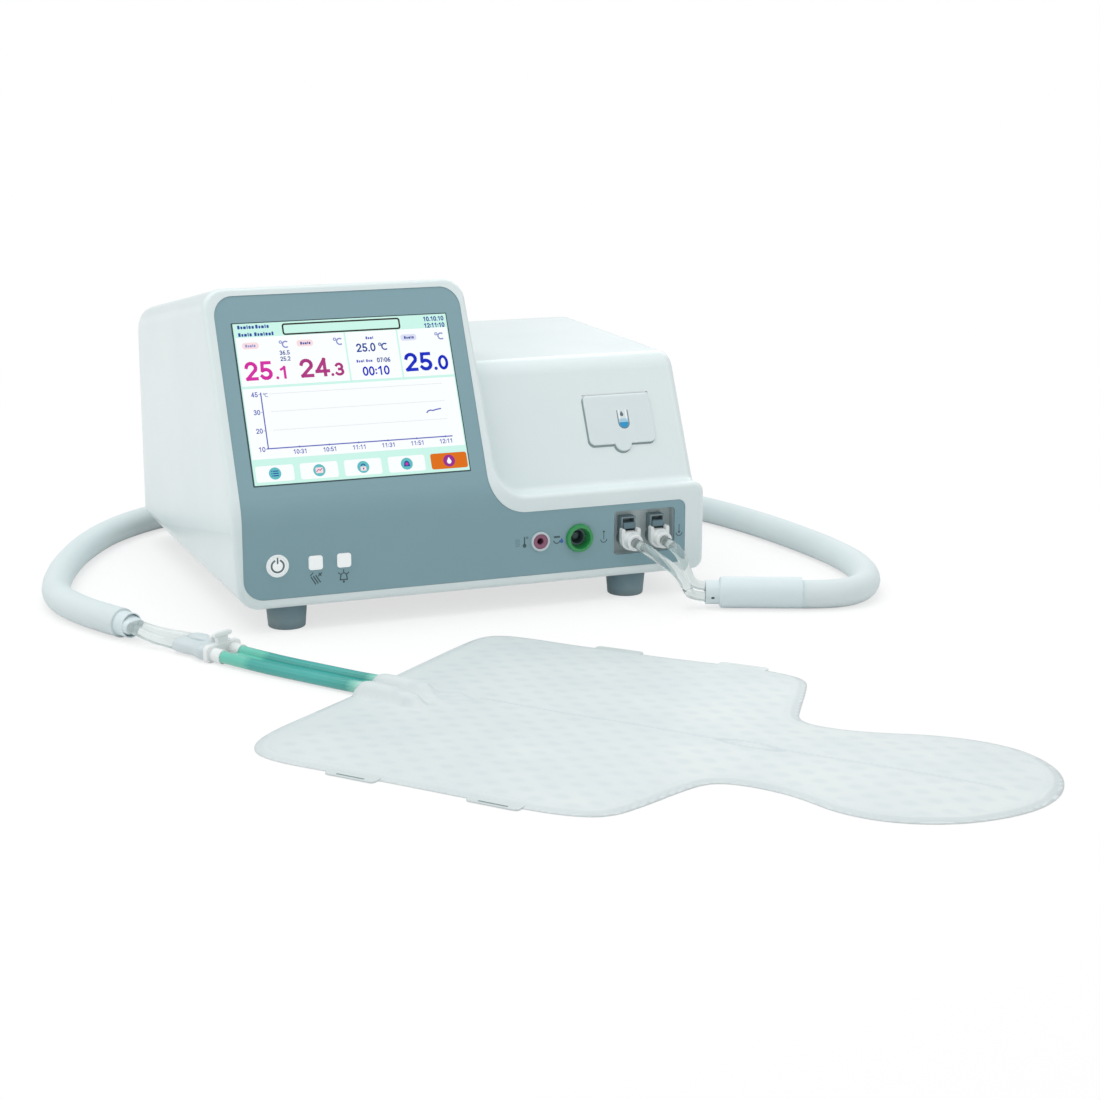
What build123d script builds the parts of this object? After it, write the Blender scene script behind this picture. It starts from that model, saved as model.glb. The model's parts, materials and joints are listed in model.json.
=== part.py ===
from build123d import *
import os
from math import asin, cos, hypot, radians, sin, tan

os.makedirs("parts", exist_ok=True)

# Neonatal cooling device: a table-top console that chills and circulates water, an insulated hose,
# a twin connector and a water blanket that lies in front of the console. All sizes are millimetres.
# Console positions are written as x from its left side, y from its lower front and z from the table,
# and at() moves them to the frame of the whole device, whose origin is the middle of its footprint.

# Console outside
WIDTH = 481.0
DEPTH = 428.0
FOOT_HEIGHT = 24.0
HEAD_WIDTH = 264.5          # tall part, measured where the front bends back
BEND_RADIUS = 60.0
LEAN = 26.43                # degrees, leaning screen side
SLOPE_LENGTH = 221.0
ROOF_FALL = 10.2            # degrees, tall roof towards the back
LEDGE_HEIGHT = 113.1        # step in front of the low right-hand part
BEND_HEIGHT = LEDGE_HEIGHT + 3.2    # the front is upright below this and leans back above it
LEDGE_DEPTH = 22.5
LOW_ROOF = 231.8
SLANT = 26.7                # degrees, slanted face with the filling door
REAR_BREAK = 364.0          # where the low roof starts to fall
REAR_FALL = 20.0            # degrees
REAR_BREAK_RADIUS = 60.0
REAR_RADIUS = 30.0
CREST_RADIUS = 24.0
SIDE_RADIUS = 21.0          # long edges of the tall part
END_RADIUS = 11.0           # edges of the right-hand end
CORNER_RADIUS = 30.0        # inner corner between the ledge and the tall part
JOIN_RADIUS = 8.0           # hollow round where the low part meets the tall one
FRONT_RADIUS = 5.0
WALL_DRAFT = 1.16           # degrees, right wall of the tall part
TUCK_HEIGHT = 100.0         # the left wall is tucked in below a line from here to the back foot
TUCK_WIDTH = 6.0
FRONT_BLOCK = 290.0         # the front rounds are made on the body in front of this depth
RUN_OUT_FALL = 32.0         # degrees, how steeply the hollow round sinks away at the back

# Shells
WALL = 3.0
FRAME_DEPTH = 10.0
SEAM = 0.2
LIP_THICKNESS = 2.0
LIP_LENGTH = 5.0
FIT = 0.2                   # clearance between parts that drop into each other
REST_GAP = 0.3              # clearance between a moving part and its seat

# Grey control panel
PANEL_LEFT = 10.0
PANEL_RIGHT = 460.0
PANEL_HEAD_RIGHT = 254.0
PANEL_BOTTOM = 33.5
PANEL_LOW_TOP = LEDGE_HEIGHT - 16.1
PANEL_TOP = BEND_HEIGHT + 190.7
PANEL_THICKNESS = 3.0
PANEL_RECESS = 0.6
PANEL_FOOT_RADIUS = 20.0
PANEL_END_RADIUS = 8.0
PANEL_INNER_RADIUS = 38.0
PANEL_TOP_RADIUS = 19.0
PANEL_LEDGE = 4.0           # width of the frame's seat under the panel's edge

# Screen
SCREEN_LEFT = 24.9
SCREEN_WIDTH = 211.2
SCREEN_FOOT = 26.1          # along the leaning front, from the bend
SCREEN_HEIGHT = 158.4
GLASS_MARGIN = 3.6
GLASS_THICKNESS = 2.0
DISPLAY_MARGIN = 5.5
DISPLAY_THICKNESS = 9.0
BRACKET_THICKNESS = 1.5
BRACKET_WINDOW = (130.0, 90.0)
EAR_WIDTH = 5.5
EAR_LENGTH = 16.0

# Button and keys
BUTTON_ROW = 65.5
BUTTON_X = 42.6
BEZEL_DIAMETER = 21.7
BEZEL_SLEEVE = 19.0
BEZEL_LENGTH = 8.0
CAP_LIP = 1.6               # how far the bezel and keys stand out of the panel
BUTTON_DIAMETER = 16.4
BUTTON_SINK = 0.4           # how far the button's face lies behind its bezel's
KEY_XS = (79.4, 107.1)
KEY_SIZE = 13.6
KEY_RADIUS = 2.6
KEY_RIM = 1.2
KEY_TRAVEL = 1.2
STEM_WIDTH = 5.0
KEY_BOARD_DEPTH = 14.0
SWITCH_HEIGHT = 3.5
BOARD_MARGIN = 8.0
POST_DIAMETER = 5.0

# Sockets
SOCKET_ROW = 66.6
PROBE_X = 305.7
PROBE_RING_DIAMETER = 19.3
PROBE_BODY_DIAMETER = 14.6
PROBE_BORE = 6.35
PROBE_BORE_LENGTH = 14.0
PROBE_DEPTH = 26.0
RING_LIP = 1.8
SENSOR_X = 346.6
SENSOR_RING_DIAMETER = 28.6
SENSOR_RING_LIP = 4.0
SENSOR_SLEEVE = 21.0
SENSOR_THROAT = 16.8
SENSOR_CUP_DIAMETER = 13.2
SENSOR_CUP_LENGTH = 12.0
SENSOR_PIN_DIAMETER = 6.4
SENSOR_PIN_LENGTH = 6.0
SENSOR_SEAT = 6.0
SENSOR_DEPTH = 24.0

# Water couplings in their recess
PORT_LEFT = 383.5
PORT_WIDTH = 65.5
PORT_FOOT = 46.0
PORT_HEIGHT = 44.0
PORT_RADIUS = 4.0
PORT_DEPTH = 10.4           # from the panel's back
PORT_WALL = 2.0
COUPLING_XS = (400.0, 431.0)
COUPLING_ROW = 60.5
COUPLING_DIAMETER = 16.4
COUPLING_BORE = 10.4
COUPLING_BORE_LENGTH = 12.0
COUPLING_FRONT = 2.5        # face that the plug's barrel meets
COUPLING_BACK = 30.0
COUPLING_TAIL = 52.0
TAIL_DIAMETER = 9.0
WATERWAY = 5.0
SHROUD_FRONT = 3.0
SHROUD_WIDTH = 15.0
SHROUD_TOP = 22.5           # above the couplings' axis
SHROUD_WALL = 1.4
LATCH_FOOT = 10.8           # above the couplings' axis
LATCH_HEIGHT = 6.2
LATCH_FRONT = 0.8
LATCH_LENGTH = 11.0
LATCH_TRAVEL = 2.0
BARREL_DIAMETER = 16.4
BARREL_FRONT = -16.0
BARREL_SOCKET = 6.0
NOSE_DIAMETER = 10.0
NOSE_LENGTH = 9.5
HORN_WIDTH = 20.0
HORN_THICKNESS = 3.5
HORN_TOP = 12.2             # above the couplings' axis
HORN_FRONT = -4.5

# Filling door on the slanted face
DOOR_LEFT = 374.0
DOOR_WIDTH = 71.0
DOOR_FOOT = 40.0            # along the slanted face, from the ledge
DOOR_HEIGHT = 52.4
DOOR_PROUD = 2.0
DOOR_SINK = 3.2             # how deep the door lies in its seat
DOOR_SKIN = 2.2
DOOR_RIM = 4.0
DOOR_RADIUS = 6.0
FINGER_WIDTH = 18.0
FINGER_REACH = 7.7
HINGE_DEPTH = 1.6           # axis under the slanted surface
HINGE_INSET = 3.6           # axis below the door's top edge
PIN_DIAMETER = 1.8
PIN_FIT = 0.1
PIN_REACH = 4.0             # into the casing at each side
DOOR_SEAT_DEPTH = 8.0
NECK_DIAMETER = 30.0
NECK_BORE = 25.0
NECK_FLANGE = 36.0
NECK_FLANGE_THICKNESS = 1.6
NECK_RISE = 62.6            # place of the neck's axis along the slanted face

# Feet
FOOT_TOP_DIAMETER = 39.6
FOOT_BOTTOM_DIAMETER = 35.5
FOOT_XS = (56.7, 406.6)
FOOT_YS = (25.6, 392.0)
STUD_WIDTH = 8.0

# Bottom closure
BASE_THICKNESS = 1.5
BASE_LEFT = 30.0
BASE_RIGHT = 469.0
BASE_FRONT = 14.0
BASE_BACK = 416.0
BASE_SEAT = 10.0
BASE_RADIUS = 6.0
BOSS_DIAMETER = 11.0
BOSS_HEIGHT = 20.0
SCREW_YS = (80.0, 214.0, 350.0)
SCREW_INSET = 6.0
SCREW_DIAMETER = 4.0
SCREW_HEAD = 7.4
SCREW_HEAD_THICKNESS = 2.4
SCREW_LENGTH = 14.0
INTAKE_SLOTS = 9
INTAKE_PITCH = 9.0
INTAKE_LENGTH = 60.0
INTAKE_WIDTH = 4.0

# Water circuit
TANK_LEFT = 300.0
TANK_RIGHT = 452.0
TANK_FRONT = 70.0
TANK_BACK = 222.0
TANK_TOP = 112.0
TANK_WALL = 2.5
TANK_RADIUS = 6.0
LID_THICKNESS = 3.0
STEM_X = 326.0
STEM_Y = 100.0
STEM_DIAMETER = 5.0
STEM_LENGTH = 66.0
STEM_STOP = 10.0
STEM_STOP_THICKNESS = 2.0
FLOAT_DIAMETER = 18.0
FLOAT_HEIGHT = 20.0
PUMP_X = 210.0
PUMP_Y = 150.0
PUMP_DIAMETER = 62.0
PUMP_HEIGHT = 36.0
PUMP_ROOM_FLOOR = 8.0
IMPELLER_DIAMETER = 44.0
IMPELLER_HEIGHT = 14.0
IMPELLER_DISC = 2.5
VANES = 6
MOTOR_DIAMETER = 52.0
MOTOR_HEIGHT = 60.0
SHAFT_DIAMETER = 5.0
SHAFT_LENGTH = 40.0
STUB_DIAMETER = 12.0
STUB_LENGTH = 8.0
PIPE_DIAMETER = 9.0
PIPE_BEND = 8.0
INTAKE_LEVEL = 38.0         # pipe from the tank to the pump
OUTLET_LEVEL = 50.0         # pipe from the pump to the cooling block
DRAIN_LEVEL = 36.0
SUPPLY_LANE_X = 286.0       # pipe that runs forward beside the tank
SUPPLY_LANE_GAP = 33.0      # pipe's clearance in front of the cooling block
OUTLET_LANE_GAP = 47.0

# Cooling stack against the back wall
FAN_X = 384.0
FAN_Z = 104.0
FAN_SIZE = 120.0
FAN_THICKNESS = 25.0
FAN_HOLE = 112.0
FAN_RADIUS = 4.0
HUB_DIAMETER = 40.0
HUB_LENGTH = 19.0
BLADES = 9
BLADE_CHORD = 20.0
BLADE_THICKNESS = 1.6
BLADE_PITCH = 50.0          # degrees from the plane of the fan
BLADE_TIP = 53.0
MOUNT_PLATE = 3.0
AXLE_DIAMETER = 6.0
VENT_DIAMETER = 110.0
GRILLE_FLANGE = 118.0
GRILLE_THICKNESS = 2.0
GRILLE_RINGS = 6
SINK_DEPTH = 45.0
SINK_SIZE = 110.0
SINK_BASE = 8.0
FINS = 18
FIN_THICKNESS = 1.2
PELTIER_SIZE = 40.0
PELTIER_THICKNESS = 4.0
PELTIER_SPACING = 46.0
BLOCK_DEPTH = 16.0
BLOCK_WIDTH = 100.0
BLOCK_HEIGHT = 60.0
PORT_SPREAD = 70.0

# Electronics
BOARD_THICKNESS = 1.6
BOARD_LEFT = 54.0
BOARD_WIDTH = 120.0
BOARD_FOOT = 40.0
BOARD_HEIGHT = 140.0
BOARD_Y = 214.0
CARD_TAB_HEIGHT = 32.0
CARD_TAB_WIDTH = 12.0
SUPPLY_LEFT = 44.0
SUPPLY_WIDTH = 110.0
SUPPLY_FRONT = 256.0
SUPPLY_DEPTH = 108.0
SUPPLY_HEIGHT = 52.0

# Back wall fittings
ENTRY_LEFT = 34.0           # mains entry: inlet, rocker switch and fuse drawer in one plate
ENTRY_WIDTH = 78.0
ENTRY_HEIGHT = 32.0
ENTRY_ROW = 68.0
ENTRY_FLANGE = 2.5
ENTRY_DEPTH = 28.0
ENTRY_EDGE = 2.0
INLET_X = 58.0
INLET_WIDTH = 24.6
INLET_HEIGHT = 17.0
INLET_DEPTH = 20.0
BLADE_LENGTH = 13.0
BLADE_SPACING = 7.0
ROCKER_X = 86.0
ROCKER_WIDTH = 12.0
ROCKER_HEIGHT = 20.0
ROCKER_SWING = 10.0         # degrees from the middle to each side
ROCKER_AXIS = 0.5           # in front of the flange's outer face, inwards
TRUNNION_DIAMETER = 3.0
TRUNNION_LENGTH = 1.5
FUSE_X = 101.5
FUSE_WIDTH = 8.0
FUSE_HEIGHT = 22.0
FUSE_LENGTH = 24.0
STUD_X = 150.0
STUD_DIAMETER = 6.0
STUD_LENGTH = 15.0
DRAIN_X = TANK_LEFT + 16.0
DRAIN_DIAMETER = 8.0
DRAIN_BORE = 5.0
DRAIN_LENGTH = 18.0
HEX_SIZE = 15.0
HEX_THICKNESS = 4.0

# Insulated hose and the clear tubes that leave its two ends
HOSE_DIAMETER = 28.0
CUFF_DIAMETER = 31.0
CUFF_START = (544.0, -93.0)
COLLAR_MOUTH = (457.0, -57.0)
COLLAR_DIAMETER = 23.6
COLLAR_BORE = 21.6
COLLAR_LENGTH = 12.0        # depth of its open end
COLLAR_FLOOR = 1.5
FLOOR_GAP = 0.2             # hose, cuff and tubes lie this far above the table
TUBE_DIAMETER = 10.0
TUBE_SPREAD = 10.3          # between the two tubes inside a collar

# Twin connector and the blanket's tubes
PAIR_SPACING = 23.0
CONNECTOR_LENGTH = 46.0
CONNECTOR_WIDTH = 36.0
CONNECTOR_SHOULDER = 42.0
SHOULDER_LENGTH = 12.0
CONNECTOR_HEIGHT = 14.0
CONNECTOR_X = -50.3
CONNECTOR_Y = -20.2
CONNECTOR_AXIS = (0.490, -0.872)
FACE_PLATE = 5.0
NIPPLE_DIAMETER = 13.0
NIPPLE_LENGTH = 12.0
RELEASE_WIDTH = 12.0
RELEASE_HEIGHT = 10.0
RELEASE_THICKNESS = 4.0
BLANKET_TUBE_DIAMETER = 11.0
WEB_THICKNESS = 4.0

# Blanket, drawn along its axis from the foot end
BLANKET_X = 84.0
BLANKET_Y = -194.0
BLANKET_AXIS = (0.639, -0.769)
BODY_LENGTH = 343.0
BODY_WIDTH = 386.0
BLANKET_THICKNESS = 8.0
NECK_WIDTH = 172.0
HEAD_CENTRE = 485.0
HEAD_RADIUS = 107.0
HEAD_ROUND = 16.0
BODY_RADIUS = 24.0
SHOULDER_RADIUS = 22.0
TAB_STARTS = (80.0, 205.0)
TAB_LENGTH = 56.0
TAB_OVERHANG = 15.0
SLOT_LENGTH = 30.0
SLOT_WIDTH = 4.5
INLET_BOSS_DIAMETER = 16.0
INLET_BOSS_LENGTH = 24.0
INLET_BOSS_END = 9.0

# Routes of the hose and the tubes, as points of the console's x, y and z
HOSE_ROUTE = (
    (544, -93), (570, -103.7586), (605, -98), (632, -68), (650, -20), (656, 40), (651, 110), (640, 190),
    (618, 275), (584, 356), (540, 424), (462, 476), (345, 500), (215, 508), (98, 500), (22, 468),
    (-36, 416), (-78, 350), (-110, 277), (-132, 205), (-139, 150), (-126, 100), (-112, 68), (-97, 39),
)
SUPPLY_ROUTE = (
    (400, -10, 60.5), (400, -25, 60.5), (407, -43, 55), (416, -56, 47), (424, -62, 40),
    (430, -64.5, 31), (435.5, -62, 21.5), (443, -54, 13.5),
)
RETURN_ROUTE = (
    (431, -10, 60.5), (431, -24, 60.5), (436.5, -37.5, 54), (440, -43, 43.5), (442.5, -45.5, 33.5),
    (445, -50, 24.5),
)
FRONT_PAIR_ROUTE = ((-87, 9.3, 12.5), (-77, -5, 9))
BACK_PAIR_ROUTE = ((-73.5, 11.5, 11.5), (-59.5, 2, 8.5))
PAIR_RUN = 12.0             # straight part of a tube behind the connector
BAND_ROUTE = ((10, -120.5, 5.8), (34, -154, 5.8), (53, -181, 9.5), (66.5, -199.5, 14.2))
FRONT_END_ROUTE = ((72, -225, 14.6), (82, -244, 13.7), (88, -264, 13.7))
BACK_END_ROUTE = ((88, -206, 14.6), (99, -221, 13.7), (106.7, -237.2, 13.7))
COLLAR_RUN = 13.0           # straight part of a tube at a collar
BAND_RUN = 19.0             # straight part of a tube at the connector


def rise(angle):
    """Slope of a line at this angle in degrees."""
    return tan(radians(angle))


# Blanket outline, in its own axes: x along it from the foot end, y across it
with BuildSketch() as blanket_outline:
    with Locations((BODY_LENGTH / 2, 0)):
        RectangleRounded(BODY_LENGTH, BODY_WIDTH, BODY_RADIUS)
    with Locations(((BODY_LENGTH + HEAD_CENTRE) / 2, 0)):
        Rectangle(HEAD_CENTRE - BODY_LENGTH + 2 * HEAD_ROUND, NECK_WIDTH)
    with Locations((HEAD_CENTRE, 0)):
        Circle(HEAD_RADIUS)
    shoulders = [
        corner
        for corner in blanket_outline.vertices()
        if abs(corner.X - BODY_LENGTH) < 0.01 and abs(abs(corner.Y) - NECK_WIDTH / 2) < 0.01
    ]
    fillet(shoulders, SHOULDER_RADIUS)
    for tab_start in TAB_STARTS:
        with Locations((tab_start + TAB_LENGTH / 2, 0)):
            RectangleRounded(TAB_LENGTH, BODY_WIDTH + 2 * TAB_OVERHANG, 5)

# The origin is the middle of the footprint of the console, its back fittings and the blanket
REAR_REACH = DEPTH + HEX_THICKNESS + DRAIN_LENGTH
blanket_spread = Plane(
    origin=(BLANKET_X, BLANKET_Y, 0), x_dir=(*BLANKET_AXIS, 0), z_dir=(0, 0, 1)
).from_local_coords(blanket_outline.sketch)
footprint = blanket_spread.bounding_box()
CENTRE_X = (min(0, footprint.min.X) + max(WIDTH, footprint.max.X)) / 2
CENTRE_Y = (footprint.min.Y + REAR_REACH) / 2


def at(x, y, z):
    """A point of the console, in the frame of the whole device."""
    return Vector(x - CENTRE_X, y - CENTRE_Y, z)


def facing_front(y):
    """Upright plane seen from the front: sketches are in x and z, and extrusions come forward."""
    return Plane(origin=at(0, y, 0), x_dir=(1, 0, 0), z_dir=(0, -1, 0))


def side_on(x):
    """Upright plane seen from the right: sketches are in y and z, and extrusions go right."""
    return Plane(origin=at(x, 0, 0), x_dir=(0, 1, 0), z_dir=(1, 0, 0))


def level(z):
    """Level plane: sketches are in x and y, and extrusions go up."""
    return Plane(origin=at(0, 0, z), x_dir=(1, 0, 0), z_dir=(0, 0, 1))


def on_screen(depth):
    """Plane of the leaning front, this far under its surface: x, and up the slope from the bend."""
    lean = radians(LEAN)
    origin = at(0, depth * cos(lean), BEND_HEIGHT - depth * sin(lean))
    return Plane(origin=origin, x_dir=(1, 0, 0), z_dir=(0, -cos(lean), sin(lean)))


def on_slant(depth):
    """Plane of the slanted face, this far under its surface: x, and up the slope from the ledge."""
    slant = radians(SLANT)
    origin = at(0, LEDGE_DEPTH + depth * cos(slant), LEDGE_HEIGHT - depth * sin(slant))
    return Plane(origin=origin, x_dir=(1, 0, 0), z_dir=(0, -cos(slant), sin(slant)))


def head_wall(z):
    """Place of the tall part's right wall at this height."""
    return HEAD_WIDTH - (z - BEND_HEIGHT) * rise(WALL_DRAFT)


# Corners of the two side profiles, as y and z
HEAD_TOP = (SLOPE_LENGTH * sin(radians(LEAN)), BEND_HEIGHT + SLOPE_LENGTH * cos(radians(LEAN)))
HEAD_REAR = HEAD_TOP[1] - (DEPTH - HEAD_TOP[0]) * rise(ROOF_FALL)
CREST_DEPTH = LEDGE_DEPTH + (LOW_ROOF - LEDGE_HEIGHT) * rise(SLANT)
LOW_REAR = LOW_ROOF - (DEPTH - REAR_BREAK) * rise(REAR_FALL)
LOW_START = HEAD_WIDTH - 12.0


def behind_front(depth):
    """Everything behind a surface this far under the bent front."""
    bend = (depth, BEND_HEIGHT - depth * tan(radians(LEAN / 2)))
    reach = SLOPE_LENGTH + 2 * REAR_RADIUS
    top = (bend[0] + reach * sin(radians(LEAN)), bend[1] + reach * cos(radians(LEAN)))
    back = DEPTH + REAR_RADIUS
    with BuildPart() as region:
        with BuildSketch(side_on(-REAR_RADIUS)):
            with BuildLine():
                FilletPolyline(
                    (depth, -REAR_RADIUS), bend, top, (back, top[1]), (back, -REAR_RADIUS),
                    radius=[0, BEND_RADIUS - depth, 0, 0, 0], close=True,
                )
            make_face()
        extrude(amount=WIDTH + 2 * REAR_RADIUS)
    return region.part


def tall_block(inset):
    """The tall left part of the console, this far inside its outer surface."""
    draft = radians(WALL_DRAFT)
    draft_plane = Plane(
        origin=at(HEAD_WIDTH - inset, 0, BEND_HEIGHT), x_dir=(0, 1, 0), z_dir=(cos(draft), 0, sin(draft))
    )
    front_foot = at(TUCK_WIDTH, 0, FOOT_HEIGHT)
    rear_foot = at(0, DEPTH - SIDE_RADIUS - FRONT_RADIUS, FOOT_HEIGHT)
    tuck_edge = (rear_foot - front_foot).normalized()
    tuck_normal = (at(0, 0, TUCK_HEIGHT) - rear_foot).cross(tuck_edge).normalized()
    tuck_plane = Plane(origin=rear_foot - tuck_normal * inset, z_dir=tuck_normal)
    foot_corner = at(TUCK_WIDTH + SIDE_RADIUS, 0, FOOT_HEIGHT + SIDE_RADIUS)
    foot_normal = Vector(-1, 0, -1).normalized()
    foot_plane = Plane(origin=foot_corner + foot_normal * (SIDE_RADIUS - inset), z_dir=foot_normal)
    front_reach = at(0, HEAD_TOP[0] + 2 * SIDE_RADIUS, 0).Y
    with BuildPart() as block:
        with BuildSketch(side_on(inset)):
            with BuildLine():
                FilletPolyline(
                    (0, FOOT_HEIGHT), (0, BEND_HEIGHT), HEAD_TOP, (DEPTH, HEAD_REAR), (DEPTH, FOOT_HEIGHT),
                    radius=[0, BEND_RADIUS, 0, REAR_RADIUS, 0], close=True,
                )
            make_face()
            if inset:
                offset(amount=-inset, kind=Kind.INTERSECTION)
        extrude(amount=HEAD_WIDTH + 2 * SIDE_RADIUS - 2 * inset)
        split(bisect_by=draft_plane, keep=Keep.BOTTOM)
        long_edges = []
        for edge in block.edges():
            middle = edge.center()
            on_left = middle.X < at(inset + 1, 0, 0).X
            on_right = middle.X > at(HEAD_WIDTH - inset - 8, 0, 0).X
            in_front = edge.bounding_box().max.Y < front_reach and middle.Y < front_reach
            at_foot = middle.Z < FOOT_HEIGHT + inset + 0.5
            if (on_left or on_right) and not in_front and not at_foot:
                long_edges.append(edge)
        fillet(long_edges, SIDE_RADIUS - inset)
        split(bisect_by=tuck_plane, keep=Keep.BOTTOM)
        if inset:
            split(bisect_by=foot_plane, keep=Keep.BOTTOM)
        else:
            tilt = asin(tuck_normal.Z * -1)
            run = SIDE_RADIUS / tan(radians(45) + tilt / 2)
            sideways = Vector(0, 0, 1).cross(tuck_edge) * -1
            start = front_foot - tuck_edge * SIDE_RADIUS
            with BuildSketch(Plane(origin=start, x_dir=sideways, z_dir=tuck_edge * -1)):
                with BuildLine():
                    TangentArc(
                        (run, 0), (-run * sin(tilt), run * cos(tilt)), tangent=(-1, 0)
                    )
                    Polyline(
                        (-run * sin(tilt), run * cos(tilt)), (-SIDE_RADIUS, run * cos(tilt)),
                        (-SIDE_RADIUS, -SIDE_RADIUS), (run, -SIDE_RADIUS), (run, 0),
                    )
                make_face()
            extrude(amount=-(DEPTH + 2 * SIDE_RADIUS), mode=Mode.SUBTRACT)
    return block.part


def low_block(inset):
    """The low right-hand part of the console, this far inside its outer surface."""
    with BuildPart() as block:
        with BuildSketch(side_on(LOW_START - inset)):
            with BuildLine():
                FilletPolyline(
                    (0, FOOT_HEIGHT), (0, LEDGE_HEIGHT), (LEDGE_DEPTH, LEDGE_HEIGHT),
                    (CREST_DEPTH, LOW_ROOF), (REAR_BREAK, LOW_ROOF), (DEPTH, LOW_REAR),
                    (DEPTH, FOOT_HEIGHT),
                    radius=[0, 0, 0, CREST_RADIUS, REAR_BREAK_RADIUS, REAR_RADIUS, 0], close=True,
                )
            make_face()
            if inset:
                offset(amount=-inset, kind=Kind.INTERSECTION)
        extrude(amount=WIDTH - LOW_START)
    return block.part


def end_edges(block, front, back):
    """Edges of the right-hand end between two depths."""
    end = block.faces().sort_by(Axis.X)[-1]
    return [edge for edge in end.edges() if at(0, front, 0).Y < edge.center().Y < at(0, back, 0).Y]


def cavity(inset):
    """Room inside the walls of the console."""
    with BuildPart() as room:
        add(low_block(inset))
        fillet(end_edges(room, inset + 0.5, DEPTH - inset + 1), END_RADIUS - inset)
        add(tall_block(inset))
    return room.part


tall = tall_block(0)
low = low_block(0)

# Front of the console, with the hollow round that runs from the ledge up the slanted face and back
arm = CORNER_RADIUS + 6
corner_top = LEDGE_HEIGHT + arm
with BuildPart() as front_body:
    add(tall)
    add(low)
    with BuildSketch(facing_front(-1)):
        with BuildLine():
            FilletPolyline(
                (head_wall(LEDGE_HEIGHT) + arm, LEDGE_HEIGHT),
                (head_wall(LEDGE_HEIGHT), LEDGE_HEIGHT),
                (head_wall(corner_top), corner_top),
                radius=CORNER_RADIUS,
            )
            Polyline(
                (head_wall(corner_top), corner_top), (LOW_START, corner_top),
                (LOW_START, LEDGE_HEIGHT - arm), (head_wall(LEDGE_HEIGHT) + arm, LEDGE_HEIGHT - arm),
                (head_wall(LEDGE_HEIGHT) + arm, LEDGE_HEIGHT),
            )
        make_face()
    extrude(amount=-(LEDGE_DEPTH + arm * rise(SLANT) + JOIN_RADIUS))
    split(bisect_by=facing_front(FRONT_BLOCK), keep=Keep.TOP)
    add(behind_front(0), mode=Mode.INTERSECT)
    hollow = []
    for edge in front_body.edges():
        middle = edge.center()
        box = edge.bounding_box()
        along_ledge = (
            abs(middle.Y - at(0, LEDGE_DEPTH, 0).Y) < 0.5 and abs(middle.Z - LEDGE_HEIGHT) < 0.5
        )
        beside_wall = at(HEAD_WIDTH - 6, 0, 0).X < middle.X < at(HEAD_WIDTH + CORNER_RADIUS, 0, 0).X
        behind_ledge = box.min.Y > at(0, LEDGE_DEPTH - 1, 0).Y
        in_height = LEDGE_HEIGHT < middle.Z < LOW_ROOF + 0.6
        before_cut = middle.Y < at(0, FRONT_BLOCK - 1, 0).Y
        if along_ledge or (beside_wall and behind_ledge and in_height and before_cut):
            hollow.append(edge)
    fillet(hollow, JOIN_RADIUS)
    fillet(end_edges(front_body, 2.5, FRONT_BLOCK - 0.5), END_RADIUS)
    front_faces = [
        face
        for face in front_body.faces()
        if face.normal_at(face.center()).Y < -0.8
        and (face.center().X < at(HEAD_WIDTH + CORNER_RADIUS, 0, 0).X or face.center().Z < LEDGE_HEIGHT)
    ]
    rim = []
    for face in front_faces:
        others = [edge for other in front_faces if other is not face for edge in other.edges()]
        rim += [edge for edge in face.edges() if not any(edge.is_same(other) for other in others)]
    fillet(rim, FRONT_RADIUS)

# Rear of the console, where the hollow round runs on and sinks away as the roof falls
round_end = REAR_BREAK - REAR_BREAK_RADIUS * tan(radians(REAR_FALL / 2))
with BuildPart() as rear_body:
    add(tall)
    add(low)
    split(bisect_by=facing_front(FRONT_BLOCK), keep=Keep.BOTTOM)
with BuildPart() as hollow_round:
    for start, angle, length in (
        (FRONT_BLOCK, 0, round_end - FRONT_BLOCK),
        (round_end, RUN_OUT_FALL, (DEPTH - round_end) / 2),
    ):
        with BuildSketch(facing_front(start)):
            with BuildLine():
                FilletPolyline(
                    (head_wall(LOW_ROOF) + 2 * JOIN_RADIUS, LOW_ROOF),
                    (head_wall(LOW_ROOF), LOW_ROOF),
                    (head_wall(LOW_ROOF + 2 * JOIN_RADIUS), LOW_ROOF + 2 * JOIN_RADIUS),
                    radius=JOIN_RADIUS,
                )
                Polyline(
                    (head_wall(LOW_ROOF + 2 * JOIN_RADIUS), LOW_ROOF + 2 * JOIN_RADIUS),
                    (LOW_START, LOW_ROOF + 2 * JOIN_RADIUS),
                    (LOW_START, LOW_ROOF - 2 * JOIN_RADIUS),
                    (head_wall(LOW_ROOF) + 2 * JOIN_RADIUS, LOW_ROOF - 2 * JOIN_RADIUS),
                    (head_wall(LOW_ROOF) + 2 * JOIN_RADIUS, LOW_ROOF),
                )
            make_face()
        extrude(amount=length, dir=(0, cos(radians(angle)), -sin(radians(angle))))

with BuildPart() as console:
    add(rear_body)
    add(hollow_round)
    fillet(end_edges(console, FRONT_BLOCK + 0.5, DEPTH + 1), END_RADIUS)
    add(front_body)


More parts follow.
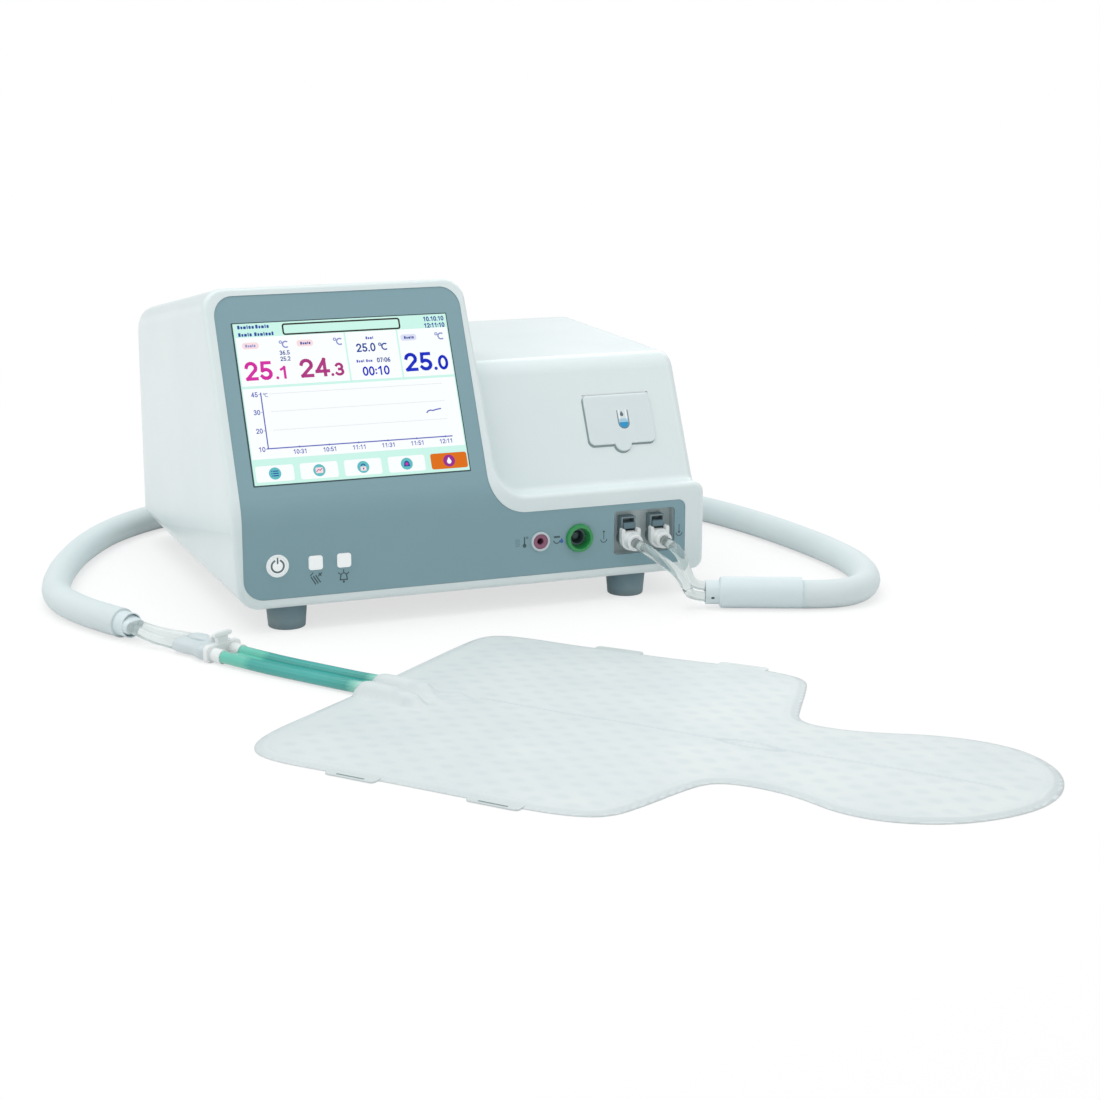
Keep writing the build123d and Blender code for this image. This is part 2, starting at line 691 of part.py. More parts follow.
def panel_outline(margin):
    """Outline of the grey panel seen from the front, grown by a margin."""
    with BuildSketch() as outline:
        with BuildLine():
            FilletPolyline(
                (PANEL_LEFT, PANEL_BOTTOM), (PANEL_RIGHT, PANEL_BOTTOM), (PANEL_RIGHT, PANEL_LOW_TOP),
                (PANEL_HEAD_RIGHT, PANEL_LOW_TOP), (PANEL_HEAD_RIGHT, PANEL_TOP), (PANEL_LEFT, PANEL_TOP),
                radius=[
                    PANEL_FOOT_RADIUS, PANEL_END_RADIUS, PANEL_END_RADIUS,
                    PANEL_INNER_RADIUS, PANEL_TOP_RADIUS, PANEL_TOP_RADIUS,
                ],
                close=True,
            )
        make_face()
        if margin:
            offset(amount=margin, kind=Kind.INTERSECTION)
    return outline.sketch


PANEL_BACK = PANEL_RECESS + PANEL_THICKNESS
PANEL_REACH = HEAD_TOP[0] + 2 * REAR_RADIUS

# White frame round the panel: the front layer of the console, with a lip that slips into the casing
with BuildPart() as frame_lip:
    add(cavity(WALL + FIT))
    add(cavity(WALL + FIT + LIP_THICKNESS), mode=Mode.SUBTRACT)
    add(behind_front(FRAME_DEPTH), mode=Mode.INTERSECT)
    add(behind_front(FRAME_DEPTH + LIP_LENGTH), mode=Mode.SUBTRACT)
with BuildPart() as panel_pocket:
    with BuildSketch(facing_front(-REAR_RADIUS)):
        add(panel_outline(FIT))
    extrude(amount=-PANEL_REACH)
    add(behind_front(PANEL_BACK), mode=Mode.SUBTRACT)
with BuildPart() as front_frame:
    add(console)
    add(behind_front(FRAME_DEPTH), mode=Mode.SUBTRACT)
    add(frame_lip)
    add(panel_pocket, mode=Mode.SUBTRACT)
    with BuildSketch(facing_front(-REAR_RADIUS)):
        add(panel_outline(-PANEL_LEDGE))
    extrude(amount=-PANEL_REACH, mode=Mode.SUBTRACT)
front_frame.part.label = "front_frame"
export_step(front_frame.part, "parts/front_frame.step")

# Grey panel, with its window, its holes and the posts that carry the key board
board_left = BUTTON_X - BEZEL_DIAMETER / 2 - BOARD_MARGIN / 2
board_right = KEY_XS[1] + KEY_SIZE / 2 + BOARD_MARGIN
board_middle = (board_left + board_right) / 2
post_spots = [
    (board_left + side * (board_right - board_left) + (1 - 2 * side) * POST_DIAMETER / 2,
     BUTTON_ROW + up * (BEZEL_DIAMETER / 2 + POST_DIAMETER / 2 + FIT))
    for side in (0, 1)
    for up in (-1, 1)
]
with BuildPart() as control_panel:
    with BuildSketch(facing_front(-REAR_RADIUS)):
        add(panel_outline(0))
    extrude(amount=-PANEL_REACH)
    add(behind_front(PANEL_RECESS), mode=Mode.INTERSECT)
    add(behind_front(PANEL_BACK), mode=Mode.SUBTRACT)
    with BuildSketch(on_screen(0)):
        with Locations((SCREEN_LEFT + SCREEN_WIDTH / 2, SCREEN_FOOT + SCREEN_HEIGHT / 2)):
            Rectangle(SCREEN_WIDTH, SCREEN_HEIGHT)
    extrude(amount=-FRAME_DEPTH, mode=Mode.SUBTRACT)
    with BuildSketch(facing_front(0)):
        with Locations((BUTTON_X, BUTTON_ROW)):
            Circle(BEZEL_SLEEVE / 2 + FIT)
        with Locations(*[(x, BUTTON_ROW) for x in KEY_XS]):
            RectangleRounded(KEY_SIZE + 2 * FIT, KEY_SIZE + 2 * FIT, KEY_RADIUS + FIT)
        with Locations((PROBE_X, SOCKET_ROW)):
            Circle(PROBE_BODY_DIAMETER / 2 + FIT)
        with Locations((SENSOR_X, SOCKET_ROW)):
            Circle(SENSOR_SLEEVE / 2 + FIT)
        with Locations((PORT_LEFT + PORT_WIDTH / 2, PORT_FOOT + PORT_HEIGHT / 2)):
            RectangleRounded(PORT_WIDTH, PORT_HEIGHT, PORT_RADIUS)
    extrude(amount=-PANEL_BACK - 1, mode=Mode.SUBTRACT)
    with BuildSketch(facing_front(PANEL_BACK - 0.5)):
        with Locations(*post_spots):
            Circle(POST_DIAMETER / 2)
    extrude(amount=-(KEY_BOARD_DEPTH - PANEL_BACK + 0.5))
control_panel.part.label = "control_panel"
export_step(control_panel.part, "parts/control_panel.step")

# Screen glass, the display behind it and the bracket that holds both against the frame
screen_middle = (SCREEN_LEFT + SCREEN_WIDTH / 2, SCREEN_FOOT + SCREEN_HEIGHT / 2)
display_front = PANEL_BACK + GLASS_THICKNESS + FIT
bracket_front = display_front + DISPLAY_THICKNESS + FIT
with BuildPart() as touch_glass:
    with BuildSketch(on_screen(PANEL_BACK)):
        with Locations(screen_middle):
            Rectangle(SCREEN_WIDTH + 2 * GLASS_MARGIN, SCREEN_HEIGHT + 2 * GLASS_MARGIN)
    extrude(amount=-GLASS_THICKNESS)
touch_glass.part.label = "touch_glass"
export_step(touch_glass.part, "parts/touch_glass.step")

with BuildPart() as display_module:
    with BuildSketch(on_screen(display_front)):
        with Locations(screen_middle):
            RectangleRounded(SCREEN_WIDTH + 2 * DISPLAY_MARGIN, SCREEN_HEIGHT + 2 * DISPLAY_MARGIN, 2)
    extrude(amount=-DISPLAY_THICKNESS)
display_module.part.label = "display_module"
export_step(display_module.part, "parts/display_module.step")

ear_left = PANEL_LEFT + PANEL_LEDGE - EAR_WIDTH / 2
ear_right = PANEL_HEAD_RIGHT - PANEL_LEDGE + EAR_WIDTH / 2
with BuildPart() as display_bracket:
    with BuildSketch(on_screen(bracket_front)):
        with Locations(((ear_left + ear_right) / 2, screen_middle[1])):
            Rectangle(ear_right - ear_left + EAR_WIDTH, SCREEN_HEIGHT)
            RectangleRounded(BRACKET_WINDOW[0], BRACKET_WINDOW[1], 8, mode=Mode.SUBTRACT)
    extrude(amount=-BRACKET_THICKNESS)
    with BuildSketch(on_screen(FRAME_DEPTH)):
        for ear_x in (ear_left, ear_right):
            for ear_side in (-1, 1):
                with Locations((ear_x, screen_middle[1] + ear_side * (SCREEN_HEIGHT - EAR_LENGTH) / 2)):
                    Rectangle(EAR_WIDTH, EAR_LENGTH)
    extrude(amount=-(bracket_front - FRAME_DEPTH))
display_bracket.part.label = "display_bracket"
export_step(display_bracket.part, "parts/display_bracket.step")

# Stand-by button in its bezel, the two keys, and the board with their switches
CAP_FRONT = PANEL_RECESS - CAP_LIP
cap_back = KEY_BOARD_DEPTH - SWITCH_HEIGHT - KEY_TRAVEL - REST_GAP
with BuildPart() as power_bezel:
    with BuildSketch(facing_front(CAP_FRONT)):
        with Locations((BUTTON_X, BUTTON_ROW)):
            Circle(BEZEL_DIAMETER / 2)
    extrude(amount=-CAP_LIP)
    fillet(power_bezel.edges().sort_by(Axis.Y)[0], 0.7)
    with BuildSketch(facing_front(PANEL_RECESS)):
        with Locations((BUTTON_X, BUTTON_ROW)):
            Circle(BEZEL_SLEEVE / 2)
    extrude(amount=-(BEZEL_LENGTH - PANEL_RECESS))
    with BuildSketch(facing_front(CAP_FRONT)):
        with Locations((BUTTON_X, BUTTON_ROW)):
            Circle(BUTTON_DIAMETER / 2 + FIT)
    extrude(amount=-BEZEL_LENGTH - CAP_LIP, mode=Mode.SUBTRACT)
power_bezel.part.label = "power_bezel"
export_step(power_bezel.part, "parts/power_bezel.step")

with BuildPart() as power_button:
    with BuildSketch(facing_front(CAP_FRONT + BUTTON_SINK)):
        with Locations((BUTTON_X, BUTTON_ROW)):
            Circle(BUTTON_DIAMETER / 2)
    extrude(amount=-(BEZEL_LENGTH + REST_GAP - CAP_FRONT - BUTTON_SINK))
    fillet(power_button.edges().sort_by(Axis.Y)[0], 0.5)
    with BuildSketch(facing_front(BEZEL_LENGTH + REST_GAP)):
        with Locations((BUTTON_X, BUTTON_ROW)):
            Circle(BEZEL_SLEEVE / 2)
    extrude(amount=-(cap_back - BEZEL_LENGTH - REST_GAP))
power_button.part.label = "power_button"
export_step(power_button.part, "parts/power_button.step")

for key_name, key_x in zip(("left_key", "right_key"), KEY_XS):
    with BuildPart() as key:
        with BuildSketch(facing_front(CAP_FRONT)):
            with Locations((key_x, BUTTON_ROW)):
                RectangleRounded(KEY_SIZE, KEY_SIZE, KEY_RADIUS)
        extrude(amount=-(PANEL_BACK + REST_GAP - CAP_FRONT))
        fillet(key.faces().sort_by(Axis.Y)[0].edges(), 0.6)
        with BuildSketch(facing_front(PANEL_BACK + REST_GAP)):
            with Locations((key_x, BUTTON_ROW)):
                RectangleRounded(KEY_SIZE + 2 * KEY_RIM, KEY_SIZE + 2 * KEY_RIM, KEY_RADIUS)
        extrude(amount=-KEY_RIM)
        with BuildSketch(facing_front(PANEL_BACK + REST_GAP + KEY_RIM)):
            with Locations((key_x, BUTTON_ROW)):
                Rectangle(STEM_WIDTH, STEM_WIDTH)
        extrude(amount=-(cap_back - PANEL_BACK - REST_GAP - KEY_RIM))
    key.part.label = key_name
    export_step(key.part, f"parts/{key_name}.step")

with BuildPart() as key_board:
    with BuildSketch(facing_front(KEY_BOARD_DEPTH)):
        with Locations((board_middle, BUTTON_ROW)):
            Rectangle(board_right - board_left, BEZEL_DIAMETER + 3 * POST_DIAMETER)
    extrude(amount=-BOARD_THICKNESS)
    with BuildSketch(facing_front(KEY_BOARD_DEPTH)):
        with Locations((BUTTON_X, BUTTON_ROW), *[(x, BUTTON_ROW) for x in KEY_XS]):
            RectangleRounded(STEM_WIDTH + 1, STEM_WIDTH + 1, 0.8)
    extrude(amount=SWITCH_HEIGHT)
key_board.part.label = "key_board"
export_step(key_board.part, "parts/key_board.step")

# Temperature probe socket with its metal ring, and the green sensor socket with its core
with BuildPart() as probe_socket:
    with BuildSketch(facing_front(PANEL_RECESS - RING_LIP / 2)):
        with Locations((PROBE_X, SOCKET_ROW)):
            Circle(PROBE_BODY_DIAMETER / 2)
    extrude(amount=-(PROBE_DEPTH + RING_LIP / 2 - PANEL_RECESS))
    with BuildSketch(facing_front(PANEL_BACK)):
        with Locations((PROBE_X, SOCKET_ROW)):
            Circle(PROBE_RING_DIAMETER / 2)
    extrude(amount=-PANEL_THICKNESS)
    with BuildSketch(facing_front(PANEL_RECESS - RING_LIP / 2)):
        with Locations((PROBE_X, SOCKET_ROW)):
            Circle(PROBE_BORE / 2)
    extrude(amount=-PROBE_BORE_LENGTH, mode=Mode.SUBTRACT)
    front_edges = probe_socket.edges().filter_by(GeomType.CIRCLE).sort_by(Axis.Y)[0:2]
    chamfer(front_edges.sort_by(Edge.length)[0], 0.8)
probe_socket.part.label = "probe_socket"
export_step(probe_socket.part, "parts/probe_socket.step")

with BuildPart() as probe_socket_ring:
    with BuildSketch(facing_front(PANEL_RECESS - RING_LIP)):
        with Locations((PROBE_X, SOCKET_ROW)):
            Circle(PROBE_RING_DIAMETER / 2)
            Circle(PROBE_BODY_DIAMETER / 2 + FIT, mode=Mode.SUBTRACT)
    extrude(amount=-RING_LIP)
    fillet(probe_socket_ring.edges().group_by(Axis.Y)[0], 0.5)
probe_socket_ring.part.label = "probe_socket_ring"
export_step(probe_socket_ring.part, "parts/probe_socket_ring.step")

with BuildPart() as sensor_socket_ring:
    with BuildSketch(facing_front(PANEL_RECESS)):
        with Locations((SENSOR_X, SOCKET_ROW)):
            Circle(SENSOR_RING_DIAMETER / 2)
    extrude(amount=SENSOR_RING_LIP, taper=14)
    fillet(sensor_socket_ring.edges().sort_by(Axis.Y)[0], 0.8)
    with BuildSketch(facing_front(PANEL_RECESS)):
        with Locations((SENSOR_X, SOCKET_ROW)):
            Circle(SENSOR_SLEEVE / 2)
    extrude(amount=-(SENSOR_SEAT + SENSOR_CUP_LENGTH - PANEL_RECESS))
    with BuildSketch(facing_front(PANEL_RECESS - SENSOR_RING_LIP)):
        with Locations((SENSOR_X, SOCKET_ROW)):
            Circle(SENSOR_SLEEVE / 2)
    extrude(amount=-(SENSOR_SEAT - PANEL_RECESS + SENSOR_RING_LIP), taper=12, mode=Mode.SUBTRACT)
    with BuildSketch(facing_front(PANEL_RECESS)):
        with Locations((SENSOR_X, SOCKET_ROW)):
            Circle(SENSOR_THROAT / 2)
    extrude(amount=-SENSOR_DEPTH, mode=Mode.SUBTRACT)
sensor_socket_ring.part.label = "sensor_socket_ring"
export_step(sensor_socket_ring.part, "parts/sensor_socket_ring.step")

with BuildPart() as sensor_socket_core:
    with BuildSketch(facing_front(SENSOR_SEAT)):
        with Locations((SENSOR_X, SOCKET_ROW)):
            Circle(SENSOR_THROAT / 2 - FIT)
    extrude(amount=-SENSOR_DEPTH + SENSOR_SEAT)
    with BuildSketch(facing_front(SENSOR_SEAT)):
        with Locations((SENSOR_X, SOCKET_ROW)):
            Circle(SENSOR_CUP_DIAMETER / 2)
    extrude(amount=-SENSOR_CUP_LENGTH, mode=Mode.SUBTRACT)
    with BuildSketch(facing_front(SENSOR_SEAT + SENSOR_CUP_LENGTH)):
        with Locations((SENSOR_X, SOCKET_ROW)):
            Circle(SENSOR_PIN_DIAMETER / 2)
    extrude(amount=SENSOR_PIN_LENGTH)
sensor_socket_core.part.label = "sensor_socket_core"
export_step(sensor_socket_core.part, "parts/sensor_socket_core.step")

# Recess for the water couplings, the two couplings, their latches and the plugs of the hose
port_back = PANEL_BACK + PORT_DEPTH
port_middle = (PORT_LEFT + PORT_WIDTH / 2, PORT_FOOT + PORT_HEIGHT / 2)
latch_middle = COUPLING_ROW + LATCH_FOOT + LATCH_HEIGHT / 2
shroud_foot = COUPLING_ROW + COUPLING_DIAMETER / 2 - SHROUD_WALL
shroud_top = COUPLING_ROW + SHROUD_TOP
latch_room_foot = COUPLING_ROW + LATCH_FOOT - LATCH_TRAVEL - REST_GAP
LATCH_WIDTH = SHROUD_WIDTH - 2 * SHROUD_WALL - 2 * REST_GAP
with BuildPart() as port_housing:
    with BuildSketch(facing_front(PANEL_BACK)):
        with Locations(port_middle):
            RectangleRounded(
                PORT_WIDTH + 2 * PORT_WALL, PORT_HEIGHT + 2 * PORT_WALL, PORT_RADIUS + PORT_WALL
            )
    extrude(amount=-(PORT_DEPTH + PORT_WALL))
    with BuildSketch(facing_front(PANEL_BACK)):
        with Locations(port_middle):
            RectangleRounded(PORT_WIDTH, PORT_HEIGHT, PORT_RADIUS)
    extrude(amount=-PORT_DEPTH, mode=Mode.SUBTRACT)
    with BuildSketch(facing_front(port_back)):
        with Locations(*[(x, COUPLING_ROW) for x in COUPLING_XS]):
            Circle(COUPLING_DIAMETER / 2 + FIT)
    extrude(amount=-PORT_WALL, mode=Mode.SUBTRACT)
port_housing.part.label = "port_housing"
export_step(port_housing.part, "parts/port_housing.step")

with BuildPart() as couplings:
    with BuildSketch(facing_front(COUPLING_FRONT)):
        with Locations(*[(x, COUPLING_ROW) for x in COUPLING_XS]):
            Circle(COUPLING_DIAMETER / 2)
    extrude(amount=-(COUPLING_BACK - COUPLING_FRONT))
    with BuildSketch(facing_front(SHROUD_FRONT)):
        with Locations(*[(x, (shroud_foot + shroud_top) / 2) for x in COUPLING_XS]):
            Rectangle(SHROUD_WIDTH, shroud_top - shroud_foot)
        with Locations(*[(x, (latch_room_foot + shroud_top - SHROUD_WALL) / 2) for x in COUPLING_XS]):
            Rectangle(
                SHROUD_WIDTH - 2 * SHROUD_WALL, shroud_top - SHROUD_WALL - latch_room_foot,
                mode=Mode.SUBTRACT,
            )
    extrude(amount=-(port_back - SHROUD_FRONT))
    with BuildSketch(facing_front(COUPLING_BACK)):
        with Locations(*[(x, COUPLING_ROW) for x in COUPLING_XS]):
            Circle(TAIL_DIAMETER / 2)
    extrude(amount=-(COUPLING_TAIL - COUPLING_BACK))
    with BuildSketch(facing_front(COUPLING_FRONT)):
        with Locations(*[(x, COUPLING_ROW) for x in COUPLING_XS]):
            Circle(COUPLING_BORE / 2)
    extrude(amount=-COUPLING_BORE_LENGTH, mode=Mode.SUBTRACT)
    with BuildSketch(facing_front(COUPLING_FRONT)):
        with Locations(*[(x, COUPLING_ROW) for x in COUPLING_XS]):
            Circle(WATERWAY / 2)
    extrude(amount=-COUPLING_TAIL, mode=Mode.SUBTRACT)
couplings.part.label = "couplings"
export_step(couplings.part, "parts/couplings.step")

for latch_name, latch_x in zip(("supply_latch", "return_latch"), COUPLING_XS):
    with BuildPart() as latch:
        with BuildSketch(facing_front(LATCH_FRONT)):
            with Locations((latch_x, latch_middle)):
                RectangleRounded(LATCH_WIDTH, LATCH_HEIGHT, 1)
        extrude(amount=-LATCH_LENGTH)
        fillet(latch.faces().sort_by(Axis.Y)[0].edges(), 0.5)
    latch.part.label = latch_name
    export_step(latch.part, f"parts/{latch_name}.step")

for plug_name, plug_x in zip(("supply_plug", "return_plug"), COUPLING_XS):
    with BuildPart() as plug:
        with BuildSketch(facing_front(BARREL_FRONT)):
            with Locations((plug_x, COUPLING_ROW)):
                Circle(BARREL_DIAMETER / 2)
        extrude(amount=-(COUPLING_FRONT - BARREL_FRONT))
        fillet(plug.edges().sort_by(Axis.Y)[0], 1.2)
        with BuildSketch(facing_front(HORN_FRONT)):
            with Locations((plug_x, COUPLING_ROW)):
                Circle(HORN_WIDTH / 2)
            for horn_side in (-1, 1):
                horn_x = plug_x + horn_side * (HORN_WIDTH - HORN_THICKNESS) / 2
                with Locations((horn_x, COUPLING_ROW + HORN_TOP / 2)):
                    RectangleRounded(HORN_THICKNESS, HORN_TOP, HORN_THICKNESS / 2 - 0.1)
            with Locations((plug_x, COUPLING_ROW + LATCH_FOOT - LATCH_TRAVEL + HORN_TOP / 2)):
                Rectangle(HORN_WIDTH - 2 * HORN_THICKNESS, HORN_TOP, mode=Mode.SUBTRACT)
        extrude(amount=-(COUPLING_FRONT - HORN_FRONT - REST_GAP))
        with BuildSketch(facing_front(COUPLING_FRONT)):
            with Locations((plug_x, COUPLING_ROW)):
                Circle(NOSE_DIAMETER / 2)
        extrude(amount=-NOSE_LENGTH)
        with BuildSketch(facing_front(BARREL_FRONT)):
            with Locations((plug_x, COUPLING_ROW)):
                Circle(TUBE_DIAMETER / 2 + FIT)
        extrude(amount=-BARREL_SOCKET, mode=Mode.SUBTRACT)
        with BuildSketch(facing_front(BARREL_FRONT)):
            with Locations((plug_x, COUPLING_ROW)):
                Circle(WATERWAY / 2)
        extrude(amount=-(NOSE_LENGTH + COUPLING_FRONT - BARREL_FRONT), mode=Mode.SUBTRACT)
    plug.part.label = plug_name
    export_step(plug.part, f"parts/{plug_name}.step")

# Filling door, its hinge pin and the neck that leads down to the tank
door_top = DOOR_FOOT + DOOR_HEIGHT
hinge_rise = door_top - HINGE_INSET
door_middle = (DOOR_LEFT + DOOR_WIDTH / 2, DOOR_FOOT + DOOR_HEIGHT / 2)
knuckle_radius = HINGE_DEPTH + DOOR_PROUD


def across_slant(x):
    """Upright plane across the slanted face: up the slope from the ledge, and out of the surface."""
    slant = radians(SLANT)
    return Plane(
        origin=at(x, LEDGE_DEPTH, LEDGE_HEIGHT), x_dir=(0, sin(slant), cos(slant)), z_dir=(1, 0, 0)
    )


def door_outline(margin):
    """Door seen square to the slanted face, with its finger tab, grown by a margin."""
    with BuildSketch() as outline:
        with Locations(door_middle):
            RectangleRounded(DOOR_WIDTH + 2 * margin, DOOR_HEIGHT + 2 * margin, DOOR_RADIUS + margin)
        with Locations((door_middle[0], DOOR_FOOT - FINGER_REACH + FINGER_WIDTH / 2)):
            Circle(FINGER_WIDTH / 2 + margin)
    return outline.sketch


with BuildPart() as hinge_side:
    with BuildSketch(across_slant(0)):
        with Locations((hinge_rise / 2, 0)):
            Rectangle(hinge_rise, 4 * DOOR_SEAT_DEPTH)
        with Locations((hinge_rise, -HINGE_DEPTH)):
            Circle(knuckle_radius)
    extrude(amount=WIDTH)
with BuildPart() as filler_door:
    with BuildSketch(on_slant(DOOR_SINK)):
        add(door_outline(0))
    extrude(amount=DOOR_SINK + DOOR_PROUD)
    top_face = filler_door.faces().filter_by(lambda face: face.normal_at(face.center()).Z > 0.3).sort_by(
        SortBy.AREA
    )[-1]
    fillet(top_face.edges(), 0.8)
    add(hinge_side, mode=Mode.INTERSECT)
    with BuildSketch(across_slant(DOOR_LEFT)):
        with Locations((hinge_rise, -HINGE_DEPTH)):
            Circle(knuckle_radius)
        with Locations((hinge_rise, knuckle_radius)):
            Rectangle(4 * knuckle_radius, 2 * knuckle_radius, mode=Mode.SUBTRACT)
    extrude(amount=DOOR_WIDTH)
    with BuildSketch(on_slant(DOOR_SINK)):
        with Locations((door_middle[0], (DOOR_FOOT + hinge_rise - knuckle_radius) / 2)):
            RectangleRounded(
                DOOR_WIDTH - 2 * DOOR_RIM,
                hinge_rise - knuckle_radius - DOOR_FOOT - 2 * DOOR_RIM,
                DOOR_RADIUS - 2,
            )
    extrude(amount=DOOR_SINK + DOOR_PROUD - DOOR_SKIN, mode=Mode.SUBTRACT)
    with BuildSketch(across_slant(DOOR_LEFT - PIN_REACH)):
        with Locations((hinge_rise, -HINGE_DEPTH)):
            Circle(PIN_DIAMETER / 2 + PIN_FIT)
    extrude(amount=DOOR_WIDTH + 2 * PIN_REACH, mode=Mode.SUBTRACT)
filler_door.part.label = "filler_door"
export_step(filler_door.part, "parts/filler_door.step")

with BuildPart() as door_hinge_pin:
    with BuildSketch(across_slant(DOOR_LEFT - PIN_REACH)):
        with Locations((hinge_rise, -HINGE_DEPTH)):
            Circle(PIN_DIAMETER / 2)
    extrude(amount=DOOR_WIDTH + 2 * PIN_REACH)
door_hinge_pin.part.label = "door_hinge_pin"
export_step(door_hinge_pin.part, "parts/door_hinge_pin.step")

seat_depth = DOOR_SINK + REST_GAP
neck_spot = (door_middle[0], NECK_RISE)
TANK_FOOT = FOOT_HEIGHT + BASE_THICKNESS
with BuildPart() as neck_passage:
    with BuildSketch(on_slant(0)):
        with Locations(neck_spot):
            Circle(NECK_DIAMETER / 2 + FIT)
    extrude(amount=-DEPTH / 2)
with BuildPart() as filler_neck:
    with BuildSketch(on_slant(seat_depth - NECK_FLANGE_THICKNESS)):
        with Locations(neck_spot):
            Circle(NECK_FLANGE / 2)
    extrude(amount=-NECK_FLANGE_THICKNESS)
    with BuildSketch(on_slant(seat_depth)):
        with Locations(neck_spot):
            Circle(NECK_DIAMETER / 2)
    extrude(amount=-DEPTH / 2)
    with BuildSketch(on_slant(0)):
        with Locations(neck_spot):
            Circle(NECK_BORE / 2)
    extrude(amount=-DEPTH / 2, mode=Mode.SUBTRACT)
    split(bisect_by=level(TANK_TOP - LID_THICKNESS), keep=Keep.TOP)
filler_neck.part.label = "filler_neck"
export_step(filler_neck.part, "parts/filler_neck.step")

# Water tank, its lid with the stem of the level switch, and the float on the stem
tank_middle = ((TANK_LEFT + TANK_RIGHT) / 2, (TANK_FRONT + TANK_BACK) / 2)
tank_size = (TANK_RIGHT - TANK_LEFT, TANK_BACK - TANK_FRONT)
with BuildPart() as reservoir:
    with BuildSketch(level(TANK_FOOT)):
        with Locations(tank_middle):
            RectangleRounded(*tank_size, TANK_RADIUS)
    extrude(amount=TANK_TOP - TANK_FOOT)
    with BuildSketch(level(TANK_FOOT + TANK_WALL)):
        with Locations(tank_middle):
            RectangleRounded(
                tank_size[0] - 2 * TANK_WALL, tank_size[1] - 2 * TANK_WALL, TANK_RADIUS - TANK_WALL
            )
    extrude(amount=TANK_TOP - TANK_FOOT, mode=Mode.SUBTRACT)
    with BuildSketch(facing_front(TANK_FRONT)):
        with Locations((COUPLING_XS[1], COUPLING_ROW)):
            Circle(WATERWAY / 2)
    extrude(amount=-TANK_WALL, mode=Mode.SUBTRACT)
    with BuildSketch(facing_front(TANK_BACK)):
        with Locations((DRAIN_X, DRAIN_LEVEL)):
            Circle(WATERWAY / 2)
    extrude(amount=TANK_WALL, mode=Mode.SUBTRACT)
    with BuildSketch(side_on(TANK_LEFT)):
        with Locations((PUMP_Y, INTAKE_LEVEL)):
            Circle(WATERWAY / 2)
    extrude(amount=TANK_WALL, mode=Mode.SUBTRACT)
reservoir.part.label = "reservoir"
export_step(reservoir.part, "parts/reservoir.step")

with BuildPart() as reservoir_lid:
    with BuildSketch(level(TANK_TOP)):
        with Locations(tank_middle):
            RectangleRounded(*tank_size, TANK_RADIUS)
    extrude(amount=LID_THICKNESS)
    add(neck_passage, mode=Mode.SUBTRACT)
    with BuildSketch(level(TANK_TOP)):
        with Locations((STEM_X, STEM_Y)):
            Circle(STEM_DIAMETER / 2)
    extrude(amount=-STEM_LENGTH)
    with BuildSketch(level(TANK_TOP - STEM_LENGTH)):
        with Locations((STEM_X, STEM_Y)):
            Circle(STEM_STOP / 2)
    extrude(amount=-STEM_STOP_THICKNESS)
reservoir_lid.part.label = "reservoir_lid"
export_step(reservoir_lid.part, "parts/reservoir_lid.step")

with BuildPart() as level_float:
    with BuildSketch(level(TANK_TOP - STEM_LENGTH + REST_GAP)):
        with Locations((STEM_X, STEM_Y)):
            Circle(FLOAT_DIAMETER / 2)
            Circle(STEM_DIAMETER / 2 + REST_GAP, mode=Mode.SUBTRACT)
    extrude(amount=FLOAT_HEIGHT)
    chamfer(level_float.edges().filter_by(GeomType.CIRCLE).sort_by(SortBy.LENGTH)[-2:], 2)
level_float.part.label = "level_float"
export_step(level_float.part, "parts/level_float.step")

# Circulation pump: body, impeller with its shaft, and motor
PUMP_FOOT = TANK_FOOT
pump_top = PUMP_FOOT + PUMP_HEIGHT
room_foot = PUMP_FOOT + PUMP_ROOM_FLOOR
impeller_foot = room_foot + REST_GAP
with BuildPart() as pump_housing:
    with BuildSketch(level(PUMP_FOOT)):
        with Locations((PUMP_X, PUMP_Y)):
            Circle(PUMP_DIAMETER / 2)
    extrude(amount=PUMP_HEIGHT)
    with BuildSketch(side_on(PUMP_X)):
        with Locations((PUMP_Y, INTAKE_LEVEL)):
            Circle(STUB_DIAMETER / 2)
    extrude(amount=PUMP_DIAMETER / 2 + STUB_LENGTH)
    with BuildSketch(facing_front(PUMP_Y)):
        with Locations((PUMP_X, OUTLET_LEVEL)):
            Circle(STUB_DIAMETER / 2)
    extrude(amount=-(PUMP_DIAMETER / 2 + STUB_LENGTH))
    with BuildSketch(level(room_foot)):
        with Locations((PUMP_X, PUMP_Y)):
            Circle(IMPELLER_DIAMETER / 2 + 2)
    extrude(amount=OUTLET_LEVEL + WATERWAY - room_foot, mode=Mode.SUBTRACT)
    with BuildSketch(level(room_foot)):
        with Locations((PUMP_X, PUMP_Y)):
            Circle(SHAFT_DIAMETER / 2 + REST_GAP)
    extrude(amount=PUMP_HEIGHT, mode=Mode.SUBTRACT)
    with BuildSketch(side_on(PUMP_X)):
        with Locations((PUMP_Y, INTAKE_LEVEL)):
            Circle(WATERWAY / 2)
    extrude(amount=PUMP_DIAMETER, mode=Mode.SUBTRACT)
    with BuildSketch(facing_front(PUMP_Y)):
        with Locations((PUMP_X, OUTLET_LEVEL)):
            Circle(WATERWAY / 2)
    extrude(amount=-PUMP_DIAMETER, mode=Mode.SUBTRACT)
pump_housing.part.label = "pump_housing"
export_step(pump_housing.part, "parts/pump_housing.step")

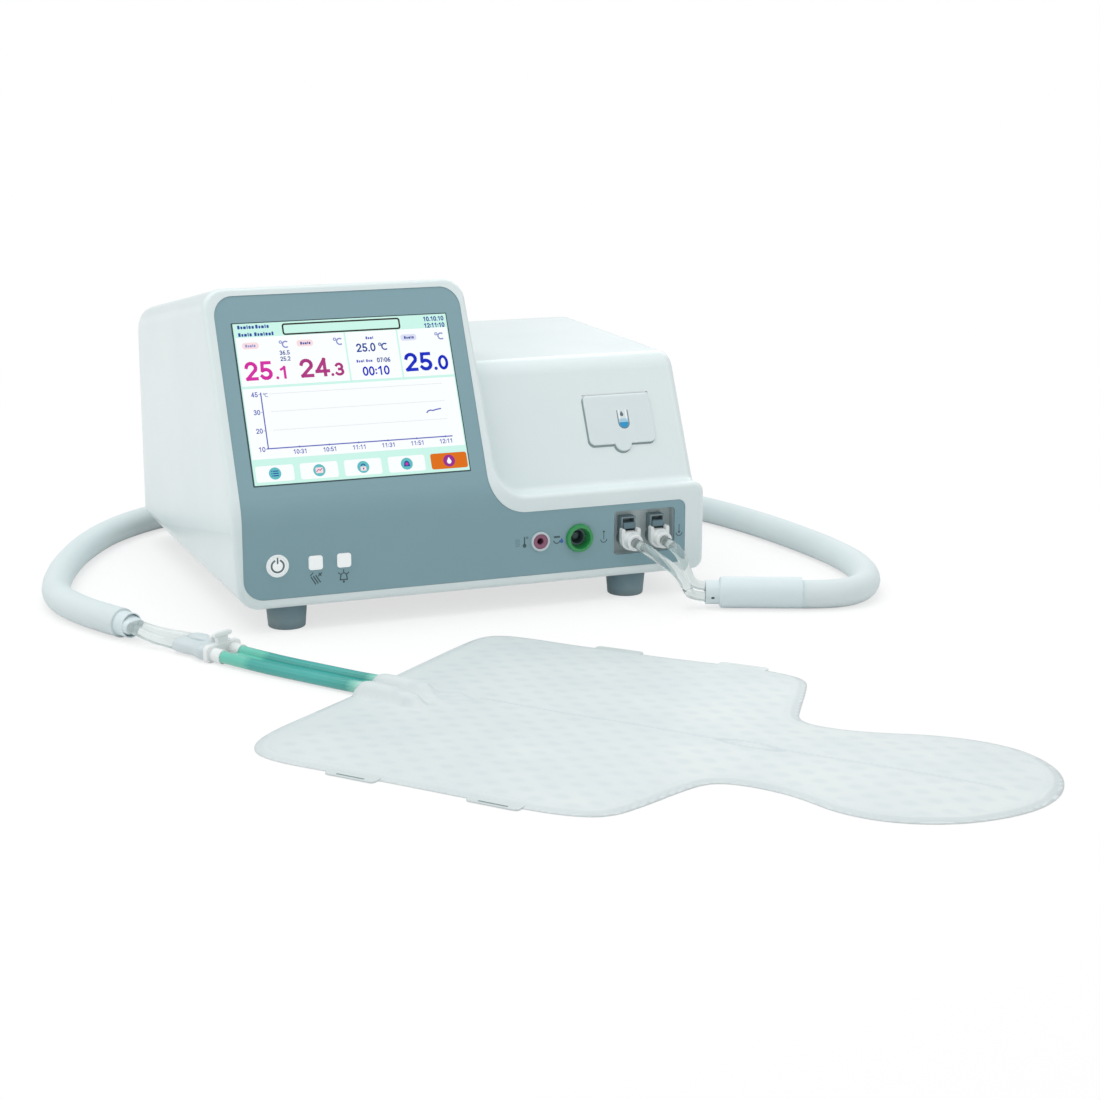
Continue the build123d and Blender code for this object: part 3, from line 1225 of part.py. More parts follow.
vane_inner = SHAFT_DIAMETER
vane_reach = IMPELLER_DIAMETER / 2 - vane_inner
with BuildPart() as pump_impeller:
    with BuildSketch(level(impeller_foot)):
        with Locations((PUMP_X, PUMP_Y)):
            Circle(IMPELLER_DIAMETER / 2)
    extrude(amount=IMPELLER_DISC)
    with BuildSketch(level(impeller_foot + IMPELLER_DISC)):
        with Locations((PUMP_X, PUMP_Y)):
            with PolarLocations(vane_inner + vane_reach / 2, VANES):
                Rectangle(vane_reach, IMPELLER_DISC, rotation=20)
            Circle(SHAFT_DIAMETER)
    extrude(amount=IMPELLER_HEIGHT - IMPELLER_DISC)
    with BuildSketch(level(impeller_foot + IMPELLER_HEIGHT)):
        with Locations((PUMP_X, PUMP_Y)):
            Circle(SHAFT_DIAMETER / 2)
    extrude(amount=SHAFT_LENGTH)
pump_impeller.part.label = "pump_impeller"
export_step(pump_impeller.part, "parts/pump_impeller.step")

shaft_top = impeller_foot + IMPELLER_HEIGHT + SHAFT_LENGTH
with BuildPart() as pump_motor:
    with BuildSketch(level(pump_top)):
        with Locations((PUMP_X, PUMP_Y)):
            Circle(MOTOR_DIAMETER / 2)
    extrude(amount=MOTOR_HEIGHT)
    fillet(pump_motor.edges().sort_by(Axis.Z)[-1], 4)
    with BuildSketch(level(pump_top)):
        with Locations((PUMP_X, PUMP_Y)):
            Circle(SHAFT_DIAMETER / 2 + FIT / 2)
    extrude(amount=shaft_top - pump_top + REST_GAP, mode=Mode.SUBTRACT)
pump_motor.part.label = "pump_motor"
export_step(pump_motor.part, "parts/pump_motor.step")

# Fan, heat sink, thermoelectric modules and cooling block, stacked against the back wall
inner_back = DEPTH - WALL
fan_front = inner_back - FAN_THICKNESS
sink_back = fan_front
sink_front = sink_back - SINK_DEPTH
module_front = sink_front - PELTIER_THICKNESS
block_front = module_front - BLOCK_DEPTH
hub_front = fan_front + (FAN_THICKNESS - MOUNT_PLATE - HUB_LENGTH) / 2
fan_spot = (FAN_X, FAN_Z)
with BuildPart() as fan_frame:
    with BuildSketch(facing_front(fan_front)):
        with Locations(fan_spot):
            RectangleRounded(FAN_SIZE, FAN_SIZE, FAN_RADIUS)
            Circle(FAN_HOLE / 2, mode=Mode.SUBTRACT)
    extrude(amount=-FAN_THICKNESS)
    with BuildSketch(facing_front(fan_front + FAN_THICKNESS - MOUNT_PLATE)):
        with Locations(fan_spot):
            Circle(HUB_DIAMETER / 2)
            Rectangle(FAN_HOLE + 2, 2 * MOUNT_PLATE, rotation=45)
            Rectangle(FAN_HOLE + 2, 2 * MOUNT_PLATE, rotation=-45)
            Circle(AXLE_DIAMETER / 2 + FIT / 2, mode=Mode.SUBTRACT)
    extrude(amount=-MOUNT_PLATE)
    with BuildSketch(facing_front(fan_front)):
        with Locations(fan_spot):
            with GridLocations(FAN_SIZE - 15, FAN_SIZE - 15, 2, 2):
                Circle(2.2)
    extrude(amount=-FAN_THICKNESS, mode=Mode.SUBTRACT)
fan_frame.part.label = "fan_frame"
export_step(fan_frame.part, "parts/fan_frame.step")

with BuildPart() as fan_rotor:
    with BuildSketch(facing_front(hub_front)):
        with Locations(fan_spot):
            Circle(HUB_DIAMETER / 2)
    extrude(amount=-HUB_LENGTH)
    fillet(fan_rotor.edges().sort_by(Axis.Y)[0], 2)
    with BuildSketch(facing_front(hub_front + HUB_LENGTH)):
        with Locations(fan_spot):
            Circle(AXLE_DIAMETER / 2)
    extrude(amount=-(MOUNT_PLATE + (FAN_THICKNESS - MOUNT_PLATE - HUB_LENGTH) / 2))
    hub_middle = at(FAN_X, hub_front + HUB_LENGTH / 2, FAN_Z)
    blade_root = HUB_DIAMETER / 2 - 2
    for blade in range(BLADES):
        turn = radians(blade * 360 / BLADES)
        outward = Vector(cos(turn), 0, sin(turn))
        sideways = Vector(-sin(turn), 0, cos(turn))
        pitch = radians(BLADE_PITCH)
        chord = sideways * cos(pitch) + Vector(0, 1, 0) * sin(pitch)
        with BuildSketch(Plane(origin=hub_middle + outward * blade_root, x_dir=chord, z_dir=outward)):
            Rectangle(BLADE_CHORD, BLADE_THICKNESS)
        extrude(amount=BLADE_TIP - blade_root)
fan_rotor.part.label = "fan_rotor"
export_step(fan_rotor.part, "parts/fan_rotor.step")

ring_step = VENT_DIAMETER / 2 / (GRILLE_RINGS + 1)
with BuildPart() as vent_grille:
    with BuildSketch(facing_front(DEPTH)):
        with Locations(fan_spot):
            Circle(GRILLE_FLANGE / 2)
            Circle(VENT_DIAMETER / 2 - FIT - GRILLE_THICKNESS, mode=Mode.SUBTRACT)
            for ring in range(1, GRILLE_RINGS + 1):
                Circle(ring * ring_step + GRILLE_THICKNESS / 2)
                Circle(ring * ring_step - GRILLE_THICKNESS / 2, mode=Mode.SUBTRACT)
            for spoke in range(4):
                Rectangle(VENT_DIAMETER - 2 * FIT, GRILLE_THICKNESS, rotation=45 * spoke + 22.5)
            Circle(ring_step)
    extrude(amount=-GRILLE_THICKNESS)
    with BuildSketch(facing_front(DEPTH)):
        with Locations(fan_spot):
            Circle(VENT_DIAMETER / 2 - FIT)
            Circle(VENT_DIAMETER / 2 - FIT - GRILLE_THICKNESS, mode=Mode.SUBTRACT)
    extrude(amount=WALL)
vent_grille.part.label = "vent_grille"
export_step(vent_grille.part, "parts/vent_grille.step")

fin_pitch = (SINK_SIZE - FIN_THICKNESS) / (FINS - 1)
with BuildPart() as heat_sink:
    with BuildSketch(facing_front(sink_front)):
        with Locations(fan_spot):
            Rectangle(SINK_SIZE, SINK_SIZE)
    extrude(amount=-SINK_BASE)
    with BuildSketch(facing_front(sink_front + SINK_BASE)):
        with Locations(fan_spot):
            with GridLocations(fin_pitch, 1, FINS, 1):
                Rectangle(FIN_THICKNESS, SINK_SIZE)
    extrude(amount=-(SINK_DEPTH - SINK_BASE))
heat_sink.part.label = "heat_sink"
export_step(heat_sink.part, "parts/heat_sink.step")

with BuildPart() as peltier_modules:
    with BuildSketch(facing_front(module_front)):
        with Locations(fan_spot):
            with GridLocations(PELTIER_SPACING, 1, 2, 1):
                Rectangle(PELTIER_SIZE, PELTIER_SIZE)
    extrude(amount=-PELTIER_THICKNESS)
peltier_modules.part.label = "peltier_modules"
export_step(peltier_modules.part, "parts/peltier_modules.step")

with BuildPart() as cooling_block:
    with BuildSketch(facing_front(block_front)):
        with Locations(fan_spot):
            RectangleRounded(BLOCK_WIDTH, BLOCK_HEIGHT, 3)
    extrude(amount=-BLOCK_DEPTH)
    with BuildSketch(facing_front(block_front)):
        with Locations(fan_spot):
            with GridLocations(PORT_SPREAD, 1, 2, 1):
                Circle(WATERWAY / 2)
    extrude(amount=-BLOCK_DEPTH / 2, mode=Mode.SUBTRACT)
cooling_block.part.label = "cooling_block"
export_step(cooling_block.part, "parts/cooling_block.step")

# Fixed pipes inside the case, from the tank through the pump and the cooling block to the couplings
pump_side = PUMP_X + PUMP_DIAMETER / 2 + STUB_LENGTH
pump_rear = PUMP_Y + PUMP_DIAMETER / 2 + STUB_LENGTH
front_lane = (COUPLING_TAIL + TANK_FRONT) / 2
supply_lane = block_front - SUPPLY_LANE_GAP
outlet_lane = block_front - OUTLET_LANE_GAP
left_port = FAN_X - PORT_SPREAD / 2
right_port = FAN_X + PORT_SPREAD / 2
pipe_routes = (
    ((COUPLING_XS[1], COUPLING_TAIL, COUPLING_ROW), (COUPLING_XS[1], TANK_FRONT, COUPLING_ROW)),
    ((TANK_LEFT, PUMP_Y, INTAKE_LEVEL), (pump_side, PUMP_Y, INTAKE_LEVEL)),
    ((DRAIN_X, TANK_BACK, DRAIN_LEVEL), (DRAIN_X, inner_back - HEX_THICKNESS, DRAIN_LEVEL)),
    (
        (PUMP_X, pump_rear, OUTLET_LEVEL), (PUMP_X, outlet_lane, OUTLET_LEVEL),
        (right_port, outlet_lane, OUTLET_LEVEL), (right_port, outlet_lane, FAN_Z),
        (right_port, block_front, FAN_Z),
    ),
    (
        (left_port, block_front, FAN_Z), (left_port, supply_lane, FAN_Z),
        (SUPPLY_LANE_X, supply_lane, FAN_Z), (SUPPLY_LANE_X, supply_lane, COUPLING_ROW),
        (SUPPLY_LANE_X, front_lane, COUPLING_ROW), (COUPLING_XS[0], front_lane, COUPLING_ROW),
        (COUPLING_XS[0], COUPLING_TAIL, COUPLING_ROW),
    ),
)
with BuildPart() as internal_pipes:
    for route in pipe_routes:
        points = [at(*point) for point in route]
        with BuildLine() as pipe_line:
            if len(points) == 2:
                Line(*points)
            else:
                FilletPolyline(*points, radius=PIPE_BEND)
        with BuildSketch(Plane(origin=points[0], z_dir=points[1] - points[0])):
            Circle(PIPE_DIAMETER / 2)
            Circle(WATERWAY / 2, mode=Mode.SUBTRACT)
        sweep(path=pipe_line.line)
internal_pipes.part.label = "internal_pipes"
export_step(internal_pipes.part, "parts/internal_pipes.step")

# Circuit board and power supply
with BuildPart() as main_board:
    with BuildSketch(facing_front(BOARD_Y)):
        with Locations((BOARD_LEFT + BOARD_WIDTH / 2, BOARD_FOOT + BOARD_HEIGHT / 2)):
            Rectangle(BOARD_WIDTH, BOARD_HEIGHT)
    extrude(amount=-BOARD_THICKNESS)
    with BuildSketch(facing_front(BOARD_Y + BOARD_THICKNESS)):
        with Locations((BOARD_LEFT + BOARD_WIDTH * 0.35, BOARD_FOOT + BOARD_HEIGHT * 0.6)):
            Rectangle(28, 28)
        with Locations((BOARD_LEFT + BOARD_WIDTH * 0.75, BOARD_FOOT + BOARD_HEIGHT * 0.3)):
            Rectangle(18, 14)
        with Locations((BOARD_LEFT + BOARD_WIDTH * 0.75, BOARD_FOOT + BOARD_HEIGHT * 0.72)):
            Rectangle(12, 30)
    extrude(amount=-3)
    with BuildSketch(facing_front(BOARD_Y + BOARD_THICKNESS)):
        with Locations((BOARD_LEFT + BOARD_WIDTH / 2, BOARD_FOOT + BOARD_HEIGHT - 8)):
            with GridLocations(30, 1, 4, 1):
                Rectangle(20, 9)
    extrude(amount=-9)
main_board.part.label = "main_board"
export_step(main_board.part, "parts/main_board.step")

supply_middle = (SUPPLY_LEFT + SUPPLY_WIDTH / 2, SUPPLY_FRONT + SUPPLY_DEPTH / 2)
with BuildPart() as power_supply:
    with BuildSketch(level(TANK_FOOT)):
        with Locations(supply_middle):
            Rectangle(SUPPLY_WIDTH, SUPPLY_DEPTH)
    extrude(amount=SUPPLY_HEIGHT)
    with BuildSketch(level(TANK_FOOT + SUPPLY_HEIGHT)):
        with Locations(supply_middle):
            with GridLocations(SUPPLY_WIDTH / 12, 1, 10, 1):
                SlotOverall(SUPPLY_DEPTH - 20, 4, rotation=90)
    extrude(amount=-2, mode=Mode.SUBTRACT)
power_supply.part.label = "power_supply"
export_step(power_supply.part, "parts/power_supply.step")

# Mains entry: inlet with its three blades, rocker switch and fuse drawer
entry_middle = (ENTRY_LEFT + ENTRY_WIDTH / 2, ENTRY_ROW)
entry_face = DEPTH + ENTRY_FLANGE
rocker_axis_y = entry_face - ROCKER_AXIS
rocker_half = ROCKER_HEIGHT / 2
with BuildPart() as mains_inlet:
    with BuildSketch(facing_front(entry_face)):
        with Locations(entry_middle):
            RectangleRounded(ENTRY_WIDTH + 2 * ENTRY_EDGE, ENTRY_HEIGHT + 2 * ENTRY_EDGE, 3)
    extrude(amount=ENTRY_FLANGE)
    with BuildSketch(facing_front(DEPTH)):
        with Locations(entry_middle):
            Rectangle(ENTRY_WIDTH - 2 * FIT, ENTRY_HEIGHT - 2 * FIT)
    extrude(amount=ENTRY_DEPTH)
    with BuildSketch(facing_front(entry_face)):
        with Locations((INLET_X, ENTRY_ROW)):
            RectangleRounded(INLET_WIDTH, INLET_HEIGHT, 2.5)
    extrude(amount=INLET_DEPTH, mode=Mode.SUBTRACT)
    with BuildSketch(facing_front(entry_face - INLET_DEPTH)):
        with Locations(
            (INLET_X - BLADE_SPACING, ENTRY_ROW - 2),
            (INLET_X + BLADE_SPACING, ENTRY_ROW - 2),
            (INLET_X, ENTRY_ROW + 3),
        ):
            Rectangle(2, 4)
    extrude(amount=-BLADE_LENGTH)
    with BuildSketch(facing_front(entry_face)):
        with Locations((ROCKER_X, ENTRY_ROW)):
            Rectangle(ROCKER_WIDTH + 2 * REST_GAP, ROCKER_HEIGHT + 6 * REST_GAP)
    extrude(amount=rocker_half + ROCKER_HEIGHT / 4, mode=Mode.SUBTRACT)
    with BuildSketch(facing_front(entry_face)):
        with Locations((FUSE_X, ENTRY_ROW)):
            Rectangle(FUSE_WIDTH + 2 * FIT, FUSE_HEIGHT + 2 * FIT)
    extrude(amount=FUSE_LENGTH + FIT, mode=Mode.SUBTRACT)
    with BuildSketch(side_on(ROCKER_X)):
        with Locations((rocker_axis_y - TRUNNION_DIAMETER, ENTRY_ROW)):
            Circle(TRUNNION_DIAMETER / 2 + FIT)
    extrude(amount=ROCKER_WIDTH / 2 + REST_GAP + TRUNNION_LENGTH, both=True, mode=Mode.SUBTRACT)
mains_inlet.part.label = "mains_inlet"
export_step(mains_inlet.part, "parts/mains_inlet.step")

rocker_pivot = at(ROCKER_X, rocker_axis_y - TRUNNION_DIAMETER, ENTRY_ROW)
rocker_turn = radians(ROCKER_SWING)
rocker_plane = Plane(
    origin=rocker_pivot, x_dir=(0, cos(rocker_turn), sin(rocker_turn)), z_dir=(1, 0, 0)
)
rocker_front = TRUNNION_DIAMETER + ROCKER_AXIS
with BuildPart() as mains_switch:
    with BuildSketch(rocker_plane):
        with BuildLine():
            Polyline(
                (rocker_front + 1.6, -rocker_half), (rocker_front, 0), (rocker_front + 1.6, rocker_half),
                (-1, rocker_half - 1), (-4, 4), (-4, -4), (-1, 1 - rocker_half), close=True,
            )
        make_face()
    extrude(amount=ROCKER_WIDTH / 2, both=True)
    with BuildSketch(rocker_plane):
        Circle(TRUNNION_DIAMETER / 2)
    extrude(amount=ROCKER_WIDTH / 2 + TRUNNION_LENGTH, both=True)
mains_switch.part.label = "mains_switch"
export_step(mains_switch.part, "parts/mains_switch.step")

with BuildPart() as fuse_drawer:
    with BuildSketch(facing_front(entry_face)):
        with Locations((FUSE_X, ENTRY_ROW)):
            Rectangle(FUSE_WIDTH, FUSE_HEIGHT)
    extrude(amount=FUSE_LENGTH)
    with BuildSketch(facing_front(entry_face + 1.4)):
        with Locations((FUSE_X, ENTRY_ROW + FUSE_HEIGHT / 2 - 1.5)):
            Rectangle(FUSE_WIDTH - 2, 2)
    extrude(amount=1.4)
    with BuildSketch(side_on(FUSE_X)):
        with Locations((entry_face - FUSE_LENGTH / 2 - 1, ENTRY_ROW)):
            Rectangle(FUSE_LENGTH - 6, FUSE_HEIGHT - 10)
    extrude(amount=FUSE_WIDTH / 2, mode=Mode.SUBTRACT)
fuse_drawer.part.label = "fuse_drawer"
export_step(fuse_drawer.part, "parts/fuse_drawer.step")

# Earthing stud and drain fitting, each with its nut inside the back wall
with BuildPart() as earth_stud:
    with BuildSketch(facing_front(DEPTH)):
        with Locations((STUD_X, ENTRY_ROW)):
            Circle(STUD_DIAMETER / 2)
    extrude(amount=-(HEX_THICKNESS + STUD_LENGTH))
    chamfer(earth_stud.edges().sort_by(Axis.Y)[-1], 0.8)
    with BuildSketch(facing_front(DEPTH)):
        with Locations((STUD_X, ENTRY_ROW)):
            RegularPolygon(HEX_SIZE / 2, 6)
    extrude(amount=-HEX_THICKNESS)
    with BuildSketch(facing_front(DEPTH)):
        with Locations((STUD_X, ENTRY_ROW)):
            Circle(STUD_DIAMETER / 2)
    extrude(amount=WALL)
    with BuildSketch(facing_front(inner_back)):
        with Locations((STUD_X, ENTRY_ROW)):
            RegularPolygon(HEX_SIZE / 2, 6)
    extrude(amount=HEX_THICKNESS)
earth_stud.part.label = "earth_stud"
export_step(earth_stud.part, "parts/earth_stud.step")

with BuildPart() as drain_fitting:
    with BuildSketch(facing_front(DEPTH)):
        with Locations((DRAIN_X, DRAIN_LEVEL)):
            RegularPolygon(HEX_SIZE / 2, 6)
    extrude(amount=-HEX_THICKNESS)
    with BuildSketch(facing_front(inner_back)):
        with Locations((DRAIN_X, DRAIN_LEVEL)):
            RegularPolygon(HEX_SIZE / 2, 6)
    extrude(amount=HEX_THICKNESS)
    with BuildSketch(facing_front(inner_back)):
        with Locations((DRAIN_X, DRAIN_LEVEL)):
            Circle(DRAIN_DIAMETER / 2)
    extrude(amount=-(WALL + HEX_THICKNESS + DRAIN_LENGTH))
    with BuildSketch(facing_front(inner_back - HEX_THICKNESS)):
        with Locations((DRAIN_X, DRAIN_LEVEL)):
            Circle(DRAIN_BORE / 2)
    extrude(amount=-DEPTH, mode=Mode.SUBTRACT)
drain_fitting.part.label = "drain_fitting"
export_step(drain_fitting.part, "parts/drain_fitting.step")

# Rear casing: everything behind the frame, with the door's seat, the rear openings and the bottom seat
base_middle = ((BASE_LEFT + BASE_RIGHT) / 2, (BASE_FRONT + BASE_BACK) / 2)
base_size = (BASE_RIGHT - BASE_LEFT, BASE_BACK - BASE_FRONT)
screw_spots = [
    (x, y) for x in (BASE_LEFT + SCREW_INSET, BASE_RIGHT - SCREW_INSET) for y in SCREW_YS
]
foot_spots = [(x, y) for x in FOOT_XS for y in FOOT_YS]
base_top = FOOT_HEIGHT + BASE_THICKNESS
with BuildPart() as door_seat:
    with BuildSketch(on_slant(WALL / 2)):
        with Locations((door_middle[0], door_middle[1] - FINGER_REACH / 2)):
            RectangleRounded(
                DOOR_WIDTH + 4 * PIN_REACH, DOOR_HEIGHT + FINGER_REACH + 2 * PIN_REACH, DOOR_RADIUS
            )
    extrude(amount=WALL / 2 - DOOR_SEAT_DEPTH)
with BuildPart() as casing_room:
    add(cavity(WALL))
    with BuildSketch(facing_front(inner_back - 1)):
        with Locations(fan_spot):
            Circle(VENT_DIAMETER / 2)
        with Locations(entry_middle):
            Rectangle(ENTRY_WIDTH, ENTRY_HEIGHT)
        with Locations((STUD_X, ENTRY_ROW)):
            Circle(STUD_DIAMETER / 2 + FIT)
        with Locations((DRAIN_X, DRAIN_LEVEL)):
            Circle(DRAIN_DIAMETER / 2 + FIT)
    extrude(amount=-WALL - 2)
    with BuildSketch(level(FOOT_HEIGHT - 1)):
        with Locations(base_middle):
            RectangleRounded(base_size[0] + 2 * FIT, base_size[1] + 2 * FIT, BASE_RADIUS)
    extrude(amount=BASE_THICKNESS + 1)
    with BuildSketch(level(FOOT_HEIGHT)):
        with Locations(base_middle):
            RectangleRounded(base_size[0] - 2 * BASE_SEAT, base_size[1] - 2 * BASE_SEAT, BASE_RADIUS)
        with Locations(*foot_spots):
            Circle(STUD_WIDTH)
    extrude(amount=2 * WALL)
with BuildPart() as main_casing:
    add(console)
    add(behind_front(FRAME_DEPTH + SEAM), mode=Mode.INTERSECT)
    add(casing_room, mode=Mode.SUBTRACT)
    add(door_seat)
    with BuildSketch(on_slant(seat_depth)):
        add(door_outline(FIT))
    extrude(amount=2 * seat_depth, mode=Mode.SUBTRACT)
    with BuildSketch(across_slant(DOOR_LEFT - FIT)):
        with Locations((hinge_rise, -HINGE_DEPTH)):
            Circle(hypot(knuckle_radius + REST_GAP, HINGE_DEPTH))
    extrude(amount=DOOR_WIDTH + 2 * FIT, mode=Mode.SUBTRACT)
    with BuildSketch(across_slant(DOOR_LEFT - PIN_REACH)):
        with Locations((hinge_rise, -HINGE_DEPTH)):
            Circle(PIN_DIAMETER / 2)
    extrude(amount=DOOR_WIDTH + 2 * PIN_REACH, mode=Mode.SUBTRACT)
    with BuildSketch(on_slant(0)):
        with Locations(neck_spot):
            Circle(NECK_DIAMETER / 2 + FIT)
    extrude(amount=-2 * DOOR_SEAT_DEPTH, mode=Mode.SUBTRACT)
    with BuildSketch(level(base_top)):
        with Locations(*screw_spots):
            Circle(BOSS_DIAMETER / 2)
    extrude(amount=BOSS_HEIGHT)
    with BuildSketch(level(base_top)):
        with Locations(*screw_spots):
            Circle(SCREW_DIAMETER / 2 + 0.05)
    extrude(amount=SCREW_LENGTH, mode=Mode.SUBTRACT)
main_casing.part.label = "main_casing"
export_step(main_casing.part, "parts/main_casing.step")

# Bottom plate with air slots and two tabs that carry the circuit board
with BuildPart() as base_plate:
    with BuildSketch(level(FOOT_HEIGHT)):
        with Locations(base_middle):
            RectangleRounded(*base_size, BASE_RADIUS)
        with Locations((FAN_X, (TANK_BACK + block_front) / 2)):
            with GridLocations(INTAKE_PITCH, 1, INTAKE_SLOTS, 1):
                SlotOverall(INTAKE_LENGTH, INTAKE_WIDTH, rotation=90, mode=Mode.SUBTRACT)
        with Locations(*foot_spots):
            Circle(STUD_WIDTH / 2 + FIT, mode=Mode.SUBTRACT)
        with Locations(*screw_spots):
            Circle(SCREW_DIAMETER / 2 + FIT, mode=Mode.SUBTRACT)
    extrude(amount=BASE_THICKNESS)
    with BuildSketch(level(base_top - BASE_THICKNESS / 2)):
        with Locations(
            (BOARD_LEFT + CARD_TAB_WIDTH, BOARD_Y - BASE_THICKNESS / 2),
            (BOARD_LEFT + BOARD_WIDTH - CARD_TAB_WIDTH, BOARD_Y - BASE_THICKNESS / 2),
        ):
            Rectangle(CARD_TAB_WIDTH, BASE_THICKNESS)
    extrude(amount=CARD_TAB_HEIGHT)
base_plate.part.label = "base_plate"
export_step(base_plate.part, "parts/base_plate.step")

with BuildPart() as case_screws:
    with BuildSketch(level(FOOT_HEIGHT)):
        with Locations(*screw_spots):
            Circle(SCREW_HEAD / 2)
    extrude(amount=-SCREW_HEAD_THICKNESS)
    chamfer(case_screws.edges().group_by(Axis.Z)[0], 0.8)
    with BuildSketch(level(FOOT_HEIGHT - SCREW_HEAD_THICKNESS)):
        with Locations(*screw_spots):
            Rectangle(SCREW_HEAD - 3, 0.9)
            Rectangle(0.9, SCREW_HEAD - 3)
    extrude(amount=SCREW_HEAD_THICKNESS / 2, mode=Mode.SUBTRACT)
    with BuildSketch(level(FOOT_HEIGHT)):
        with Locations(*screw_spots):
            Circle(SCREW_DIAMETER / 2)
    extrude(amount=SCREW_LENGTH)
case_screws.part.label = "case_screws"
export_step(case_screws.part, "parts/case_screws.step")

with BuildPart() as rubber_feet:
    with Locations(*[at(x, y, FOOT_HEIGHT / 2) for x, y in foot_spots]):
        Cone(FOOT_BOTTOM_DIAMETER / 2, FOOT_TOP_DIAMETER / 2, FOOT_HEIGHT)
    fillet(rubber_feet.edges().group_by(Axis.Z)[0], 1.5)
    with BuildSketch(level(FOOT_HEIGHT)):
        with Locations(*foot_spots):
            Circle(STUD_WIDTH / 2)
    extrude(amount=2 * BASE_THICKNESS)
rubber_feet.part.label = "rubber_feet"
export_step(rubber_feet.part, "parts/rubber_feet.step")


def bend_radii(name, points):
    """Radius of the round at each inner corner of a route."""
    radii = []
    for before, corner, after in zip(points, points[1:], points[2:]):
        turn = (corner - before).get_angle(after - corner)
        shorter = min((corner - before).length, (after - corner).length)
        radii.append(0.45 * shorter / tan(radians(turn / 2)))
    print(f"{name} bend radii", " ".join(f"{radius:.0f}" for radius in radii))
    return radii


def along(start, axis, distance, side=0.0):
    """A point this far along a level direction from a start, moved sideways to its left."""
    return Vector(
        start[0] + axis.X * distance - axis.Y * side, start[1] + axis.Y * distance + axis.X * side, 0
    )


def raised(point, z):
    """The same point of the table at another height, in the frame of the whole device."""
    return at(point.X, point.Y, z)


# Insulated hose on the table, with the stiff cuff and the open collar at its console end
hose_level = HOSE_DIAMETER / 2 + FLOOR_GAP
cuff_level = CUFF_DIAMETER / 2 + FLOOR_GAP
hose_points = [at(x, y, hose_level) for x, y in HOSE_ROUTE]
with BuildPart() as insulated_hose:
    with BuildLine() as hose_line:
        FilletPolyline(*hose_points, radius=bend_radii("insulated_hose", hose_points))
    with BuildSketch(Plane(origin=hose_points[0], z_dir=hose_points[1] - hose_points[0])):
        Circle(HOSE_DIAMETER / 2)
    sweep(path=hose_line.line)
insulated_hose.part.label = "insulated_hose"
export_step(insulated_hose.part, "parts/insulated_hose.step")

cuff_axis = Vector(COLLAR_MOUTH[0] - CUFF_START[0], COLLAR_MOUTH[1] - CUFF_START[1], 0)
cuff_length = cuff_axis.length
cuff_axis = cuff_axis.normalized()
cuff_start = at(*CUFF_START, cuff_level)
with BuildPart() as console_end_cuff:
    with BuildSketch(Plane(origin=cuff_start, z_dir=cuff_axis)):
        Circle(CUFF_DIAMETER / 2)
    extrude(amount=cuff_length - COLLAR_LENGTH - COLLAR_FLOOR)
    fillet(console_end_cuff.edges().filter_by(GeomType.CIRCLE).sort_by(Axis(cuff_start, cuff_axis))[-1], 3)
    with BuildSketch(Plane(origin=cuff_start, z_dir=cuff_axis)):
        Circle(COLLAR_DIAMETER / 2)
    extrude(amount=cuff_length)
    collar_depth = cuff_axis * (cuff_length - COLLAR_LENGTH)
    with BuildSketch(Plane(origin=cuff_start + collar_depth, z_dir=cuff_axis)):
        Circle(COLLAR_BORE / 2)
    extrude(amount=COLLAR_LENGTH, mode=Mode.SUBTRACT)
console_end_cuff.part.label = "console_end_cuff"
export_step(console_end_cuff.part, "parts/console_end_cuff.step")

collar_axis = (hose_points[-1] - hose_points[-2]).normalized()
collar_start = hose_points[-1]
with BuildPart() as blanket_end_collar:
    with BuildSketch(Plane(origin=collar_start, z_dir=collar_axis)):
        Circle(COLLAR_DIAMETER / 2)
    extrude(amount=COLLAR_FLOOR + COLLAR_LENGTH)
    with BuildSketch(Plane(origin=collar_start + collar_axis * COLLAR_FLOOR, z_dir=collar_axis)):
        Circle(COLLAR_BORE / 2)
    extrude(amount=COLLAR_LENGTH, mode=Mode.SUBTRACT)
blanket_end_collar.part.label = "blanket_end_collar"
export_step(blanket_end_collar.part, "parts/blanket_end_collar.step")

# Clear tubes between the couplings and the cuff
collar_floor = along(COLLAR_MOUTH, cuff_axis, -COLLAR_LENGTH)
collar_entry = along(COLLAR_MOUTH, cuff_axis, COLLAR_RUN - COLLAR_LENGTH)
lower_level = cuff_level - TUBE_SPREAD / 2
upper_level = cuff_level + TUBE_SPREAD / 2
supply_points = [at(*point) for point in SUPPLY_ROUTE]
supply_points += [raised(collar_entry, lower_level), raised(collar_floor, lower_level)]
with BuildPart() as supply_tube:
    with BuildLine() as tube_line:
        FilletPolyline(*supply_points, radius=bend_radii("supply_tube", supply_points))
    with BuildSketch(Plane(origin=supply_points[0], z_dir=supply_points[1] - supply_points[0])):
        Circle(TUBE_DIAMETER / 2)
    sweep(path=tube_line.line)
supply_tube.part.label = "supply_tube"
export_step(supply_tube.part, "parts/supply_tube.step")

return_points = [at(*point) for point in RETURN_ROUTE]
return_points += [raised(collar_entry, upper_level), raised(collar_floor, upper_level)]
with BuildPart() as return_tube:
    with BuildLine() as tube_line:
        FilletPolyline(*return_points, radius=bend_radii("return_tube", return_points))
    with BuildSketch(Plane(origin=return_points[0], z_dir=return_points[1] - return_points[0])):
        Circle(TUBE_DIAMETER / 2)
    sweep(path=tube_line.line)
return_tube.part.label = "return_tube"
export_step(return_tube.part, "parts/return_tube.step")

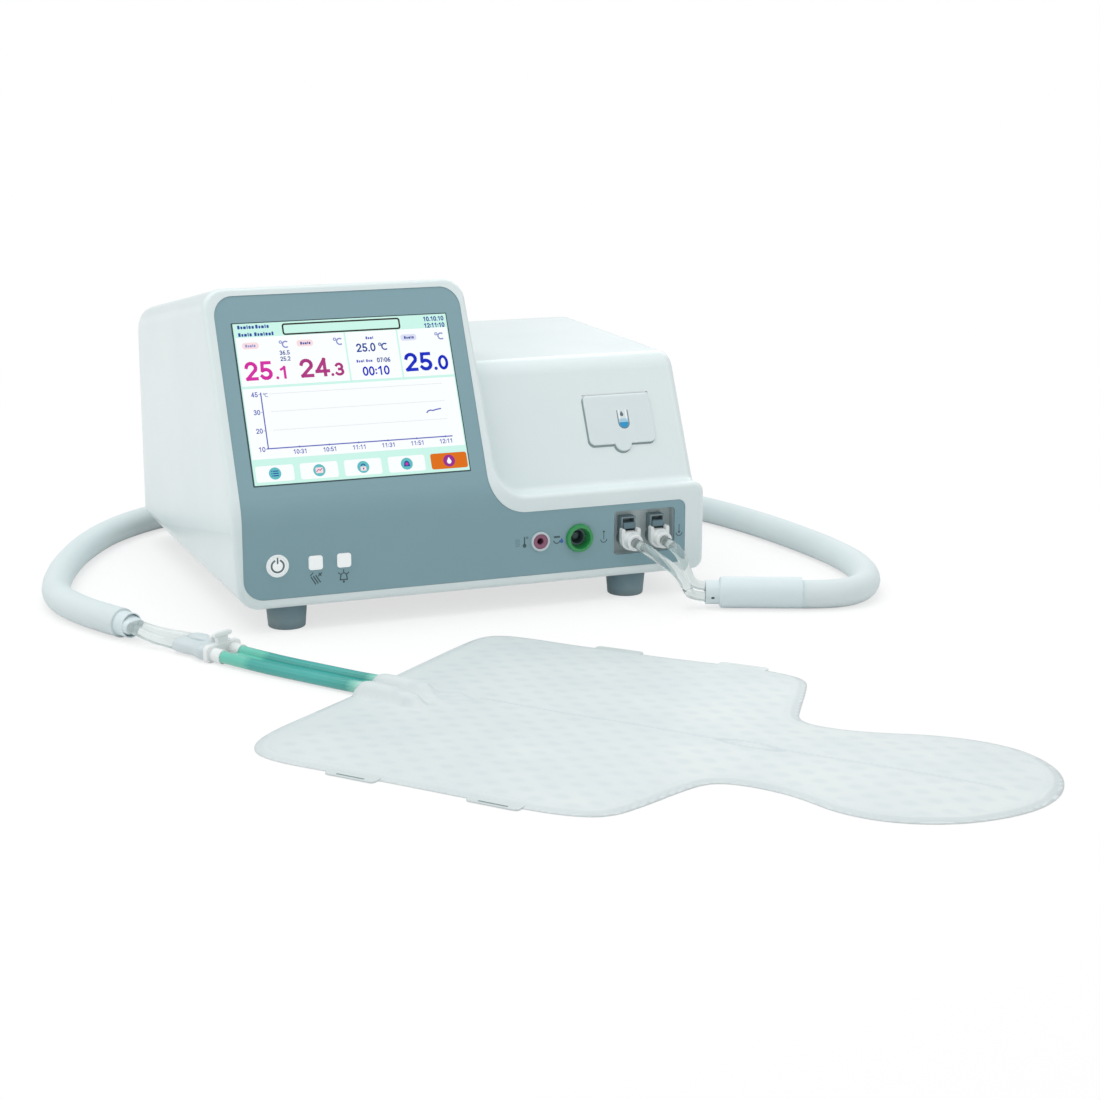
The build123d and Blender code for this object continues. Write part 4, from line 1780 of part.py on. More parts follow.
# Clear tubes between the hose's other end and the connector
connector_axis = Vector(*CONNECTOR_AXIS, 0).normalized()
connector_start = (CONNECTOR_X, CONNECTOR_Y)
connector_level = CONNECTOR_HEIGHT / 2
hose_end = HOSE_ROUTE[-1]
front_points = [
    raised(along(hose_end, collar_axis, COLLAR_FLOOR, -TUBE_SPREAD / 2), hose_level),
    raised(along(hose_end, collar_axis, COLLAR_FLOOR + COLLAR_RUN, -TUBE_SPREAD / 2), hose_level),
    *[at(*point) for point in FRONT_PAIR_ROUTE],
    raised(along(connector_start, connector_axis, -PAIR_RUN, -PAIR_SPACING / 2), connector_level),
    raised(along(connector_start, connector_axis, 0, -PAIR_SPACING / 2), connector_level),
]
with BuildPart() as connector_supply_tube:
    with BuildLine() as tube_line:
        FilletPolyline(*front_points, radius=bend_radii("connector_supply_tube", front_points))
    with BuildSketch(Plane(origin=front_points[0], z_dir=front_points[1] - front_points[0])):
        Circle(TUBE_DIAMETER / 2)
    sweep(path=tube_line.line)
connector_supply_tube.part.label = "connector_supply_tube"
export_step(connector_supply_tube.part, "parts/connector_supply_tube.step")

back_points = [
    raised(along(hose_end, collar_axis, COLLAR_FLOOR, TUBE_SPREAD / 2), hose_level),
    raised(along(hose_end, collar_axis, COLLAR_FLOOR + COLLAR_RUN, TUBE_SPREAD / 2), hose_level),
    *[at(*point) for point in BACK_PAIR_ROUTE],
    raised(along(connector_start, connector_axis, -PAIR_RUN, PAIR_SPACING / 2), connector_level),
    raised(along(connector_start, connector_axis, 0, PAIR_SPACING / 2), connector_level),
]
with BuildPart() as connector_return_tube:
    with BuildLine() as tube_line:
        FilletPolyline(*back_points, radius=bend_radii("connector_return_tube", back_points))
    with BuildSketch(Plane(origin=back_points[0], z_dir=back_points[1] - back_points[0])):
        Circle(TUBE_DIAMETER / 2)
    sweep(path=tube_line.line)
connector_return_tube.part.label = "connector_return_tube"
export_step(connector_return_tube.part, "parts/connector_return_tube.step")

# Twin connector: grey hose half, white blanket half with two nipples and a release tab
connector_plane = Plane(origin=at(*connector_start, 0), x_dir=connector_axis, z_dir=(0, 0, 1))
shoulder_start = CONNECTOR_LENGTH - SHOULDER_LENGTH
with BuildPart() as hose_connector:
    with BuildSketch(connector_plane):
        with BuildLine():
            FilletPolyline(
                (0, -CONNECTOR_WIDTH / 2), (shoulder_start, -CONNECTOR_WIDTH / 2),
                (shoulder_start + 4, -CONNECTOR_SHOULDER / 2), (CONNECTOR_LENGTH, -CONNECTOR_SHOULDER / 2),
                (CONNECTOR_LENGTH, CONNECTOR_SHOULDER / 2), (shoulder_start + 4, CONNECTOR_SHOULDER / 2),
                (shoulder_start, CONNECTOR_WIDTH / 2), (0, CONNECTOR_WIDTH / 2),
                radius=[6, 2, 2, 0, 0, 2, 2, 6], close=True,
            )
        make_face()
    extrude(amount=CONNECTOR_HEIGHT)
    fillet(hose_connector.faces().sort_by(Axis.Z)[-1].edges(), 1.8)
    with BuildSketch(connector_plane.offset(CONNECTOR_HEIGHT)):
        with Locations((12, 0)):
            SlotOverall(14, 3, rotation=90)
    extrude(amount=-0.8, mode=Mode.SUBTRACT)
hose_connector.part.label = "hose_connector"
export_step(hose_connector.part, "parts/hose_connector.step")

face_front = raised(along(connector_start, connector_axis, CONNECTOR_LENGTH), 0)
across_connector = Plane(
    origin=face_front, x_dir=(-connector_axis.Y, connector_axis.X, 0), z_dir=connector_axis
)
plate_height = CONNECTOR_HEIGHT + 2
with BuildPart() as blanket_connector:
    with BuildSketch(across_connector):
        with Locations((0, plate_height / 2)):
            RectangleRounded(CONNECTOR_SHOULDER, plate_height, 5)
    extrude(amount=FACE_PLATE)
    fillet(blanket_connector.faces().sort_by(Axis(face_front, connector_axis))[-1].edges(), 1)
    with BuildSketch(across_connector):
        with Locations((0, plate_height - 1 + RELEASE_HEIGHT / 2)):
            RectangleRounded(RELEASE_WIDTH, RELEASE_HEIGHT + 2, 2)
    extrude(amount=RELEASE_THICKNESS)
    with BuildSketch(across_connector.offset(FACE_PLATE)):
        with Locations((-PAIR_SPACING / 2, connector_level), (PAIR_SPACING / 2, connector_level)):
            Circle(NIPPLE_DIAMETER / 2)
    extrude(amount=NIPPLE_LENGTH)
blanket_connector.part.label = "blanket_connector"
export_step(blanket_connector.part, "parts/blanket_connector.step")

# Twin band of the blanket: two tubes side by side and the web between them
band_start = CONNECTOR_LENGTH + FACE_PLATE + NIPPLE_LENGTH
band_points = [
    raised(along(connector_start, connector_axis, band_start), connector_level),
    raised(along(connector_start, connector_axis, band_start + BAND_RUN), connector_level),
    *[at(*point) for point in BAND_ROUTE],
]


def beside_band(side):
    """Route of one tube of the band, this far to the left of the band's middle."""
    route = []
    for number, point in enumerate(band_points):
        before = band_points[max(number - 1, 0)]
        after = band_points[min(number + 1, len(band_points) - 1)]
        arriving = Vector(point.X - before.X, point.Y - before.Y, 0) if number else None
        leaving = Vector(after.X - point.X, after.Y - point.Y, 0) if after is not point else arriving
        arriving = (arriving or leaving).normalized()
        leaving = leaving.normalized()
        middle = (arriving + leaving).normalized()
        reach = side / middle.dot(arriving)
        route.append(Vector(point.X - middle.Y * reach, point.Y + middle.X * reach, point.Z))
    return route


front_band = beside_band(-PAIR_SPACING / 2) + [at(*point) for point in FRONT_END_ROUTE]
with BuildPart() as blanket_supply_tube:
    with BuildLine() as tube_line:
        FilletPolyline(*front_band, radius=bend_radii("blanket_supply_tube", front_band))
    with BuildSketch(Plane(origin=front_band[0], z_dir=front_band[1] - front_band[0])):
        Circle(BLANKET_TUBE_DIAMETER / 2)
    sweep(path=tube_line.line)
blanket_supply_tube.part.label = "blanket_supply_tube"
export_step(blanket_supply_tube.part, "parts/blanket_supply_tube.step")

back_band = beside_band(PAIR_SPACING / 2) + [at(*point) for point in BACK_END_ROUTE]
with BuildPart() as blanket_return_tube:
    with BuildLine() as tube_line:
        FilletPolyline(*back_band, radius=bend_radii("blanket_return_tube", back_band))
    with BuildSketch(Plane(origin=back_band[0], z_dir=back_band[1] - back_band[0])):
        Circle(BLANKET_TUBE_DIAMETER / 2)
    sweep(path=tube_line.line)
blanket_return_tube.part.label = "blanket_return_tube"
export_step(blanket_return_tube.part, "parts/blanket_return_tube.step")

web_half = (PAIR_SPACING - BLANKET_TUBE_DIAMETER) / 2 - FIT
web_heading = band_points[-1] - band_points[0]
web_heading = Vector(web_heading.X, web_heading.Y, 0).normalized()
web_side = Plane(
    origin=raised(along(connector_start, connector_axis, band_start), 0), x_dir=web_heading,
    z_dir=web_heading.cross(Vector(0, 0, 1)),
)
web_profile = [
    ((point - web_side.origin).dot(web_heading), point.Z) for point in band_points
]
with BuildPart() as blanket_tube_web:
    with BuildSketch(Plane.XY):
        with BuildLine():
            Polyline(
                *[(point.X, point.Y) for point in beside_band(web_half)],
                *[(point.X, point.Y) for point in reversed(beside_band(-web_half))],
                close=True,
            )
        make_face()
    extrude(amount=2 * CONNECTOR_HEIGHT)
    with BuildSketch(web_side):
        with BuildLine():
            Polyline(
                (-10, web_profile[0][1] - WEB_THICKNESS / 2),
                *[(reach, z - WEB_THICKNESS / 2) for reach, z in web_profile],
                (web_profile[-1][0] + 10, web_profile[-1][1] - WEB_THICKNESS / 2),
                (web_profile[-1][0] + 10, web_profile[-1][1] + WEB_THICKNESS / 2),
                *[(reach, z + WEB_THICKNESS / 2) for reach, z in reversed(web_profile)],
                (-10, web_profile[0][1] + WEB_THICKNESS / 2),
                close=True,
            )
        make_face()
    extrude(amount=2 * PAIR_SPACING, both=True, mode=Mode.INTERSECT)
blanket_tube_web.part.label = "blanket_tube_web"
export_step(blanket_tube_web.part, "parts/blanket_tube_web.step")

# Blanket: a flat welded bag with strap tabs and a short boss round the end of each tube
blanket_plane = Plane(
    origin=at(BLANKET_X, BLANKET_Y, 0), x_dir=(*BLANKET_AXIS, 0), z_dir=(0, 0, 1)
)
with BuildPart() as blanket:
    with BuildSketch(blanket_plane):
        add(blanket_outline)
    extrude(amount=BLANKET_THICKNESS)
    fillet(blanket.faces().sort_by(Axis.Z)[-1].edges(), 3)
    with BuildSketch(blanket_plane):
        for tab_start in TAB_STARTS:
            for side in (-1, 1):
                with Locations((tab_start + TAB_LENGTH / 2, side * (BODY_WIDTH / 2 + TAB_OVERHANG / 2))):
                    SlotOverall(SLOT_LENGTH, SLOT_WIDTH)
    extrude(amount=BLANKET_THICKNESS, mode=Mode.SUBTRACT)
    for band in (front_band, back_band):
        run = (band[-1] - band[-2]).normalized()
        boss_plane = Plane(origin=band[-1], z_dir=Vector(run.X, run.Y, 0))
        with BuildSketch(boss_plane):
            Circle(INLET_BOSS_DIAMETER / 2)
        with BuildSketch(boss_plane.offset(INLET_BOSS_LENGTH)):
            Circle(INLET_BOSS_END / 2)
        loft()
blanket.part.label = "blanket"
export_step(blanket.part, "parts/blanket.step")
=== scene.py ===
"""Looks of a neonatal cooling device: console, insulated hose, twin connector and water blanket."""
import json
import logging
import math
from dataclasses import dataclass
from enum import Enum
from typing import Iterable, Iterator, Sequence

import bmesh
import bpy
import numpy as np
from mathutils import Matrix, Vector
from mathutils.geometry import delaunay_2d_cdt


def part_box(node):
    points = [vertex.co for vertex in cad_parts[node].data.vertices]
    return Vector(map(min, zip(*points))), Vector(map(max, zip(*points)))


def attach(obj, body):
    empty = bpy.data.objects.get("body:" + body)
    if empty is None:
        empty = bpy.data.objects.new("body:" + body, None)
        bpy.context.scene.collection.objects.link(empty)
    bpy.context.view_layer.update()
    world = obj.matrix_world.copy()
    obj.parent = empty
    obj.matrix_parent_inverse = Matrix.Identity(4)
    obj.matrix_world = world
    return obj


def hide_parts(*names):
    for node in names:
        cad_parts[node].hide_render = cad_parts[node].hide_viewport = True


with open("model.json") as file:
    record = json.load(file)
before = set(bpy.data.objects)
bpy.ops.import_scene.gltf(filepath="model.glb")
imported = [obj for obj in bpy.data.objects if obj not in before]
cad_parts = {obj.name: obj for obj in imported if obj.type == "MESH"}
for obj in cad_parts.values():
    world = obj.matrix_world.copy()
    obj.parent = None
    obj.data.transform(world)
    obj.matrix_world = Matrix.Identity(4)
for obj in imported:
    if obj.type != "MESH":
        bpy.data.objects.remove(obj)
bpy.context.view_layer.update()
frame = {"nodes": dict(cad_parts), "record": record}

log = logging.getLogger("cooling_device")

Point2 = tuple[float, float]
Point3 = tuple[float, float, float]
Socket = bpy.types.NodeSocket
Tree = bpy.types.NodeTree
Piece = bpy.types.Object

MM = 0.001
ROOT = "console"
NEAR = 0.02             # metres from a plane within which a node's points count as its face
DUST_COLOUR = "#B9B4A8"
DUST_REACH = 0.06       # metres above the table
WIPE_SCALE = 24.0
WIPE_DULLING = 0.08     # how much rougher a wiped streak is
BUMP_STRENGTH = 0.5
COAT_ROUGHNESS = 0.12
DISPLAY_POWER = 0.78
DISPLAY_OWN = 0.25      # share of its colour that an unlit display would show
DISPLAY_DIMMER = (0.85, 0.88, 0.9)


class Grain(Enum):
    """Texture that the making of a surface leaves on it."""

    MOULDED = "moulded"
    BRUSHED = "brushed"
    FOAM = "foam"
    CREASED = "creased"


def linear(code: str) -> tuple[float, float, float, float]:
    """Turns a written colour into the renderer's linear values.

    Args:
        code: Six hexadecimal digits after a hash sign.

    Returns:
        Linear red, green and blue, and 1 for full cover.
    """
    parts = [int(code[k:k + 2], 16) / 255 for k in (1, 3, 5)]
    red, green, blue = (c / 12.92 if c <= 0.04045 else ((c + 0.055) / 1.055) ** 2.4 for c in parts)
    return red, green, blue, 1.0


def framed(columns: Sequence[Sequence[float]], place: Sequence[float]) -> Matrix:
    """A place in the scene with directions of its own.

    Args:
        columns: Its x, y and z, as unit directions of the scene.
        place: Its origin in metres.

    Returns:
        The matrix that carries its own points into the scene.
    """
    rows = [(*(column[row] for column in columns), place[row]) for row in range(3)]
    return Matrix([*rows, (0, 0, 0, 1)])


def as_piece(name: str, mesh: bmesh.types.BMesh, smooth: bool = True) -> Piece:
    """Makes an object of a mesh and frees the working copy.

    Args:
        name: Name of the piece.
        mesh: The working mesh.
        smooth: Whether its faces are shaded smooth.

    Returns:
        The new object, in the scene.
    """
    data = bpy.data.meshes.new(name)
    mesh.to_mesh(data)
    mesh.free()
    data.polygons.foreach_set("use_smooth", [smooth] * len(data.polygons))
    piece = bpy.data.objects.new(name, data)
    bpy.context.scene.collection.objects.link(piece)
    log.info("%s: %d faces", name, len(data.polygons))
    return piece


def skin(mesh: bmesh.types.BMesh, rings: Sequence[Sequence[bmesh.types.BMVert]]) -> None:
    """Joins rings of points one to the next, closes both ends and turns every face outward."""
    count = len(rings[0])
    for first, second in zip(rings, rings[1:]):
        for k in range(count):
            n = (k + 1) % count
            mesh.faces.new((first[k], first[n], second[n], second[k]))
    mesh.faces.new(rings[0][::-1])
    mesh.faces.new(rings[-1])
    bmesh.ops.recalc_face_normals(mesh, faces=mesh.faces)


def smooth_curve(name: str, route: Sequence[Point3], fineness: int) -> Piece:
    """Lays one smooth curve.

    Args:
        name: Name of the curve.
        route: Its control points in metres; it starts and ends on the first and the last.
        fineness: Steps from each point to the next.

    Returns:
        The curve's object, in the scene.
    """
    curve = bpy.data.curves.new(name, "CURVE")
    curve.dimensions = "3D"
    spline = curve.splines.new("NURBS")
    spline.points.add(len(route) - 1)
    for point, place in zip(spline.points, route):
        point.co = (*place, 1.0)
    spline.order_u = 3
    spline.use_endpoint_u = True
    curve.resolution_u = fineness
    made = bpy.data.objects.new(name, curve)
    bpy.context.scene.collection.objects.link(made)
    return made


class Sheet:
    """A node tree, with one short call that adds a node and joins its sockets."""

    def __init__(self, tree: Tree) -> None:
        """Keeps the tree that nodes are added to."""
        self.tree = tree

    def add(self, kind: str, inputs: dict | None = None, **settings: object) -> bpy.types.Node:
        """Adds one node.

        Args:
            kind: Blender's name for the node type.
            inputs: A value or an output socket for each input, by its name or number.
            settings: Properties of the node, set before its sockets.

        Returns:
            The new node.
        """
        node = self.tree.nodes.new(kind)
        for name, value in settings.items():
            setattr(node, name, value)
        for name, value in (inputs or {}).items():
            if isinstance(value, Socket):
                self.tree.links.new(value, node.inputs[name])
            else:
                node.inputs[name].default_value = value
        return node

    def effect(self, group: Tree, inputs: dict) -> Socket:
        """Places one of the shared effects with its own values, and gives its result."""
        return self.add("ShaderNodeGroup", inputs, node_tree=group).outputs[0]

    def joined(self, operation: str, first: object, second: object, **settings: object) -> Socket:
        """Adds, multiplies or otherwise joins two values."""
        return self.add("ShaderNodeMath", {0: first, 1: second}, operation=operation, **settings).outputs[0]

    def ranged(self, value: Socket, low: object = 0.0, high: object = 1.0, start: object = 0.0,
               end: object = 1.0, **settings: object) -> Socket:
        """Carries a value from the range low to high over to the range start to end."""
        return self.add("ShaderNodeMapRange", {
            "Value": value, "From Min": low, "From Max": high, "To Min": start, "To Max": end},
            **settings).outputs["Result"]

    def mixed(self, share: object, first: object, second: object) -> Socket:
        """Mixes two colours by a share.

        Args:
            share: Value or socket from 0, all of the first, to 1, all of the second.
            first: Colour or socket.
            second: Colour or socket.

        Returns:
            The mixed colour's socket.
        """
        return self.add("ShaderNodeMix", {0: share, 6: first, 7: second}, data_type="RGBA").outputs[2]


def fresh_material(name: str) -> tuple[bpy.types.Material, Sheet]:
    """Starts a material with no nodes, and the sheet to fill it."""
    made = bpy.data.materials.new(name)
    made.use_nodes = True
    made.node_tree.nodes.clear()
    return made, Sheet(made.node_tree)


class Group(Sheet):
    """A shared effect: a node group with a place, some numbers and one result."""

    def __init__(self, name: str, result: str, inputs: dict[str, float]) -> None:
        """Starts the group.

        Args:
            name: The group's name.
            result: Name of its one output.
            inputs: Default of each number input; a Vector input is always there.
        """
        super().__init__(bpy.data.node_groups.new(name, "ShaderNodeTree"))
        face = self.tree.interface
        face.new_socket(name="Vector", in_out="INPUT", socket_type="NodeSocketVector")
        for key, value in inputs.items():
            face.new_socket(name=key, in_out="INPUT", socket_type="NodeSocketFloat").default_value = value
        face.new_socket(name=result, in_out="OUTPUT", socket_type="NodeSocketFloat")
        self.given = self.add("NodeGroupInput").outputs
        self.result = self.add("NodeGroupOutput").inputs[result]

    def noise(self, detail: float, place: Socket | None = None, scale: float | None = None,
              **more: float) -> Socket:
        """Cloudy noise, at the group's own place and scale where no other is given."""
        return self.add("ShaderNodeTexNoise", {
            "Vector": self.given["Vector"] if place is None else place,
            "Scale": self.given["Scale"] if scale is None else scale,
            "Detail": detail, **more}).outputs["Fac"]

    def cells(self, feature: str) -> Socket:
        """Distance to the middles of small cells, at the group's own place and scale."""
        spread = self.add("ShaderNodeTexVoronoi", {
            "Vector": self.given["Vector"], "Scale": self.given["Scale"]}, feature=feature)
        return spread.outputs["Distance"]

    def drawn(self, scale: Point3, turn: Point3 = (0.0, 0.0, 0.0)) -> Socket:
        """The group's place, stretched along its axes and turned."""
        return self.add("ShaderNodeMapping", {
            "Vector": self.given["Vector"], "Rotation": turn, "Scale": scale}).outputs["Vector"]

    def ended(self, value: Socket) -> Tree:
        """Sends the value out as the group's result, and gives the finished group."""
        self.tree.links.new(value, self.result)
        return self.tree


class Effects:
    """The shared effects, each a node group that is built once and used by many finishes."""

    def __init__(self) -> None:
        """Builds every effect."""
        self.mottle = self._mottle()
        self.soil = self._soil()
        self.scuff = self._scuff()
        self.grains = {Grain.MOULDED: self._moulded(), Grain.BRUSHED: self._brushed(),
                       Grain.FOAM: self._foam(), Grain.CREASED: self._creased()}

    @staticmethod
    def _mottle() -> Tree:
        """Soft cloudy unevenness of colour and gloss, between two values."""
        group = Group("mottle", "Value", {"Scale": 12.0, "Low": 0.0, "High": 1.0})
        noise = group.noise(3.0, Roughness=0.55)
        return group.ended(group.ranged(noise, 0.3, 0.7, group.given["Low"], group.given["High"]))

    @staticmethod
    def _moulded() -> Tree:
        """Fine spark-eroded grain of moulded plastic, as a height."""
        group = Group("moulded_grain", "Height", {"Scale": 900.0})
        return group.ended(group.joined("ADD", group.noise(2.0), group.cells("F1")))

    @staticmethod
    def _brushed() -> Tree:
        """Fine parallel lines of rolled or brushed metal, as a height."""
        group = Group("brushed_lines", "Height", {"Scale": 500.0})
        return group.ended(group.noise(3.0, group.drawn((0.02, 1.0, 1.0))))

    @staticmethod
    def _foam() -> Tree:
        """Closed-cell foam skin: small soft cells on a slow swell, as a height."""
        group = Group("foam_skin", "Height", {"Scale": 420.0})
        return group.ended(group.joined("ADD", group.cells("SMOOTH_F1"), group.noise(2.0, scale=60.0)))

    @staticmethod
    def _creased() -> Tree:
        """Soft crinkles of thin welded film, as a height."""
        group = Group("film_crinkle", "Height", {"Scale": 28.0})
        folds = group.noise(4.0, Roughness=0.5, Distortion=1.1)
        faint = group.joined("MULTIPLY", group.noise(2.0, scale=260.0), 0.12)
        return group.ended(group.joined("ADD", folds, faint))

    @staticmethod
    def _soil() -> Tree:
        """Faint dust that gathers low down, near what the device stands on."""
        group = Group("table_dust", "Mask", {"Reach": 0.05})
        height = group.add("ShaderNodeSeparateXYZ", {"Vector": group.given["Vector"]}).outputs["Z"]
        low = group.ranged(height, 0.0, group.given["Reach"], 1.0, 0.0)
        return group.ended(group.joined("MULTIPLY", low, group.noise(4.0, scale=45.0)))

    @staticmethod
    def _scuff() -> Tree:
        """Sparse short wipe marks, as a mask."""
        group = Group("wipe_marks", "Mask", {"Scale": 30.0})
        marks = group.noise(5.0, group.drawn((1.0, 7.0, 3.0), (0.3, 0.5, 0.7)), Distortion=0.4)
        return group.ended(group.ranged(marks, 0.6, 0.78))


@dataclass(frozen=True)
class Finish:
    """How one kind of surface looks: its colours, its gloss and the grain that its making leaves."""

    name: str
    colour: str
    second: str
    roughness: float = 0.4
    grain: Grain = Grain.MOULDED
    grain_scale: float = 900.0
    grain_depth: float = 0.00004
    mottle_scale: float = 9.0
    mottle: float = 0.5
    metallic: float = 0.0
    coat: float = 0.0
    dust: float = 0.0
    clear: float = 0.0
    # emission strength; on the keys, the power button and its bezel it is painted light that brightens them
    glow: float = 0.0
    index: float = 1.46
    sheen: float = 0.0

    def clouds(self, sheet: Sheet, effects: Effects, place: Socket) -> Socket:
        """Share of the second colour, in soft clouds."""
        return sheet.effect(effects.mottle, {
            "Vector": place, "Scale": self.mottle_scale, "Low": 0.0, "High": self.mottle})

    def tone(self, sheet: Sheet, effects: Effects, place: Socket) -> Socket:
        """Colour of the bare material: two close tones in soft clouds."""
        return sheet.mixed(self.clouds(sheet, effects, place), linear(self.colour), linear(self.second))

    def relief(self, sheet: Sheet, effects: Effects, place: Socket) -> Socket:
        """Height of the surface's fine texture."""
        return sheet.effect(effects.grains[self.grain], {"Vector": place, "Scale": self.grain_scale})

    def material(self, effects: Effects) -> bpy.types.Material:
        """Builds the finish as a material.

        Args:
            effects: The shared node groups.

        Returns:
            The material, ready to put on a piece.
        """
        made, sheet = fresh_material(self.name)
        place = sheet.add("ShaderNodeTexCoord").outputs["Object"]
        colour = self.tone(sheet, effects, place)
        if self.dust:
            settled = sheet.effect(effects.soil, {"Vector": place, "Reach": DUST_REACH})
            colour = sheet.mixed(sheet.joined("MULTIPLY", settled, self.dust), colour, linear(DUST_COLOUR))
        wiped = sheet.effect(effects.scuff, {"Vector": place, "Scale": WIPE_SCALE})
        dulled = min(self.roughness + WIPE_DULLING, 1.0)
        bump = sheet.add("ShaderNodeBump", {
            "Height": self.relief(sheet, effects, place), "Strength": BUMP_STRENGTH,
            "Distance": self.grain_depth})
        shader = sheet.add("ShaderNodeBsdfPrincipled", {
            "Base Color": colour, "Roughness": sheet.ranged(wiped, start=self.roughness, end=dulled),
            "Metallic": self.metallic, "Coat Weight": self.coat, "Coat Roughness": COAT_ROUGHNESS,
            "IOR": self.index,
            "Sheen Weight": self.sheen, "Transmission Weight": self.clear,
            # for the keys and the power button this emission is painted light
            "Emission Color": linear(self.colour), "Emission Strength": self.glow,
            "Normal": bump.outputs["Normal"]})
        sheet.add("ShaderNodeOutputMaterial", {"Surface": shader.outputs["BSDF"]})
        return made


@dataclass(frozen=True)
class RampFinish(Finish):
    """A finish whose colour changes along one direction of the device."""

    start: Point3 = (0.0, 0.0, 0.0)
    heading: Point3 = (0.0, 0.0, 1.0)
    reach: float = 0.3
    stops: tuple[tuple[float, str], ...] = ()

    def tone(self, sheet: Sheet, effects: Effects, place: Socket) -> Socket:
        """Colour by how far a point lies along the heading, with the same soft clouds."""
        moved = sheet.add("ShaderNodeVectorMath", {0: place, 1: self.start}, operation="SUBTRACT")
        along = sheet.add("ShaderNodeVectorMath", {0: moved.outputs[0], 1: self.heading},
                          operation="DOT_PRODUCT")
        share = sheet.ranged(along.outputs["Value"], 0.0, self.reach)
        ramp = sheet.add("ShaderNodeValToRGB", {"Fac": share})
        marks = ramp.color_ramp.elements
        while len(marks) < len(self.stops):
            marks.new(0.5)
        for mark, (position, colour) in zip(marks, self.stops):
            mark.position = position
            mark.color = linear(colour)
        return sheet.mixed(self.clouds(sheet, effects, place), ramp.outputs["Color"], linear(self.second))


@dataclass(frozen=True)
class FilmFinish(Finish):
    """Pale welded film, a little darker and bluer in its welds than where water lies behind it."""

    welded: str = "#C5D2D7"

    def tone(self, sheet: Sheet, effects: Effects, place: Socket) -> Socket:
        """Film colour, with the weld colour where the mesh marks a weld."""
        weld = sheet.add("ShaderNodeAttribute", attribute_name="weld")
        return sheet.mixed(weld.outputs["Fac"], super().tone(sheet, effects, place), linear(self.welded))


@dataclass(frozen=True)
class LitFinish:
    """One colour of the lit display, which mostly shines and hardly reflects."""

    name: str
    colour: str

    def material(self, effects: Effects) -> bpy.types.Material:
        """Builds the lit colour, with the faint unevenness of a back light."""
        made, sheet = fresh_material(self.name)
        place = sheet.add("ShaderNodeTexCoord").outputs["Object"]
        glow = sheet.effect(effects.mottle, {"Vector": place, "Scale": 6.0, "Low": 0.0, "High": 0.05})
        full = linear(self.colour)
        dimmer = (*(value * share for value, share in zip(full, DISPLAY_DIMMER)), 1.0)
        unlit = (*(value * DISPLAY_OWN for value in full[:3]), 1.0)
        shader = sheet.add("ShaderNodeBsdfPrincipled", {
            "Base Color": unlit, "Roughness": 0.3, "Specular IOR Level": 0.15,
            "Emission Color": sheet.mixed(glow, full, dimmer), "Emission Strength": DISPLAY_POWER})
        sheet.add("ShaderNodeOutputMaterial", {"Surface": shader.outputs["BSDF"]})
        return made


PLASTIC_FINISHES: tuple[Finish, ...] = (
    Finish("shell_white", "#E5F0F1", "#DCE9EA", 0.34, coat=0.25, dust=0.12),
    Finish("panel_grey", "#88A9B2", "#7FA1AB", 0.46, mottle_scale=5.0),
    Finish("grille_white", "#DEE9EA", "#D2DFE0", 0.42),
    # the glow of the power button, its bezel and the keys is painted light that brightens them
    Finish("button_white", "#FCFEFE", "#F6FAFA", 0.3, coat=0.3, glow=0.12),
    Finish("bezel_light", "#F6FAFA", "#ECF2F2", 0.3, coat=0.3, glow=0.06),
    Finish("key_grey", "#FAFDFD", "#F2F7F7", 0.34, coat=0.2, glow=0.12),
    Finish("jack_body", "#3B3237", "#2C2529", 0.5),
    Finish("jack_pink", "#94607A", "#855069", 0.38),
    Finish("ring_pale", "#C9D5D8", "#BCCACE", 0.36, coat=0.2),
    Finish("ring_green", "#2F9A55", "#27864A", 0.33, coat=0.3),
    Finish("core_dark", "#5E7377", "#4D6267", 0.45),
    Finish("port_grey", "#CFDADB", "#C2D0D2", 0.4),
    Finish("coupling_dark", "#82969C", "#74898F", 0.45),
    Finish("latch_slate", "#64808A", "#58747E", 0.36, coat=0.2),
    Finish("plug_white", "#F0F4F4", "#E2E9E9", 0.28, coat=0.4),
    Finish("door_grey", "#DFEAEC", "#D7E4E6", 0.36, coat=0.15),
    Finish("neck_plastic", "#D8DEDE", "#C9D2D2", 0.4),
    Finish("tank_plastic", "#D9E4E6", "#C8D8DB", 0.25, clear=0.35),
    Finish("float_plastic", "#D98A3A", "#C87A2D", 0.4),
    Finish("pump_dark", "#2E3436", "#24292B", 0.5),
    Finish("impeller_plastic", "#C8CFCF", "#B7C0C0", 0.42),
    Finish("module_ceramic", "#E9EAE6", "#DCDED9", 0.6),
    Finish("fan_black", "#1D2021", "#16191A", 0.48),
    Finish("supply_case", "#B9BFC0", "#A7AEAF", 0.42),
    Finish("entry_black", "#202426", "#181B1D", 0.42),
    Finish("board_green", "#1F6B47", "#195A3B", 0.38),
    Finish("display_body", "#2B3033", "#212527", 0.5),
    Finish("connector_grey", "#D3DFE2", "#C6D4D8", 0.36, coat=0.15),
    Finish("connector_white", "#F1F5F5", "#E6ECEC", 0.3, coat=0.35),
    Finish("cuff_white", "#DEEBEE", "#D2E1E5", 0.46),
)
